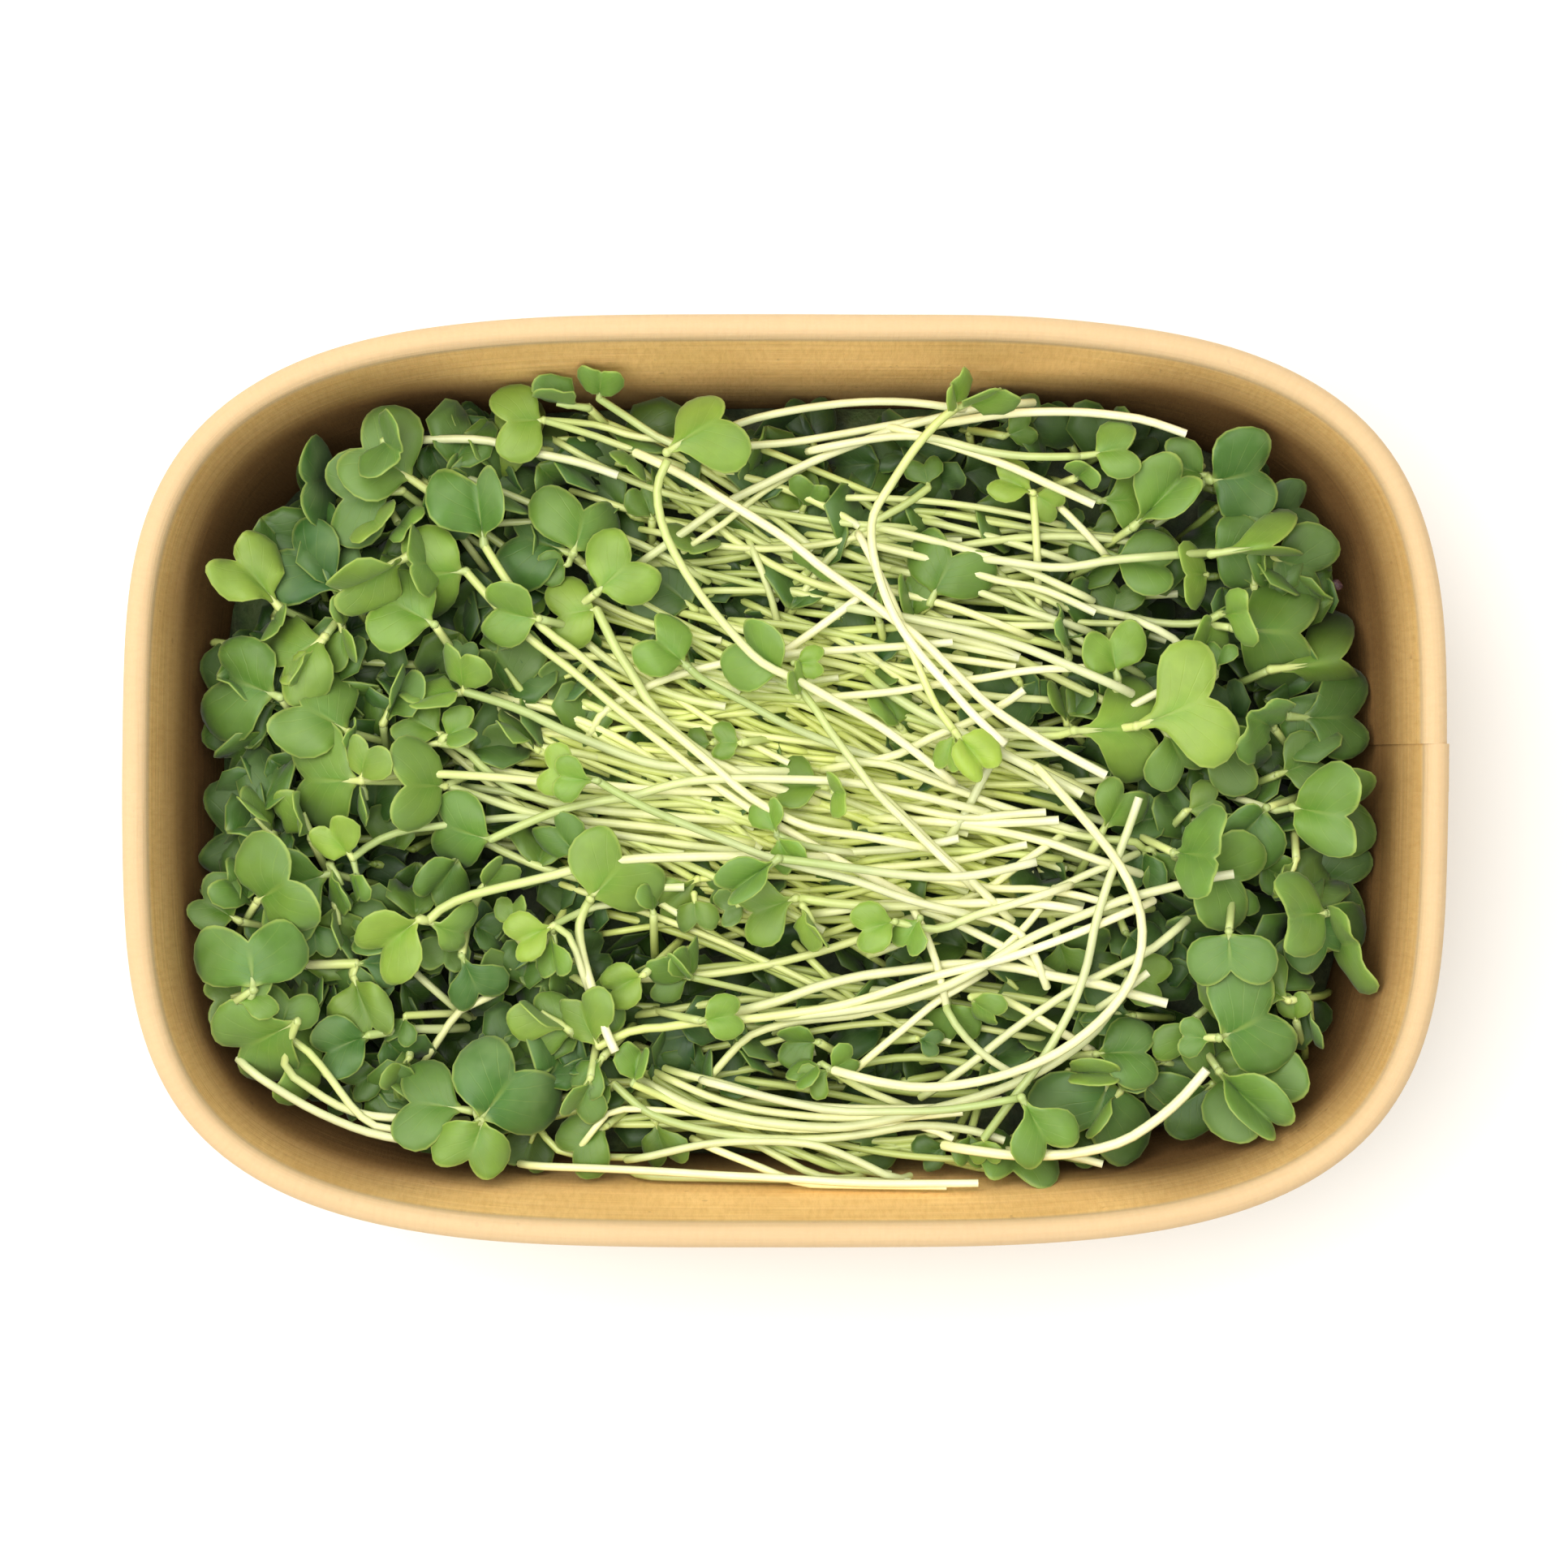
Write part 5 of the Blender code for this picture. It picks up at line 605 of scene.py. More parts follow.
class TraySettings(bpy.types.PropertyGroup):
    """Sizes and colours of the paper tray"""
    rim_width: length_setting("Rim width", "Width of the rolled rim", 3.4, 1.0)
    paper: length_setting("Paper thickness", "Thickness of the board", 0.7, 0.2)
    wall_spread: length_setting("Wall spread", "How far the wall leans out from foot to rim", 11.0)
    kraft: colour_setting("Kraft", "Colour of the board", 0.62, 0.41, 0.17)
    kraft_dark: colour_setting("Kraft fibres", "Colour of the darker fibres", 0.45, 0.265, 0.085)


class LeafSettings(bpy.types.PropertyGroup):
    """Thickness and colours of the seed leaves"""
    thickness: length_setting("Leaf thickness", "Thickness of a blade", 0.34, 0.1)
    mature: colour_setting("Mature leaf", "Colour of a full-grown blade", 0.052, 0.15, 0.02)
    bloom: colour_setting("Bloom", "Colour of the waxy bloom on a blade", 0.16, 0.264, 0.082)
    young: colour_setting("Young leaf", "Colour of a young blade", 0.26, 0.39, 0.045)
    underside: colour_setting("Underside", "Colour of a blade's lower side", 0.17, 0.28, 0.055)
    margin: colour_setting("Leaf edge", "Colour of the thin pale edge", 0.38, 0.47, 0.1)


class StemSettings(bpy.types.PropertyGroup):
    """Sizes and colours of the stems"""
    sides: IntProperty(name="Sides", description="Sides of each stem's tube", default=8, min=4, max=24)
    spacing: length_setting("Ring spacing", "Distance between the rings of a stem", 2.2, 0.5)
    cream: colour_setting("Cream", "Colour near the cut end", 0.86, 0.85, 0.5)
    green: colour_setting("Stem green", "Colour near the leaves", 0.42, 0.53, 0.13)
    # The deep-stem colour is a painted glow of light scattered through the mat
    deep: colour_setting("Deep stems", "Colour of the stems that glow deeper in the mat", 0.76, 0.83, 0.19)
    hidden_share: FloatProperty(name="Stems under the mat", default=1.0, min=0.0, max=2.0,
                                description="Share of the stems that fill up under the listed ones")
    seed: IntProperty(name="Seed", description="Seed of the stems under the mat", default=7)


class FillSettings(bpy.types.PropertyGroup):
    """The leaves that lie under the listed ones"""
    density: FloatProperty(name="Leaves a square metre", default=24000.0, min=0.0,
                           description="Leaves strewn on each layer")
    tilt: FloatProperty(name="Tilt", description="Most that a leaf leans", default=math.radians(32.0),
                        subtype="ANGLE", unit="ROTATION")
    smallest: FloatProperty(name="Smallest", description="Smallest leaf against the usual one", default=0.7)
    largest: FloatProperty(name="Largest", description="Largest leaf against the usual one", default=1.15)
    leaf_width: length_setting("Leaf width", "Width of the usual leaf", 11.0)
    lift: length_setting("Layer height", "How high a leaf may lie above its layer", 3.0)
    seed: IntProperty(name="Seed", description="Seed of the strewn leaves", default=11)


class StageSettings(bpy.types.PropertyGroup):
    """Camera and light"""
    camera_height: length_setting("Camera height", "Height of the camera above the rim", 600.0)
    seen_width: length_setting("Seen width", "Width of the picture at the rim", 202.9)
    sky: FloatProperty(name="Room light", description="Strength of the light from all round", default=0.80)
    key: FloatProperty(name="Key light", description="Power of the window light", default=13.0, unit="POWER")


def add_node(tree, kind, settings=None, inputs=None):
    """Adds a node, with its own settings and its input sockets; another node's output is linked in."""
    made = tree.nodes.new(kind)
    for name, value in (settings or {}).items():
        setattr(made, name, value)
    for key, value in (inputs or {}).items():
        if isinstance(value, bpy.types.NodeSocket):
            tree.links.new(value, made.inputs[key])
        else:
            made.inputs[key].default_value = value
    return made


def wire(tree, kind, inputs, settings=None):
    """Adds a node and gives its first output."""
    return add_node(tree, kind, settings, inputs).outputs[0]


def maths(tree, operation, first, second=0.0):
    return wire(tree, "ShaderNodeMath", {0: first, 1: second}, {"operation": operation})


def times(tree, first, second):
    return maths(tree, "MULTIPLY", first, second)


def rising(tree, value, low, high, start=0.0, end=1.0):
    """A mask that goes smoothly from 0 at low to 1 at high."""
    sockets = {0: value, 1: low, 2: high, 3: start, 4: end}
    return wire(tree, "ShaderNodeMapRange", sockets, {"interpolation_type": "SMOOTHSTEP"})


def falling(tree, value, low, high):
    """A mask that goes smoothly from 1 at low to 0 at high."""
    return rising(tree, value, low, high, 1.0, 0.0)


def mix_colour(tree, factor, first, second, kind="MIX"):
    settings = {"data_type": "RGBA", "blend_type": kind}
    return add_node(tree, "ShaderNodeMix", settings, {0: factor, 6: first, 7: second}).outputs[2]


def attribute(tree, name):
    return add_node(tree, "ShaderNodeAttribute", {"attribute_name": name}).outputs["Fac"]


def own_place(tree):
    """The piece's own coordinates, in metres."""
    return add_node(tree, "ShaderNodeTexCoord").outputs["Object"]


def coordinate(tree, axis):
    return add_node(tree, "ShaderNodeSeparateXYZ", None, {0: own_place(tree)}).outputs[axis]


def side_of(tree, axis):
    """Distance from the tray's middle along one axis."""
    return maths(tree, "ABSOLUTE", coordinate(tree, axis))


def own_noise(tree, scale, detail=2.0):
    """Noise on the piece's own coordinates, in features a metre."""
    inputs = {"Vector": own_place(tree), "Scale": scale, "Detail": detail}
    return wire(tree, "ShaderNodeTexNoise", inputs)


def full(colour):
    return (*colour, 1.0)


def node_tree(name, kind, inputs, outputs):
    """A node group with its sockets, its input node's outputs and its output node's inputs."""
    tree = bpy.data.node_groups.new(name, kind + "NodeTree")
    for side, sockets in (("INPUT", inputs), ("OUTPUT", outputs)):
        for label, socket in sockets.items():
            tree.interface.new_socket(label, in_out=side, socket_type="NodeSocket" + socket)
    return tree, tree.nodes.new("NodeGroupInput").outputs, tree.nodes.new("NodeGroupOutput").inputs


def plant_tone_group():
    """Each leaf's or stem's own shade, with soft mottling, over a blend of two colours."""
    tree, given, result = node_tree(
        "Plant tone", "Shader", {"First": "Color", "Second": "Color", "Blend": "Float", "Mottling": "Float"},
        {"Color": "Color"})
    base = mix_colour(tree, given["Blend"], given["First"], given["Second"])
    spots = maths(tree, "SUBTRACT", rising(tree, own_noise(tree, 260.0, 3.0), 0.3, 0.7), 0.5)
    own = maths(tree, "SUBTRACT", attribute(tree, "chance"), 0.5)
    value = maths(tree, "ADD", times(tree, spots, given["Mottling"]), times(tree, own, 0.36))
    value = maths(tree, "ADD", value, 1.0)
    hue = maths(tree, "ADD", times(tree, own, -0.03), 0.5)
    shifted = add_node(tree, "ShaderNodeHueSaturation", None, {"Hue": hue, "Value": value, "Color": base})
    tree.links.new(shifted.outputs[0], result["Color"])
    return tree


def toned(tree, group, first, second, blend, mottling):
    inputs = {"First": full(first), "Second": full(second), "Blend": blend, "Mottling": mottling}
    return wire(tree, "ShaderNodeGroup", inputs, {"node_tree": group})


def grain_group():
    """Fine grain: a mask and a height from noise."""
    tree, given, result = node_tree(
        "Fine grain", "Shader", {"Vector": "Vector", "Scale": "Float"}, {"Mask": "Float", "Height": "Float"})
    inputs = {"Vector": given["Vector"], "Scale": given["Scale"], "Detail": 4.0, "Roughness": 0.6}
    coarse = wire(tree, "ShaderNodeTexNoise", inputs)
    tree.links.new(rising(tree, coarse, 0.35, 0.72), result["Mask"])
    tree.links.new(coarse, result["Height"])
    return tree


def grained(tree, group, scale, vector=None):
    """Mask and height of the fine grain."""
    inputs = {"Vector": own_place(tree) if vector is None else vector, "Scale": scale}
    made = add_node(tree, "ShaderNodeGroup", {"node_tree": group}, inputs)
    return made.outputs["Mask"], made.outputs["Height"]


def new_material(name, colour, roughness):
    """A material with its node tree's shader, which the finishes fill in."""
    made = bpy.data.materials.new(name)
    made.use_nodes = True
    made.diffuse_color = full(colour)
    surface = made.node_tree.nodes["Principled BSDF"]
    surface.inputs["Roughness"].default_value = roughness
    return made.node_tree, surface


def dress(tree, surface, colour, bump=None, values=None):
    """Links a material's colour and its bump (height, strength, distance) and sets its other sockets."""
    tree.links.new(colour, surface.inputs["Base Color"])
    for name, value in (values or {}).items():
        surface.inputs[name].default_value = value
    if bump:
        made = add_node(tree, "ShaderNodeBump", None, dict(zip(("Height", "Strength", "Distance"), bump)))
        tree.links.new(made.outputs[0], surface.inputs["Normal"])


def soaking(weight, radius, scale):
    """How far light soaks into a material."""
    return {"Subsurface Weight": weight, "Subsurface Radius": radius, "Subsurface Scale": scale}


def kraft_finish(settings, grain):
    """Brown paper board: mottled, with fine fibres, darker flecks and streaks along the roll. Painted light
    brightens the inner wall, painted shade darkens it lower down, and the rim is paler, partly with a painted
    highlight.
    """
    tree, surface = new_material("kraft_board", settings.kraft, 0.72)
    run = add_node(tree, "ShaderNodeUVMap", {"uv_map": "board"}).outputs[0]
    along = wire(tree, "ShaderNodeMapping", {0: run, 3: (1.0, 0.28, 1.0)})
    across = wire(tree, "ShaderNodeMapping", {0: run, 3: (0.03, 1.0, 1.0)})
    fibres, fibre_height = grained(tree, grain, 14.0, along)
    streaks, streak_height = grained(tree, grain, 11.0, across)
    cloud = rising(tree, own_noise(tree, 70.0, 3.0), 0.3, 0.7)
    fleck = rising(tree, own_noise(tree, 620.0, 1.0), 0.74, 0.80)
    dark = full(settings.kraft_dark)
    colour = full(settings.kraft)
    for mask, share, paint in ((cloud, 0.34, dark), (fibres, 0.45, dark), (streaks, 0.22, PAPER_STREAK),
                               (fleck, 0.35, PAPER_FLECK)):
        colour = mix_colour(tree, times(tree, mask, share), colour, paint)
    height = coordinate(tree, 2)
    # Painted light: the inner wall below the rolled rim is brightened.
    inside = times(tree, attribute(tree, "inside"), falling(tree, height, *ROLLED_RIM))
    colour = mix_colour(tree, inside, colour, INNER_WALL_LIGHT, "MULTIPLY")
    # Painted shade: the inner wall darkens downwards towards the greens, from higher up near the heaps at
    # both ends.
    dry = maths(tree, "ADD", height, times(tree, falling(tree, side_of(tree, 0), *HEAP_RUN), HEAP_SHADE_RISE))
    wall_shade = times(tree, falling(tree, dry, *WALL_SHADE_HEIGHTS), inside)
    colour = mix_colour(tree, wall_shade, colour, WALL_PAINTED_SHADE, "MULTIPLY")
    # The rolled rim is paler: partly the stretched paper, partly a painted highlight.
    colour = mix_colour(tree, times(tree, rising(tree, height, *ROLLED_RIM), 0.65), colour, PALE_RIM_HIGHLIGHT)
    relief = maths(tree, "ADD", times(tree, fibre_height, 0.5), times(tree, streak_height, 0.9))
    dress(tree, surface, colour, (relief, 0.35, 0.0004), soaking(0.12, (1.0, 0.6, 0.3), 0.0008))


def leaf_finish(settings, tone_group):
    """Thin living blade: light soaks through it, and wax takes the shine off. Painted shade darkens the
    valley along the midrib and the deeper leaves.
    """
    tree, surface = new_material("leaf_skin", settings.mature, 0.5)
    across, along, tone, under = [attribute(tree, name) for name in ("across", "along", "tone", "under")]
    margin = full(settings.margin)
    colour = toned(tree, tone_group, settings.young, settings.mature, tone, 0.16)
    wax = times(tree, rising(tree, own_noise(tree, 190.0), 0.25, 0.75), rising(tree, along, 0.15, 0.8))
    wax = times(tree, wax, times(tree, tone, 0.95))
    colour = mix_colour(tree, wax, colour, full(settings.bloom))
    # Painted shade: darker in the valley along the midrib.
    valley = times(tree, falling(tree, across, 0.0, 0.5), falling(tree, along, 0.35, 0.95))
    colour = mix_colour(tree, times(tree, valley, 0.7), colour, LEAF_VALLEY_SHADE, "MULTIPLY")
    colour = mix_colour(tree, times(tree, falling(tree, along, 0.0, 0.16), 0.6), colour, margin)
    lean = maths(tree, "SUBTRACT", times(tree, along, 5.0), times(tree, across, 2.6))
    ripple = maths(tree, "ABSOLUTE", maths(tree, "SINE", times(tree, lean, math.pi)))
    inwards = times(tree, falling(tree, across, 0.3, 0.95), 0.4)
    side_veins = times(tree, falling(tree, ripple, 0.0, 0.22), inwards)
    rib = times(tree, falling(tree, across, 0.015, 0.09), falling(tree, along, 0.3, 1.0))
    veins = maths(tree, "MAXIMUM", side_veins, rib)
    colour = mix_colour(tree, times(tree, veins, 0.32), colour, margin)
    colour = mix_colour(tree, times(tree, under, 0.75), colour, full(settings.underside))
    edge = rising(tree, maths(tree, "MAXIMUM", across, along), 0.955, 0.995)
    colour = mix_colour(tree, times(tree, edge, 0.5), colour, margin)
    deep = falling(tree, coordinate(tree, 2), *LEAF_SHADE)
    colour = mix_colour(tree, deep, colour, SHADED_LEAF, "MULTIPLY")
    tree.links.new(maths(tree, "ADD", 0.42, times(tree, wax, 0.3)), surface.inputs["Roughness"])
    relief = maths(tree, "SUBTRACT", times(tree, own_noise(tree, 900.0), 0.35), veins)
    values = {"Specular IOR Level": 0.35, "Sheen Weight": 0.08, "Sheen Roughness": 0.5}
    values.update(soaking(0.28, (0.7, 1.0, 0.25), 0.0010))
    dress(tree, surface, colour, (relief, 0.25, 0.0003), values)


def stem_finish(settings, tone_group, grain):
    """Juicy stem: green near its leaves and cream towards its cut end. Stems sunk in the mat get a painted
    glow of scattered light, and painted shade towards the tray's ends and the mat's flanks.
    """
    tree, surface = new_material("stem_skin", settings.cream, 0.36)
    along = attribute(tree, "along")
    fresh = times(tree, falling(tree, along, 0.0, 0.75), 0.85)
    green = maths(tree, "MAXIMUM", fresh, attribute(tree, "tone"))
    colour = toned(tree, tone_group, settings.cream, settings.green, green, 0.12)
    # Painted light and shade for stems sunk in the mat: a yellow-green glow along the middle and cream on the
    # flanks, as of light scattered through the stems, then painted shade towards the ends and on the flanks.
    sunk = falling(tree, coordinate(tree, 2), *STEM_PAINTED_LIGHT)
    end = side_of(tree, 0)
    flank = rising(tree, side_of(tree, 1), *MAT_FLANK)
    glow = times(tree, sunk, times(tree, falling(tree, end, *MAT_EDGE), 0.85))
    colour = mix_colour(tree, glow, colour, mix_colour(tree, flank, full(settings.deep), FLANK_PAINTED_GLOW))
    shade = maths(tree, "MAXIMUM", rising(tree, end, *MAT_EDGE), times(tree, flank, 0.75))
    colour = mix_colour(tree, times(tree, sunk, shade), colour, SHADED_STEM, "MULTIPLY")
    fine, relief = grained(tree, grain, 900.0)
    colour = mix_colour(tree, times(tree, fine, 0.10), colour, STEM_FLECK)
    colour = mix_colour(tree, times(tree, rising(tree, along, 0.93, 0.999), 0.4), colour, CUT_WHITE)
    values = {"Coat Roughness": 0.3, **soaking(0.25, (1.0, 1.0, 0.6), 0.0005)}
    dress(tree, surface, colour, (relief, 0.10, 0.0003), values)


def packed_finish(grain):
    """Crushed leaf and stem deep in the heap, with pale strands; its very dark colour is painted shade of the
    deep gaps.
    """
    dark, green, pale = BED_COLOURS_IN_SHADE
    tree, surface = new_material("packed_greens", green[:3], 0.7)
    strands, relief = grained(tree, grain, 420.0)
    # Painted shade: the bed is mostly near black, as the deep gaps are in shade.
    colour = mix_colour(tree, rising(tree, own_noise(tree, 150.0, 3.0), 0.4, 0.65), dark, green)
    colour = mix_colour(tree, times(tree, strands, 0.3), colour, pale)
    dress(tree, surface, colour, (relief, 0.6, 0.001))


def hull_finish(grain):
    """Dry seed hull, purple brown with paler wear."""
    tree, surface = new_material("seed_hull_skin", HULL_SKIN[0][:3], 0.55)
    pits, relief = grained(tree, grain, 2600.0)
    dress(tree, surface, mix_colour(tree, pits, *HULL_SKIN), (relief, 0.5, 0.0002))


def table_finish():
    """Plain white table, with the faintest unevenness."""
    tree, surface = new_material("white_table", TABLE_WHITE[0][:3], 0.8)
    dress(tree, surface, mix_colour(tree, times(tree, own_noise(tree, 6.0), 0.3), *TABLE_WHITE))


def finishes():
    """The materials, made once."""
    if "leaf_skin" not in bpy.data.materials:
        scene = bpy.context.scene
        grain = grain_group()
        tone = plant_tone_group()
        kraft_finish(scene.microgreens_tray, grain)
        leaf_finish(scene.microgreens_leaf, tone)
        stem_finish(scene.microgreens_stem, tone, grain)
        packed_finish(grain)
        hull_finish(grain)
        table_finish()
    return bpy.data.materials


def add_object(name, data):
    made = bpy.data.objects.new(name, data)
    bpy.context.scene.collection.objects.link(made)
    return made


def new_mesh(name, corners, faces, edges=(), values=None):
    """A mesh from corners in millimetres, with its point attributes."""
    mesh = bpy.data.meshes.new(name)
    mesh.from_pydata([corner * MM for corner in corners], edges, faces)
    for label, column in (values or {}).items():
        mesh.attributes.new(label, "FLOAT", "POINT").data.foreach_set("value", column)
    return mesh


def paint(mesh, *names):
    for name in names:
        mesh.materials.append(finishes()[name])
    return mesh


def add_piece(mesh, slot, *nodes):
    """Links a finished mesh as a piece that rides on the tray and stands for its CAD nodes."""
    made = add_object(mesh.name, mesh)
    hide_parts(*nodes)
    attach(made, BODY)


def signed_power(value, power):
    return math.copysign(abs(value) ** power, value)


def outline(half_x, half_y, count, start=0.0):
    """Even points of the rounded rectangle from a start length, each with its outward normal and run."""
    dense = []
    for step in range(OUTLINE_STEPS):
        turn = 2 * math.pi * (step + 0.5) / OUTLINE_STEPS
        across = signed_power(math.cos(turn), 2.0 / OUTLINE_POWER)
        along = signed_power(math.sin(turn), 2.0 / OUTLINE_POWER)
        dense.append(Vector((across * half_x, along * half_y)))
    lengths = [0.0]
    for before, after in zip(dense, dense[1:] + dense[:1]):
        lengths.append(lengths[-1] + (after - before).length)
    total = lengths[-1]
    index = bisect_left(lengths, start)
    found = []
    for step in range(count):
        run = total * step / count
        target = (start + run) % total
        while lengths[index] < target and index < OUTLINE_STEPS - 1:
            index += 1
        if lengths[index] - target > total / 2:
            index = 0
        point = dense[index]
        normal = Vector((
            signed_power(point.x / half_x, OUTLINE_POWER - 1) / half_x,
            signed_power(point.y / half_y, OUTLINE_POWER - 1) / half_y,
        ))
        found.append((point, normal.normalized(), run))
    return found, total


def wall_inner_offset(height):
    """Offset of the wall's inner face from the rim's outer line at this height, in millimetres."""
    settings = bpy.context.scene.microgreens_tray
    spread = settings.wall_spread / MM
    return -(settings.rim_width + settings.paper) / MM - spread * (TRAY_HEIGHT - height) / TRAY_HEIGHT


def inner_halves(height, margin):
    """Half the length and half the width of the wall's inside at this height, less a margin."""
    inset = wall_inner_offset(height) - margin
    return TRAY_LENGTH / 2 + inset, TRAY_WIDTH / 2 + inset


def outline_reach(x, y, half_x, half_y):
    """Below 1 inside the rounded rectangle, 1 on it and above 1 outside."""
    return abs(x / half_x) ** OUTLINE_POWER + abs(y / half_y) ** OUTLINE_POWER


def wall_profile(settings):
    """Cross-section of the wall, its rolled rim and its folded hem: offset and height."""
    paper = settings.paper / MM
    roll = settings.rim_width / MM / 2
    centre_height = TRAY_HEIGHT - roll
    turns = [math.radians(180.0 - CURL_TURN * step / CURL_POINTS) for step in range(CURL_POINTS + 1)]
    outer, inner = [
        [(-roll + radius * math.cos(turn), centre_height + radius * math.sin(turn)) for turn in turns]
        for radius in (roll, roll - paper)
    ]
    foot = wall_inner_offset(0.0)
    fold = foot - HEM_GAP
    lean = settings.wall_spread / MM / TRAY_HEIGHT
    hem = [
        (foot + paper, 0.0),
        (fold - paper, 0.0),
        (fold - paper + lean * HEM_HEIGHT, HEM_HEIGHT),
        (fold + lean * HEM_HEIGHT, HEM_HEIGHT),
        (fold + lean * paper, paper),
        (foot + lean * paper, paper),
    ]
    levels = [paper + (centre_height - paper) * step / WALL_RINGS for step in range(1, WALL_RINGS)]
    inner_face = [(wall_inner_offset(level), level) for level in levels]
    outer_face = [(offset + paper, level) for offset, level in reversed(inner_face)]
    return hem + inner_face + outer + inner[::-1] + outer_face


def base_profile(settings):
    """Cross-section of the floor panel and the flange that drops into the hem."""
    paper = settings.paper / MM
    lean = settings.wall_spread / MM / TRAY_HEIGHT
    flange_inner = wall_inner_offset(0.0) - HEM_GAP + CLEARANCE
    flange_outer = flange_inner + paper
    return [
        (FLOOR_INSET, FLOOR_TOP - paper),
        (flange_inner + lean * (FLOOR_TOP - paper), FLOOR_TOP - paper),
        (flange_inner + lean * FLANGE_FOOT, FLANGE_FOOT),
        (flange_outer + lean * FLANGE_FOOT, FLANGE_FOOT),
        (flange_outer + lean * FLOOR_TOP, FLOOR_TOP),
        (FLOOR_INSET, FLOOR_TOP),
    ]


def seam_offset(run, total):
    """The overlap steps out at the seam and dies away before it."""
    share = max(0.0, 1.0 - (total - run) / SEAM_RUN)
    return SEAM_STEP * share * share * (3 - 2 * share)


def inner_limit(height, settings):
    """Offset that parts the wall's inner side from its outer side and its curl."""
    roll = settings.rim_width / MM / 2
    if height < TRAY_HEIGHT - roll - CLEARANCE:
        return wall_inner_offset(height) + settings.paper / MM / 2
    return -roll


def sweep_mesh(name, profile, settings, is_wall):
    """Sweeps a profile round the outline; the wall closes on itself with a seam, the bottom is capped."""
    path, total = outline(TRAY_LENGTH / 2, TRAY_WIDTH / 2, OUTLINE_POINTS, SEAM_PLACE)
    if is_wall:
        path.append((*path[0][:2], total))
    count = len(path)
    corners = []
    insides = []
    drops = [0.0]
    for before, after in zip(profile, profile[1:]):
        drops.append(drops[-1] + math.dist(before, after))
    for offset, height in profile:
        insides += [float(is_wall and offset < inner_limit(height, settings))] * count
        rise = max(0.0, height / TRAY_HEIGHT - WOBBLE_FROM) / (1.0 - WOBBLE_FROM)
        for point, normal, run in path:
            shift = 0.0
            if is_wall:
                wobble = noise.noise(Vector((*(point * WOBBLE_SCALE), WOBBLE_LAYER)))
                shift = seam_offset(run, total) + RIM_WOBBLE * rise * wobble
            corners.append(Vector((*(point + normal * (offset + shift)), height)))
    rings = len(profile)
    faces = []
    uvs = []
    for ring in range(rings if is_wall else rings - 1):
        upper = (ring + 1) % rings
        low = drops[ring]
        high = drops[upper] if upper else low + 1.0
        for index in range(count):
            after = (index + 1) % count
            start = path[index][2]
            end = path[after][2] if after else total
            square = [(ring, index), (ring, after), (upper, after), (upper, index)]
            faces.append(tuple(line * count + place for line, place in square))
            uvs += [(start, low), (end, low), (end, high), (start, high)]
    if not is_wall:
        faces.append(tuple(reversed(range(count))))
        faces.append(tuple(range((rings - 1) * count, rings * count)))
        uvs += [(0.0, 0.0)] * (2 * count)
    mesh = new_mesh(name, corners, faces, (), {"inside": insides})
    layer = mesh.uv_layers.new(name="board")
    for loop, (along, down) in zip(layer.data, uvs):
        loop.uv = (along * BOARD_SCALE, down * BOARD_SCALE)
    mesh.shade_smooth()
    mesh.set_sharp_from_angle(angle=math.radians(SHARP_ANGLE))
    return paint(mesh, "kraft_board")


def true_place(x, y, depth):
    """Moves a point read in the reading plane to its own depth, as seen from above."""
    scale = (VIEW_HEIGHT + depth) / (VIEW_HEIGHT + READING_DEPTH)
    return Vector((x * scale, y * scale, TRAY_HEIGHT - depth))


def overshoot(point, margin):
    """How far a point lies beyond the wall's inner face, as a vector towards the tray's middle."""
    reach = outline_reach(point.x, point.y, *inner_halves(point.z, margin)) ** (1.0 / OUTLINE_POWER)
    return Vector((point.x, point.y, 0)) * (1.0 / max(1.0, reach) - 1.0)


def bezier(points, t):
    row = [Vector(point) for point in points]
    while len(row) > 1:
        row = [a.lerp(b, t) for a, b in zip(row, row[1:])]
    return row[0]


def blade_outline(form, swing):
    """Side and tip curves of half a blade: form 0 is a kidney, 1 a heart and 2 a fan."""
    low = min(int(form), 1)
    share = form - low
    side = [Vector(a).lerp(Vector(b), share) for a, b in zip(SIDES[low], SIDES[low + 1])]
    notch = NOTCHES[low] + (NOTCHES[low + 1] - NOTCHES[low]) * share + swing
    shoulder = side[-1] - (side[-2] - side[-1]) * SHOULDER
    tip = [Vector((x, y + notch)) for x, y in LOBE_TOP] + [shoulder, side[-1]]
    return side, tip


def half_blade(u, v, side_curve, tip_curve):
    """A point of a flat blade's right half, in blade widths: u from midrib to side, v from heel to tip."""
    notch = tip_curve[0]
    corner = side_curve[-1]
    heel = side_curve[0]
    side = bezier(side_curve, v)
    tip = bezier(tip_curve, u)
    corners = (1 - u) * v * notch + u * v * corner + u * (1 - v) * heel
    return (1 - u) * notch * v + u * side + (1 - v) * heel * u + v * tip - corners


def leaf_rng(row):
    return random.Random(int(row[0] * LEAF_SEED[0] + row[1] * LEAF_SEED[1] + row[3]))


def leaf_turn(row):
    """The leaf's heading, pitch and roll, with its own small differences."""
    rng = random.Random(int(row[0] * TURN_SEED[0] + row[1] * TURN_SEED[1] + row[6]))
    turn = Matrix.Rotation(math.radians(row[3] - 90.0), 4, "Z")
    turn = turn @ Matrix.Rotation(math.radians(row[4] + rng.uniform(-OWN_PITCH, OWN_PITCH)), 4, "X")
    return turn @ Matrix.Rotation(math.radians(row[5] + rng.uniform(-OWN_ROLL, OWN_ROLL)), 4, "Y")


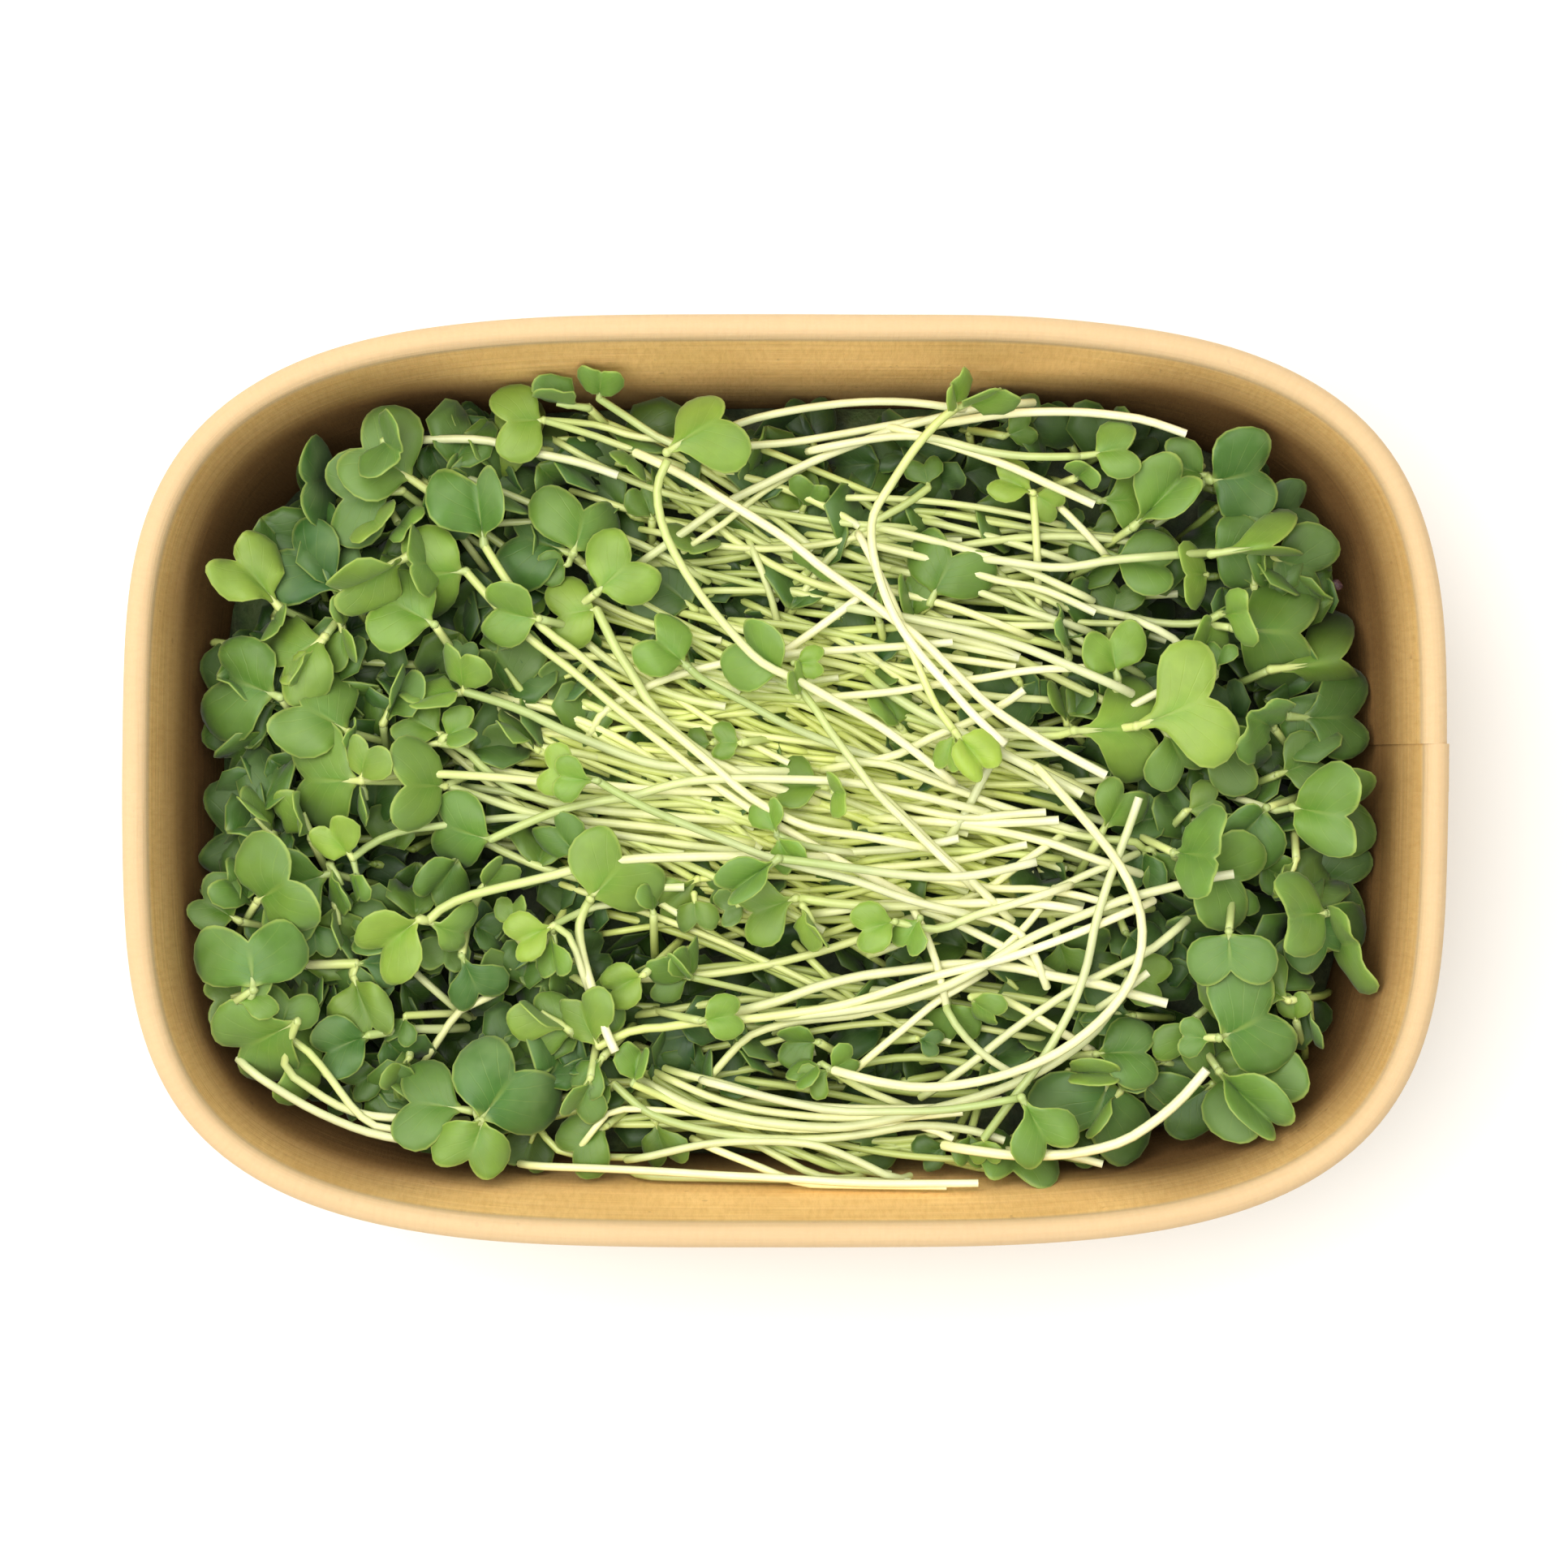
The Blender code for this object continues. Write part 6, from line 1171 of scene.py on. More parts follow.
def blade_grid(row, halves, rows):
    """Middle surface of one blade as rows of points, and its node, in millimetres, inside the wall."""
    x, y, depth, _, _, _, width, petiole, fold, curl = row[:10]
    rng = leaf_rng(row)
    skew = rng.uniform(-SKEW, SKEW)
    drift = rng.uniform(-DRIFT, DRIFT)
    twist = math.radians(rng.uniform(-TWIST, TWIST))
    phase = rng.uniform(0.0, 2 * math.pi)
    waves = rng.uniform(*WAVES)
    droop = rng.uniform(*LOBE_DROOP)
    lean = (fold + OWN_FOLD) * rng.uniform(*SLOPE_SPREAD)
    unlike = rng.uniform(-SLOPE_UNLIKE, SLOPE_UNLIKE)
    slopes = {-1.0: math.radians(lean - unlike), 0.0: 0.0, 1.0: math.radians(lean + unlike)}
    ruffle = rng.uniform(*MARGIN_WAVE)
    form = row[11] if len(row) > 11 else rng.uniform(*FORMS)
    side_curve, tip_curve = blade_outline(form, rng.uniform(-NOTCH_SWING, NOTCH_SWING))
    bend = math.radians(curl) / BLADE_LENGTH
    turn = leaf_turn(row)
    node = true_place(x, y, depth)
    stalk = Vector((0.0, petiole, 0.0))
    grid = []
    for step in range(rows + 1):
        v = step / rows
        line = []
        for across in range(-halves, halves + 1):
            u = abs(across) / halves
            side = math.copysign(1.0, across) if across else 0.0
            flat = half_blade(u, v, side_curve, tip_curve)
            px = flat.x * side * (1 + skew * side)
            py = flat.y
            rise = abs(px) * math.sin(slopes[side]) - droop * px * px
            rise += ruffle * max(u, v) ** 3 * math.sin(phase + waves * (py + side * px))
            px = px * math.cos(slopes[side])
            up = rise - (1 - math.cos(bend * py)) / bend
            curve = twist * py
            point = Vector((
                px * math.cos(curve) + rise * math.sin(curve) + drift * py * py,
                math.sin(bend * py) / bend,
                up * math.cos(curve) - px * math.sin(curve),
            ))
            line.append(turn @ (point * (width + LEAF_EXTRA) + stalk) + node)
        grid.append(line)
    for _ in range(MOST_PUSHES):
        pushes = [overshoot(point, WALL_MARGIN) for line in grid for point in line]
        furthest = max(pushes, key=lambda push: push.length)
        grid = [[point + furthest for point in line] for line in grid]
        node = node + furthest
    return grid, node


def raised_node(row, lift):
    """Where a leaf's stalk starts once the leaf is laid."""
    return blade_grid(row, *COARSE)[1] + Vector((0.0, 0.0, lift))


def grid_normals(grid):
    """Unit normals of a grid of points, with the pinched heel taking its neighbour's."""
    found = []
    for j, line in enumerate(grid):
        before = grid[max(j - 1, 0)]
        after = grid[min(j + 1, len(grid) - 1)]
        row = []
        for i in range(len(line)):
            wide = line[min(i + 1, len(line) - 1)] - line[max(i - 1, 0)]
            row.append(wide.cross(after[i] - before[i]).normalized())
        found.append(row)
    found[0] = found[1]
    return found


class PieceMesh:
    """Gathers the corners and faces of one piece, with what the plant materials read at each corner."""

    def __init__(self):
        self.corners = []
        self.faces = []
        self.slots = []
        self.values = {"across": [], "along": [], "tone": [], "chance": [], "under": []}

    def corner(self, place, across, along, tone, chance, under=0.0):
        self.corners.append(place)
        for name, value in zip(self.values, (across, along, tone, chance, under)):
            self.values[name].append(value)
        return len(self.corners) - 1

    def face(self, slot, *corners):
        self.faces.append(corners)
        self.slots.append(slot)

    def build(self, name, *finish):
        mesh = paint(new_mesh(name, self.corners, self.faces, (), self.values), *finish)
        mesh.polygons.foreach_set("material_index", self.slots)
        mesh.shade_smooth()
        return mesh


def blade_loop(rows, width):
    """Grid places along a blade's edge, once round."""
    loop = [(0, i) for i in range(width)]
    loop += [(j, width - 1) for j in range(1, rows + 1)]
    loop += [(rows, i) for i in range(width - 2, -1, -1)]
    return loop + [(j, 0) for j in range(rows - 1, 0, -1)]


def add_blade(piece, grid, age, thickness, chance, rounded=True):
    """Adds one closed blade: upper side, lower side and a rounded or a plain edge."""
    normals = grid_normals(grid)
    rows = len(grid) - 1
    width = len(grid[0])
    halves = width // 2
    upper = {}
    lower = {}
    for j in range(rows + 1):
        v = j / rows
        for i in range(width):
            u = abs(i - halves) / halves
            thin = MARGIN_THIN if max(u, v) > MARGIN_FROM or j == 0 else 1.0
            offset = normals[j][i] * (thickness / 2 * thin)
            upper[j, i] = piece.corner(grid[j][i] + offset, u, v, age, chance)
            lower[j, i] = piece.corner(grid[j][i] - offset, u, v, age, chance, 1.0)
    for j in range(rows):
        for i in range(width - 1):
            square = [(j, i), (j, i + 1), (j + 1, i + 1), (j + 1, i)]
            piece.face(LEAF_PAINT, *(upper[place] for place in square))
            piece.face(LEAF_PAINT, *(lower[place] for place in (square[0], *reversed(square[1:]))))
    loop = blade_loop(rows, width)
    edges = zip(loop, loop[1:] + loop[:1])
    if not rounded:
        for here, ahead in edges:
            piece.face(LEAF_PAINT, lower[here], lower[ahead], upper[ahead], upper[here])
        return
    rim = {}
    for j, i in loop:
        out = grid[j][i] - grid[min(max(j, 1), rows - 1)][min(max(i, 1), width - 2)]
        out = out.normalized() if out.length > 0.01 else Vector((0, 0, 0))
        across = 1.0 if j else abs(i - halves) / halves
        edge = grid[j][i] + out * thickness * MARGIN_OUT
        rim[j, i] = piece.corner(edge, across, j / rows, age, chance, 0.5)
    for here, ahead in edges:
        piece.face(LEAF_PAINT, rim[here], rim[ahead], upper[ahead], upper[here])
        piece.face(LEAF_PAINT, lower[here], lower[ahead], rim[ahead], rim[here])


def add_tube(piece, points, radii, sides, values, slot=1):
    """Adds a closed tube along the points; values gives what the materials read at each point."""
    rings = []
    across = None
    for index, point in enumerate(points):
        along = (points[min(index + 1, len(points) - 1)] - points[max(index - 1, 0)]).normalized()
        if across is None:
            guide = Vector((0, 0, 1)) if abs(along.z) < STEEP else Vector((1, 0, 0))
            across = along.cross(guide).normalized()
        across = (across - along * across.dot(along)).normalized()
        over = along.cross(across)
        ring = []
        for side in range(sides):
            turn = 2 * math.pi * side / sides
            place = point + (across * math.cos(turn) + over * math.sin(turn)) * radii[index]
            ring.append(piece.corner(place, 0.0, *values[index]))
        rings.append(ring)
    for lower, upper in zip(rings, rings[1:]):
        for side in range(sides):
            after = (side + 1) % sides
            piece.face(slot, lower[side], lower[after], upper[after], upper[side])
    piece.face(slot, *reversed(rings[0]))
    piece.face(slot, *rings[-1])


def add_leaf(piece, row, lift, joint=None):
    """Adds one seed leaf and its stalk, which runs on under the blade as its midrib."""
    thickness = bpy.context.scene.microgreens_leaf.thickness / MM
    halves, rows = next(detail for least, *detail in DETAILS if row[6] >= least)
    grid, node = blade_grid(row, halves, rows)
    rise = Vector((0.0, 0.0, lift))
    grid = [[point + rise for point in line] for line in grid]
    node = node + rise
    chance = leaf_rng(row).random()
    add_blade(piece, grid, row[10], thickness, chance)
    normals = grid_normals(grid)
    heel = grid[0][halves]
    least, growth, most = STALK_THICK
    thick = min(most, least + growth * row[6])
    start = joint if joint and (joint - node).length < JOINT_BRIDGE else node
    back = (start - heel).normalized() * thick
    path = [start + back, start + back * 0.55, node]
    radii = [thick * share for share in STALK_START]
    for step in range(1, PETIOLE_POINTS):
        share = step / (PETIOLE_POINTS - 1)
        path.append(node.lerp(heel, share) - normals[1][halves] * RIB_SUNK[0] * share)
        radii.append(thick * (STALK_START[-1] - STALK_TAPER * share))
    for j in range(1, rows - 2):
        path.append(grid[j][halves] - normals[j][halves] * (thickness * 0.5 + RIB_SUNK[1]))
        radii.append(thick * (STALK_START[-1] - STALK_TAPER) * (1.0 - j / (rows - 1)) + RIB_LEAST)
    values = [(0.1, 0.55 + 0.35 * row[10], chance)] * len(path)
    add_tube(piece, path, radii, PETIOLE_SIDES, values)


def sunk_end(end, before):
    """Where a stem's end that shows neither a cut nor a leaf goes on, down into the heap."""
    return end + (end - before).normalized() * SUNK_REACH - Vector((0, 0, SUNK_DEPTH))


def stem_places(stem, lift=0.0, leaf_first=False, node=None):
    """Places along a stem, from its leaf end to its cut end, inside the wall."""
    radius, first, last, cut, points = stem
    count = len(points) - 1
    places = [true_place(x, y, first + (last - first) * index / count) for index, (x, y) in enumerate(points)]
    if cut < 0:
        places.reverse()
    if not cut:
        places.append(sunk_end(places[-1], places[-2]))
    if not leaf_first:
        places.insert(0, sunk_end(places[0], places[1]))
    rise = Vector((0, 0, lift))
    kept = [place + overshoot(place, radius + WALL_MARGIN) + rise for place in places]
    return [node] + kept[1:] if node else kept


def stem_start(stem):
    return stem[4][-1] if stem[3] < 0 else stem[4][0]


def leaf_joints():
    """Where the growing points of the heaps' leaves lie once they are laid: as read, and in space."""
    lifts = laid()
    return [
        (row[:2], raised_node(row, lifts[name, number]))
        for name, rows in LEAVES.items()
        for number, row in enumerate(rows)
    ]


def joint_near(start, joints):
    """The leaf joint that a stem starts from, if one is near enough."""
    place, node = min(joints, key=lambda joint: math.dist(joint[0], start))
    return node if math.dist(place, start) < LEAF_END_REACH else None


def along_values(places, leaf_first, cut):
    """How far along its plant each place of a stem is: 0 at the leaves, 1 at the cut."""
    lengths = [0.0]
    for before, after in zip(places, places[1:]):
        lengths.append(lengths[-1] + (after - before).length)
    start = 0.0 if leaf_first else HIDDEN_ENDS[0]
    end = 1.0 if cut else HIDDEN_ENDS[1]
    return [start + (end - start) * length / lengths[-1] for length in lengths]


def blade_proxy(row):
    """Two coarse sheets that bound a blade: their corners and faces."""
    grid = blade_grid(row, *COARSE)[0]
    normals = grid_normals(grid)
    wide = len(grid[0])
    corners = []
    faces = []
    for side in (PROXY_HALF, -PROXY_HALF):
        base = len(corners)
        for line, row_normals in zip(grid, normals):
            corners += [point + normal * side for point, normal in zip(line, row_normals)]
        for j in range(len(grid) - 1):
            for i in range(wide - 1):
                a = base + j * wide + i
                faces.append((a, a + 1, a + wide + 1, a + wide))
    return corners, faces


def stem_proxy(stem):
    """A four-sided tube along a stem: its corners and faces."""
    piece = PieceMesh()
    places = stem_places(stem, 0.0, True)
    add_tube(piece, places, [stem[0]] * len(places), 4, [(0.0, 0.0, 0.0)] * len(places))
    return piece.corners, piece.faces


def raised_trees(proxies, lift):
    rise = Vector((0, 0, lift))
    return [BVHTree.FromPolygons([corner + rise for corner in corners], faces) for corners, faces in proxies]


def cad_lift(node, leaves, stem=None):
    """How far a leaf or a sprout is raised, so that its middle is as high as its CAD node's."""
    heights = [point.z for row in leaves for line in blade_grid(row, *COARSE)[0] for point in line]
    if stem:
        heights += [place.z for place in stem_places(stem, 0.0, True)[:-1]]
    low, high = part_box(node)
    return (low.z + high.z) / 2 / MM - (min(heights) + max(heights)) / 2


def leaf_clusters(rows):
    """Numbers of the leaves that share each growing point."""
    clusters = []
    for number, row in enumerate(rows):
        for cluster in clusters:
            if math.dist(row[:2], rows[cluster[0]][:2]) < JOINT_SPACING:
                cluster.append(number)
                break
        else:
            clusters.append([number])
    return clusters


def plant_groups():
    """What is raised as one: its depth, its leaves' keys, its stems and, where its node sets it, the lift."""
    groups = []
    free = dict(enumerate(STEMS))
    for name, rows in LEAVES.items():
        for cluster in leaf_clusters(rows):
            node = rows[cluster[0]][:2]
            own = [index for index, stem in free.items() if math.dist(stem[4][0], node) < JOINT_SPACING]
            depth = sum(rows[number][2] for number in cluster) / len(cluster)
            groups.append((depth, [(name, number) for number in cluster], own, None))
            for index in own:
                free.pop(index)
    for index, stem in free.items():
        groups.append(((stem[1] + stem[2]) / 2, [], [index], None))
    for number, row in enumerate(TUCKED):
        groups.append((row[2], [("tucked", number)], [], cad_lift(tucked_node(number), [row])))
    for number, (leaves, stem) in enumerate(SPROUTS):
        keys = [("sprout", number, part) for part in range(len(leaves))]
        groups.append((leaves[0][2], keys, [], cad_lift(sprout_node(number), leaves, stem)))
    return groups


def tucked_node(number):
    return f"tucked_leaf_{number + 1:02d}"


def sprout_node(number):
    return f"loose_sprout_{number + 1:02d}"


def find_row(key):
    if key[0] == "tucked":
        return TUCKED[key[1]]
    if key[0] == "sprout":
        return SPROUTS[key[1]][0][key[2]]
    return LEAVES[key[0]][key[1]]


LAID = {}


def laid():
    """How far each leaf and stem is raised so that nothing cuts through a leaf, from the deepest up."""
    if LAID:
        return LAID
    leaf_trees = []
    stem_trees = []
    for _, leaves, own, fixed in sorted(plant_groups(), key=lambda group: -group[0]):
        blades = [blade_proxy(find_row(key)) for key in leaves]
        tubes = [stem_proxy(STEMS[index]) for index in own]
        best = None
        lifts = [step * LIFT_STEP for step in range(MOST_LIFTS + 1)] if fixed is None else [fixed]
        for lift in lifts:
            raised_blades = raised_trees(blades, lift)
            raised_tubes = raised_trees(tubes, lift)
            others = leaf_trees + stem_trees
            touching = sum(1 for tree in raised_blades for other in others if tree.overlap(other))
            touching += sum(1 for tree in raised_tubes for other in leaf_trees if tree.overlap(other))
            if best is None or touching < best[0]:
                best = (touching, lift, raised_blades, raised_tubes)
            if not touching:
                break
        leaf_trees += best[2]
        stem_trees += best[3]
        for key in leaves + [("stem", index) for index in own]:
            LAID[key] = best[1]
    return LAID


def smooth_path(places, shares):
    """Catmull-Rom points at these shares between the places, each with its place's number and its share."""
    found = []
    for index in range(len(places) - 1):
        a = places[max(index - 1, 0)]
        b = places[index]
        c = places[index + 1]
        d = places[min(index + 2, len(places) - 1)]
        for t in shares:
            square = (2 * a - 5 * b + 4 * c - d) * t * t
            found.append((0.5 * (2 * b + (c - a) * t + square + (3 * b - a - 3 * c + d) * t ** 3), index, t))
    return found + [(places[-1], len(places) - 1, 0.0)]


def add_stalk(piece, row, lift):
    """A stem that goes back and down from a leaf's node until the heap hides it."""
    rng = leaf_rng(row)
    away = math.radians(row[3] + 180.0 + rng.uniform(-STALK_TURN, STALK_TURN))
    node = raised_node(row, lift)
    places = []
    for reach, drop in STALK_REACH:
        place = node + Vector((math.cos(away) * reach, math.sin(away) * reach, -drop))
        places.append(place + overshoot(place, STALK_MARGIN))
    values = [(0.15 + 0.1 * index, 0.75, rng.random()) for index in range(len(places))]
    path = smooth_path(places, (0.0, 0.5))
    points = [point for point, _, _ in path]
    places = [values[index] for _, index, _ in path]
    add_tube(piece, points, [STALK_RADIUS] * len(path), PETIOLE_SIDES, places)


def heap_mesh(name):
    """All the leaves of one heap as one mesh, each with a stalk that goes down into the heap."""
    piece = PieceMesh()
    joints = leaf_joints()
    starts = [stem_start(stem) for stem in STEMS]
    stemmed = [(start, joint_near(start, joints)) for start in starts if joint_near(start, joints)]
    for number, row in enumerate(LEAVES[name]):
        lift = laid()[name, number]
        joint = next((node for start, node in stemmed if math.dist(row[:2], start) < LEAF_END_REACH), None)
        add_leaf(piece, row, lift, joint)
        if not joint:
            stemmed.append((row[:2], raised_node(row, lift)))
            add_stalk(piece, row, lift)
    return piece.build(name, *PLANT_PAINT)


def tucked_mesh(number):
    piece = PieceMesh()
    add_leaf(piece, TUCKED[number], laid()["tucked", number])
    return piece.build(f"tucked_{number + 1:02d}", *PLANT_PAINT)


def sprout_mesh(number):
    """One loose sprout: its leaves, and its stem if it shows."""
    leaves, stem = SPROUTS[number]
    piece = PieceMesh()
    for part, row in enumerate(leaves):
        add_leaf(piece, row, laid()["sprout", number, part])
    lift = laid()["sprout", number, 0]
    if stem:
        places = stem_places(stem, lift, True)
        along = along_values(places, True, stem[3])
        chance = leaf_rng(leaves[0]).random()
        path = smooth_path(places, (0.0, 0.34, 0.67))
        values = []
        for _, index, share in path:
            ahead = along[min(index + 1, len(along) - 1)]
            values.append((along[index] + (ahead - along[index]) * share, 0.0, chance))
        points = [point for point, _, _ in path]
        add_tube(piece, points, [stem[0] * STEM_SLIM] * len(path), SPROUT_SIDES, values)
    else:
        add_stalk(piece, leaves[0], lift)
    return piece.build(f"sprout_{number + 1:02d}", *PLANT_PAINT)


def finish_tree(tree, shape, finish, result):
    """Ends a Geometry Nodes tree: plain geometry with its material."""
    real = wire(tree, "GeometryNodeRealizeInstances", {0: shape})
    painted = wire(tree, "GeometryNodeSetMaterial", {0: real, 2: finish})
    tree.links.new(painted, result[0])
    return tree


def stem_tree():
    """Geometry Nodes: smooth tubes along a polyline's edges, as thick as its own attribute says."""
    tree, given, result = node_tree(
        "Stem tubes", "Geometry",
        {"Geometry": "Geometry", "Sides": "Int", "Ring spacing": "Float", "Finish": "Material"},
        {"Geometry": "Geometry"})
    curve = wire(tree, "GeometryNodeMeshToCurve", {0: given["Geometry"]})
    smooth = wire(tree, "GeometryNodeCurveSplineType", {0: curve}, {"spline_type": "CATMULL_ROM"})
    spacing = {0: smooth, "Length": given["Ring spacing"]}
    even = wire(tree, "GeometryNodeResampleCurve", spacing, {"mode": "LENGTH"})
    thick = wire(tree, "GeometryNodeInputNamedAttribute", {"Name": "thick"}, {"data_type": "FLOAT"})
    circle = {"Resolution": given["Sides"], "Radius": 1.0}
    ring = wire(tree, "GeometryNodeCurvePrimitiveCircle", circle)
    tube = wire(tree, "GeometryNodeCurveToMesh", {0: even, 1: ring, 2: thick, 3: True})
    shaded = wire(tree, "GeometryNodeSetShadeSmooth", {0: tube})
    return finish_tree(tree, shaded, given["Finish"], result)


def strewn_tree():
    """Geometry Nodes: leaves strewn over layers, each turned, tilted, sized and raised by chance."""
    numbers = dict.fromkeys(("Density", "Tilt", "Smallest", "Largest", "Lift"), "Float")
    tree, given, result = node_tree(
        "Strewn leaves", "Geometry",
        {"Geometry": "Geometry", "Leaf": "Object", **numbers, "Seed": "Int", "Finish": "Material"},
        {"Geometry": "Geometry"})
    seed = given["Seed"]
    tilt = given["Tilt"]
    spread = {0: given["Geometry"], "Density": given["Density"], "Seed": seed}
    spots = wire(tree, "GeometryNodeDistributePointsOnFaces", spread)
    back = times(tree, tilt, -1.0)
    lowest = wire(tree, "ShaderNodeCombineXYZ", {0: back, 1: back})
    highest = wire(tree, "ShaderNodeCombineXYZ", {0: tilt, 1: tilt, 2: 2 * math.pi})
    vector = {"data_type": "FLOAT_VECTOR"}
    turned = wire(tree, "FunctionNodeRandomValue", {0: lowest, 1: highest, "Seed": seed}, vector)
    sizes = {2: given["Smallest"], 3: given["Largest"], "Seed": seed}
    sized = add_node(tree, "FunctionNodeRandomValue", {"data_type": "FLOAT"}, sizes).outputs[1]
    leaf = add_node(tree, "GeometryNodeObjectInfo", None, {0: given["Leaf"]}).outputs["Geometry"]
    places = {0: spots, 2: leaf, 5: turned, 6: sized}
    placed = wire(tree, "GeometryNodeInstanceOnPoints", places)
    top = wire(tree, "ShaderNodeCombineXYZ", {2: given["Lift"]})
    rise = {0: (0.0, 0.0, 0.0), 1: top, "Seed": seed}
    height = wire(tree, "FunctionNodeRandomValue", rise, vector)
    shape = wire(tree, "GeometryNodeTranslateInstances", {0: placed, 2: height, 3: False})
    for number, (label, low) in enumerate((("tone", 0.55), ("chance", 0.0))):
        draw = {2: low, 3: 1.0, "Seed": STREWN_SEED + number}
        value = add_node(tree, "FunctionNodeRandomValue", {"data_type": "FLOAT"}, draw).outputs[1]
        store = {"data_type": "FLOAT", "domain": "INSTANCE"}
        inputs = {0: shape, "Name": label, "Value": value}
        shape = wire(tree, "GeometryNodeStoreNamedAttribute", inputs, store)
    return finish_tree(tree, shape, given["Finish"], result)


def grown_mesh(name, source, tree, values):
    """Runs a Geometry Nodes tree on a mesh and gives back the result as a plain mesh."""
    holder = add_object(name + "_source", source)
    modifier = holder.modifiers.new("grow", "NODES")
    modifier.node_group = tree
    for item in tree.interface.items_tree:
        if item.item_type == "SOCKET" and item.in_out == "INPUT" and item.name in values:
            modifier[item.identifier] = values[item.name]
    graph = bpy.context.evaluated_depsgraph_get()
    mesh = bpy.data.meshes.new_from_object(holder.evaluated_get(graph))
    holder.modifiers.remove(modifier)
    bpy.data.objects.remove(holder)
    if not mesh.polygons:
        raise RuntimeError(f"{name}: the tree made no faces")
    mesh.name = name
    return mesh


def hidden_stems(settings):
    """Stems under the mat, which follow the way the listed ones lie."""
    rng = random.Random(settings.seed)
    made = []
    for left, right, low, high, flow, count, top, bottom in HIDDEN_BANDS:
        for _ in range(round(count * settings.hidden_share)):
            x = rng.uniform(left, right)
            y = rng.uniform(low, high)
            heading = math.radians(flow + rng.gauss(0.0, HIDDEN_SPREAD))
            length = rng.uniform(*HIDDEN_LENGTH)
            bow = rng.uniform(-HIDDEN_BOW, HIDDEN_BOW)
            depth = rng.uniform(top, bottom)
            fall = rng.uniform(-HIDDEN_FALL, HIDDEN_FALL)
            points = []
            for step in range(HIDDEN_STEPS + 1):
                run = length * (step / HIDDEN_STEPS - 0.5)
                side = bow * length * (1 - (2 * step / HIDDEN_STEPS - 1) ** 2)
                px = x + math.cos(heading) * run - math.sin(heading) * side
                py = y + math.sin(heading) * run + math.cos(heading) * side
                points.append((px, py))
            made.append((rng.uniform(*HIDDEN_RADIUS), depth, depth + fall, rng.choice((0, 1)), points))
    return made


def stem_lines(stems):
    """Polylines of the stems, with their thickness and what the stem material reads."""
    lifts = laid()
    joints = leaf_joints()
    corners = []
    edges = []
    values = {"thick": [], "along": [], "tone": [], "chance": []}
    for number, stem in enumerate(stems):
        listed = number < len(STEMS)
        node = joint_near(stem_start(stem), joints) if listed else None
        places = stem_places(stem, lifts.get(("stem", number), 0.0), bool(node), node)
        rng = random.Random(number * STEM_SEED[0] + STEM_SEED[1])
        chance = rng.random()
        tone = rng.uniform(*(LISTED_TONE if listed else HIDDEN_TONE))
        edges += [(index, index + 1) for index in range(len(corners), len(corners) + len(places) - 1)]
        corners += places
        values["thick"] += [stem[0] * STEM_SLIM * MM] * len(places)
        values["along"] += along_values(places, bool(node), stem[3])
        values["tone"] += [tone] * len(places)
        values["chance"] += [chance] * len(places)
    return new_mesh("stem_lines", corners, [], edges, values)


def layer_mesh():
    """The layers that the strewn leaves lie on: grids clipped to the inside of the tray."""
    corners = []
    faces = []
    for low, high, depth in FILL_ZONES:
        height = TRAY_HEIGHT - depth
        halves = inner_halves(height, SHEET_MARGIN)
        for i in range(int((high - low) / SHEET_STEP)):
            for j in range(int(2 * halves[1] / SHEET_STEP)):
                x = low + i * SHEET_STEP
                y = -halves[1] + j * SHEET_STEP
                cell = [(x, y), (x + SHEET_STEP, y), (x + SHEET_STEP, y + SHEET_STEP), (x, y + SHEET_STEP)]
                if max(outline_reach(px, py, *halves) for px, py in cell) <= 1.0:
                    faces.append(tuple(range(len(corners), len(corners) + 4)))
                    corners += [Vector((px, py, height)) for px, py in cell]
    return new_mesh("layers", corners, faces)


def strewn_leaf(width):
    """The plain leaf that is strewn: one small closed blade round the origin."""
    row = (*STREWN_ROW[:6], width, *STREWN_ROW[7:])
    piece = PieceMesh()
    halves, rows = STREWN_DETAIL
    grid = blade_grid(row, halves, rows)[0]
    middle = grid[2][halves]
    grid = [[point - middle for point in line] for line in grid]
    thickness = bpy.context.scene.microgreens_leaf.thickness / MM
    add_blade(piece, grid, row[10], thickness, 0.5, rounded=False)
    mesh = piece.build("strewn_leaf", "leaf_skin")
    for label in ("tone", "chance"):
        mesh.attributes.remove(mesh.attributes[label])
    return add_object("strewn_leaf", mesh)


def bed_mesh():
    """Packed filling from the tray's floor up to a bumpy top under the leaves."""
    top = TRAY_HEIGHT - BED_DEPTH
    bottom = FLOOR_TOP + CLEARANCE
    half_x, half_y = inner_halves(top, BED_GAP)
    places = [Vector((0.0, 0.0))]
    for ring in range(1, BED_RINGS + 1):
        share = ring / BED_RINGS
        places += [point for point, _, _ in outline(half_x * share, half_y * share, BED_SPOKES)[0]]
    corners = []
    for place in places:
        bump = BED_BUMP * noise.noise(Vector((*(place * BED_GRAIN), 0.0)))
        corners.append(Vector((*place, top + bump)))
    foot = outline(*inner_halves(bottom, BED_GAP), BED_SPOKES)[0]
    corners += [Vector((*point, bottom)) for point, _, _ in foot]
    last = 1 + BED_RINGS * BED_SPOKES
    faces = []
    for index in range(BED_SPOKES):
        after = (index + 1) % BED_SPOKES
        faces.append((0, 1 + index, 1 + after))
        for low in range(1, last, BED_SPOKES):
            high = low + BED_SPOKES
            faces.append((low + index, high + index, high + after, low + after))
    faces.append(tuple(reversed(range(last, last + BED_SPOKES))))
    mesh = new_mesh("packed_bed", corners, faces)
    mesh.shade_smooth()
    return paint(mesh, "packed_greens")


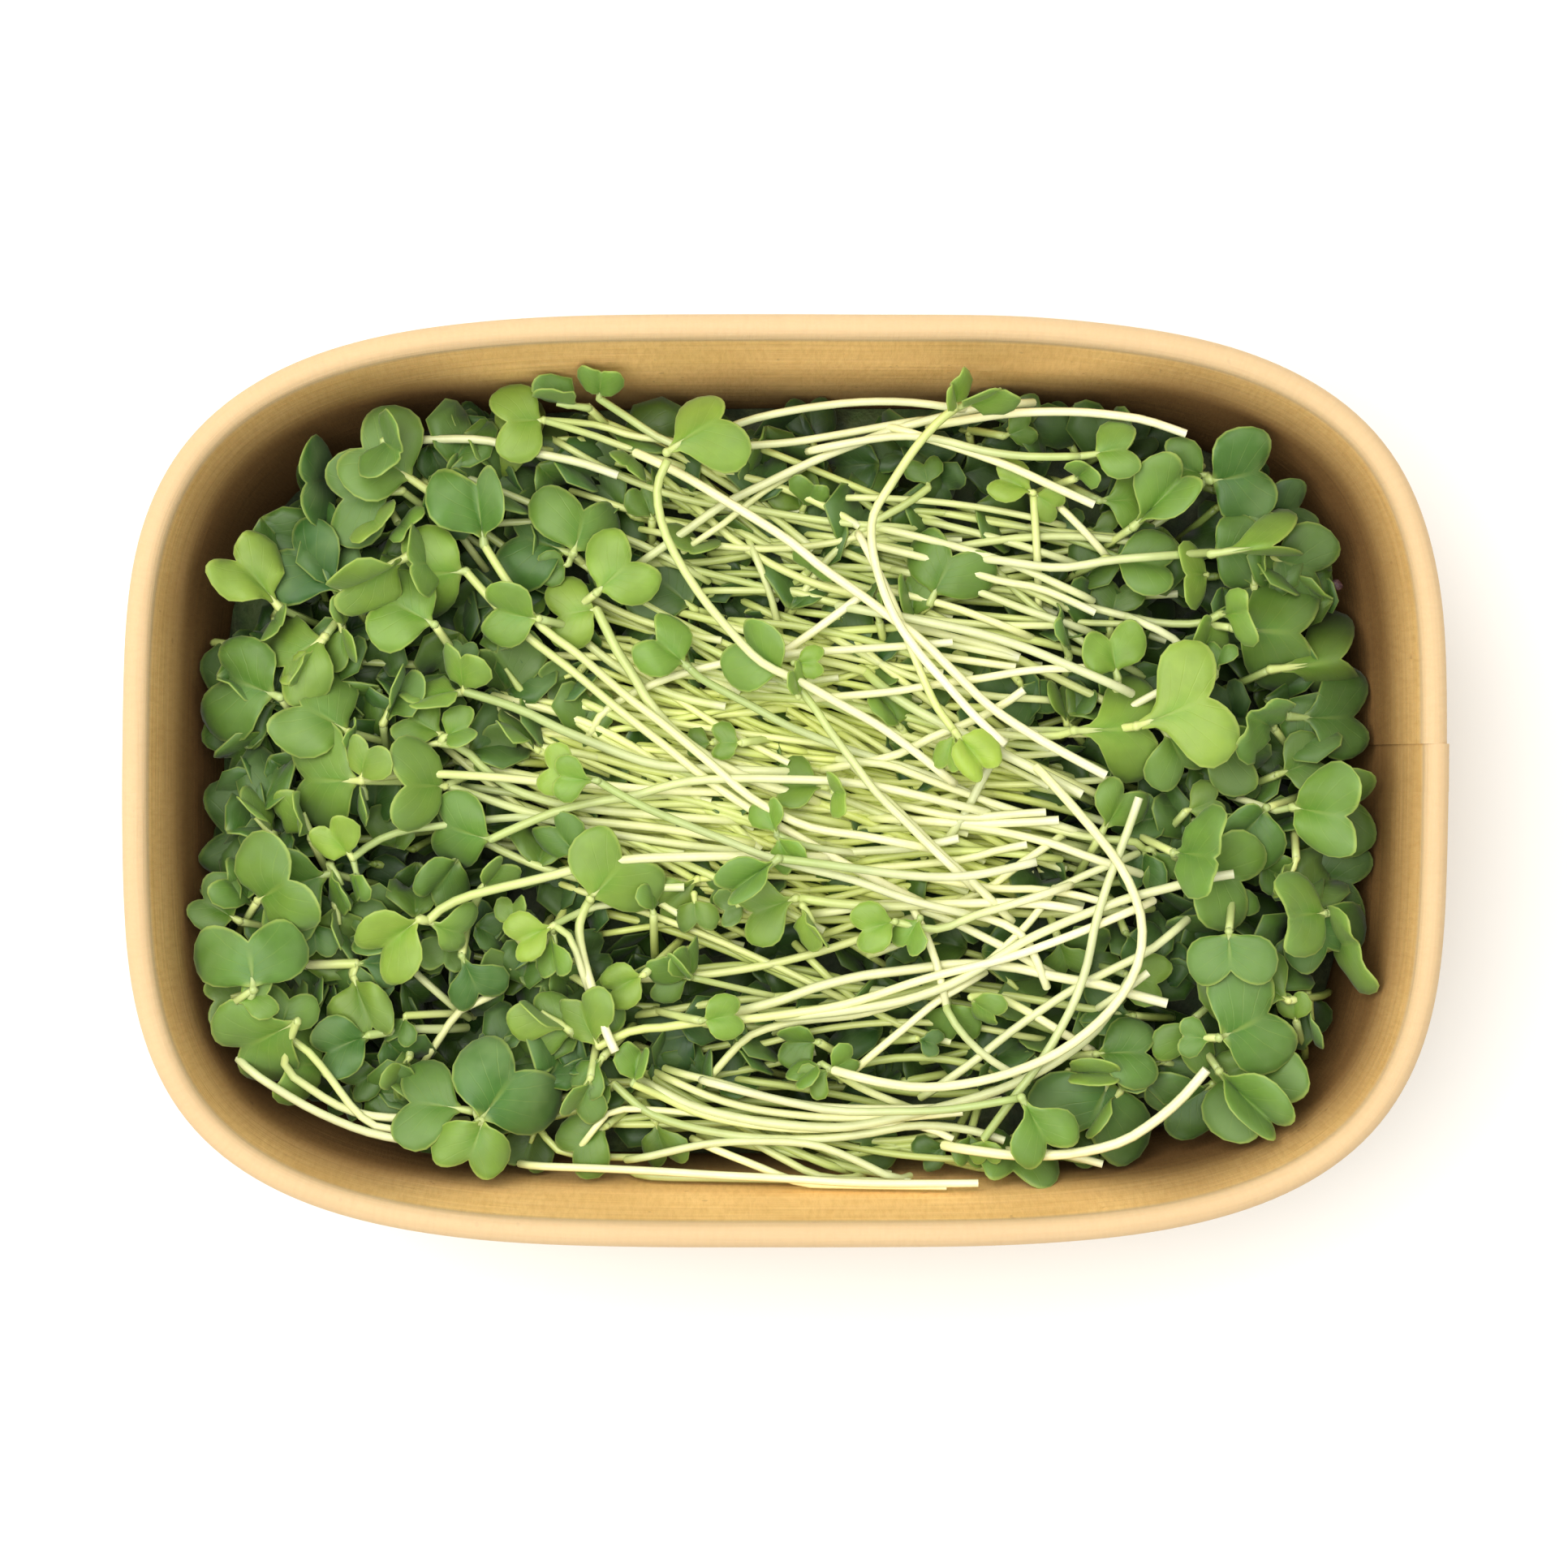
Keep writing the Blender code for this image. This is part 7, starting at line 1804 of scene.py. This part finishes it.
def hull_mesh(place):
    """A small dry seed hull, dented along one side."""
    piece = PieceMesh()
    rings = []
    for ring in range(HULL_RINGS + 1):
        polar = math.pi * ring / HULL_RINGS
        row = []
        for side in range(HULL_SIDES if 0 < ring < HULL_RINGS else 1):
            turn = 2 * math.pi * side / HULL_SIDES
            dent = 1.0 - HULL_DENT * max(0.0, math.cos(turn - HULL_DENT_TURN)) ** 6
            rough = noise.noise(Vector((math.cos(turn) * 2, math.sin(turn) * 2, ring * 0.7)))
            radius = HULL_RADIUS * dent * (1.0 + HULL_ROUGH * rough)
            flat = math.sin(polar)
            round_place = (flat * math.cos(turn), flat * math.sin(turn), math.cos(polar))
            point = Vector([part * stretch * radius for part, stretch in zip(round_place, HULL_FORM)])
            row.append(piece.corner(place + point, 0.0, 0.0, 0.0, 0.5))
        rings.append(row)
    for upper, lower in zip(rings, rings[1:]):
        for side in range(HULL_SIDES):
            places = [(upper, side), (lower, side), (lower, side + 1), (upper, side + 1)]
            piece.face(0, *dict.fromkeys(row[number % len(row)] for row, number in places))
    return piece.build("seed_hull", "seed_hull_skin")


class MICROGREENS_OT_tray(bpy.types.Operator):
    """Makes the paper wall with its rolled rim, and the bottom panel"""
    bl_idname = "microgreens.tray"
    bl_label = "Paper tray"

    def execute(self, context):
        settings = context.scene.microgreens_tray
        wall = sweep_mesh("paper_wall", wall_profile(settings), settings, True)
        add_piece(wall, "kraft_paper", "tray_wall")
        bottom = sweep_mesh("paper_bottom", base_profile(settings), settings, False)
        add_piece(bottom, "kraft_paper", "tray_base")
        return {"FINISHED"}


class MICROGREENS_OT_heaps(bpy.types.Operator):
    """Makes the leafy heaps at both ends and the leaves on the mat of stems"""
    bl_idname = "microgreens.heaps"
    bl_label = "Leafy heaps"

    def execute(self, context):
        nodes = {"left_heap": ["left_leaves"], "right_heap": ["right_leaves"], "mat_leaves": []}
        for name in LEAVES:
            add_piece(heap_mesh(name), "leaf", *nodes[name])
        return {"FINISHED"}


class MICROGREENS_OT_tucked(bpy.types.Operator):
    """Makes the leaves tucked in under the mat of stems"""
    bl_idname = "microgreens.tucked"
    bl_label = "Tucked leaves"

    def execute(self, context):
        for number in range(len(TUCKED)):
            add_piece(tucked_mesh(number), "leaf", tucked_node(number))
        return {"FINISHED"}


class MICROGREENS_OT_sprouts(bpy.types.Operator):
    """Makes the whole sprouts that lie loose on top"""
    bl_idname = "microgreens.sprouts"
    bl_label = "Loose sprouts"

    def execute(self, context):
        for number in range(len(SPROUTS)):
            add_piece(sprout_mesh(number), "young_leaf", sprout_node(number))
        return {"FINISHED"}


class MICROGREENS_OT_stems(bpy.types.Operator):
    """Makes the mat of stems across the middle, with the stems under it"""
    bl_idname = "microgreens.stems"
    bl_label = "Stem mat"

    def execute(self, context):
        settings = context.scene.microgreens_stem
        lines = stem_lines(STEMS + hidden_stems(settings))
        finish = finishes()["stem_skin"]
        values = {"Sides": settings.sides, "Ring spacing": settings.spacing, "Finish": finish}
        add_piece(grown_mesh("stem_mat", lines, stem_tree(), values), "stem", "stems")
        return {"FINISHED"}


class MICROGREENS_OT_filling(bpy.types.Operator):
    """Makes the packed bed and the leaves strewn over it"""
    bl_idname = "microgreens.filling"
    bl_label = "Filling"

    def execute(self, context):
        fill = context.scene.microgreens_fill
        add_piece(bed_mesh(), "leaf")
        leaf = strewn_leaf(fill.leaf_width / MM)
        values = {
            "Leaf": leaf, "Density": fill.density, "Tilt": fill.tilt, "Smallest": fill.smallest,
            "Largest": fill.largest, "Lift": fill.lift, "Seed": fill.seed, "Finish": finishes()["leaf_skin"],
        }
        mesh = grown_mesh("under_leaves", layer_mesh(), strewn_tree(), values)
        bpy.data.objects.remove(leaf)
        add_piece(mesh, "leaf")
        return {"FINISHED"}


class MICROGREENS_OT_hull(bpy.types.Operator):
    """Makes the dark seed hull that lies among the right-hand leaves"""
    bl_idname = "microgreens.hull"
    bl_label = "Seed hull"

    def execute(self, context):
        heap = bpy.data.objects["right_heap"].data
        faces = [tuple(face.vertices) for face in heap.polygons]
        tree = BVHTree.FromPolygons([corner.co for corner in heap.vertices], faces)
        x, y = HULL_PLACE
        hit = tree.ray_cast(Vector((x * MM, y * MM, HULL_DROP)), Vector((0, 0, -1)))[0]
        height = hit.z / MM if hit else TRAY_HEIGHT - HULL_SUNK
        add_piece(hull_mesh(Vector((x, y, height + HULL_RISE))), "leaf")
        return {"FINISHED"}


class MICROGREENS_OT_stage(bpy.types.Operator):
    """Makes the white table, the light and the camera over the tray"""
    bl_idname = "microgreens.stage"
    bl_label = "Stage"

    def execute(self, context):
        settings = context.scene.microgreens_stage
        scene = context.scene
        sides = [(-1, -1), (1, -1), (1, 1), (-1, 1)]
        corners = [Vector((x * TABLE_HALF, y * TABLE_HALF, TABLE_DROP)) / MM for x, y in sides]
        add_object("table", paint(new_mesh("table", corners, [(0, 1, 2, 3)]), "white_table"))
        world = bpy.data.worlds.new("Room")
        world.use_nodes = True
        back = world.node_tree.nodes["Background"]
        back.inputs["Color"].default_value = ROOM_COLOUR
        back.inputs["Strength"].default_value = settings.sky
        scene.world = world
        light = bpy.data.lights.new("window", "AREA")
        light.energy = settings.key
        light.size = WINDOW_SIZE
        light.color = WINDOW_COLOUR
        window = add_object("window", light)
        window.location = WINDOW_PLACE
        aim = Vector(WINDOW_AIM) - Vector(WINDOW_PLACE)
        window.rotation_euler = aim.to_track_quat("-Z", "Y").to_euler()
        window.visible_camera = False
        camera = bpy.data.cameras.new("camera")
        camera.sensor_width = SENSOR_WIDTH
        camera.lens = SENSOR_WIDTH * settings.camera_height / settings.seen_width
        camera.clip_start = CLIP_START
        scene.camera = add_object("camera", camera)
        scene.camera.location = (*CAMERA_SHIFT, TRAY_HEIGHT * MM + settings.camera_height)
        scene.view_settings.view_transform = "Standard"
        scene.view_settings.look = "None"
        return {"FINISHED"}


class MICROGREENS_PT_panel(bpy.types.Panel):
    """Lists the pieces and their settings"""
    bl_idname = "MICROGREENS_PT_panel"
    bl_label = "Broccoli microgreens"
    bl_space_type = "VIEW_3D"
    bl_region_type = "UI"
    bl_category = "Microgreens"

    def draw(self, context):
        layout = self.layout
        for owner in SETTINGS:
            group = getattr(context.scene, owner)
            box = layout.box()
            for name in group.bl_rna.properties.keys():
                if name not in ("rna_type", "name"):
                    box.prop(group, name)
        for operator in PIECES:
            layout.operator(operator.bl_idname)


SETTINGS = {
    "microgreens_tray": TraySettings,
    "microgreens_leaf": LeafSettings,
    "microgreens_stem": StemSettings,
    "microgreens_fill": FillSettings,
    "microgreens_stage": StageSettings,
}
PIECES = [
    MICROGREENS_OT_tray,
    MICROGREENS_OT_heaps,
    MICROGREENS_OT_tucked,
    MICROGREENS_OT_sprouts,
    MICROGREENS_OT_stems,
    MICROGREENS_OT_filling,
    MICROGREENS_OT_hull,
    MICROGREENS_OT_stage,
]


def register():
    for owner, group in SETTINGS.items():
        bpy.utils.register_class(group)
        setattr(bpy.types.Scene, owner, PointerProperty(type=group))
    for made in PIECES + [MICROGREENS_PT_panel]:
        bpy.utils.register_class(made)


def unregister():
    for made in [MICROGREENS_PT_panel] + PIECES[::-1]:
        bpy.utils.unregister_class(made)
    for owner, group in SETTINGS.items():
        delattr(bpy.types.Scene, owner)
        bpy.utils.unregister_class(group)


def main():
    register()
    bpy.ops.microgreens.tray()
    bpy.ops.microgreens.heaps()
    bpy.ops.microgreens.tucked()
    bpy.ops.microgreens.sprouts()
    bpy.ops.microgreens.stems()
    bpy.ops.microgreens.filling()
    bpy.ops.microgreens.hull()
    bpy.ops.microgreens.stage()


if __name__ == "__main__":
    main()
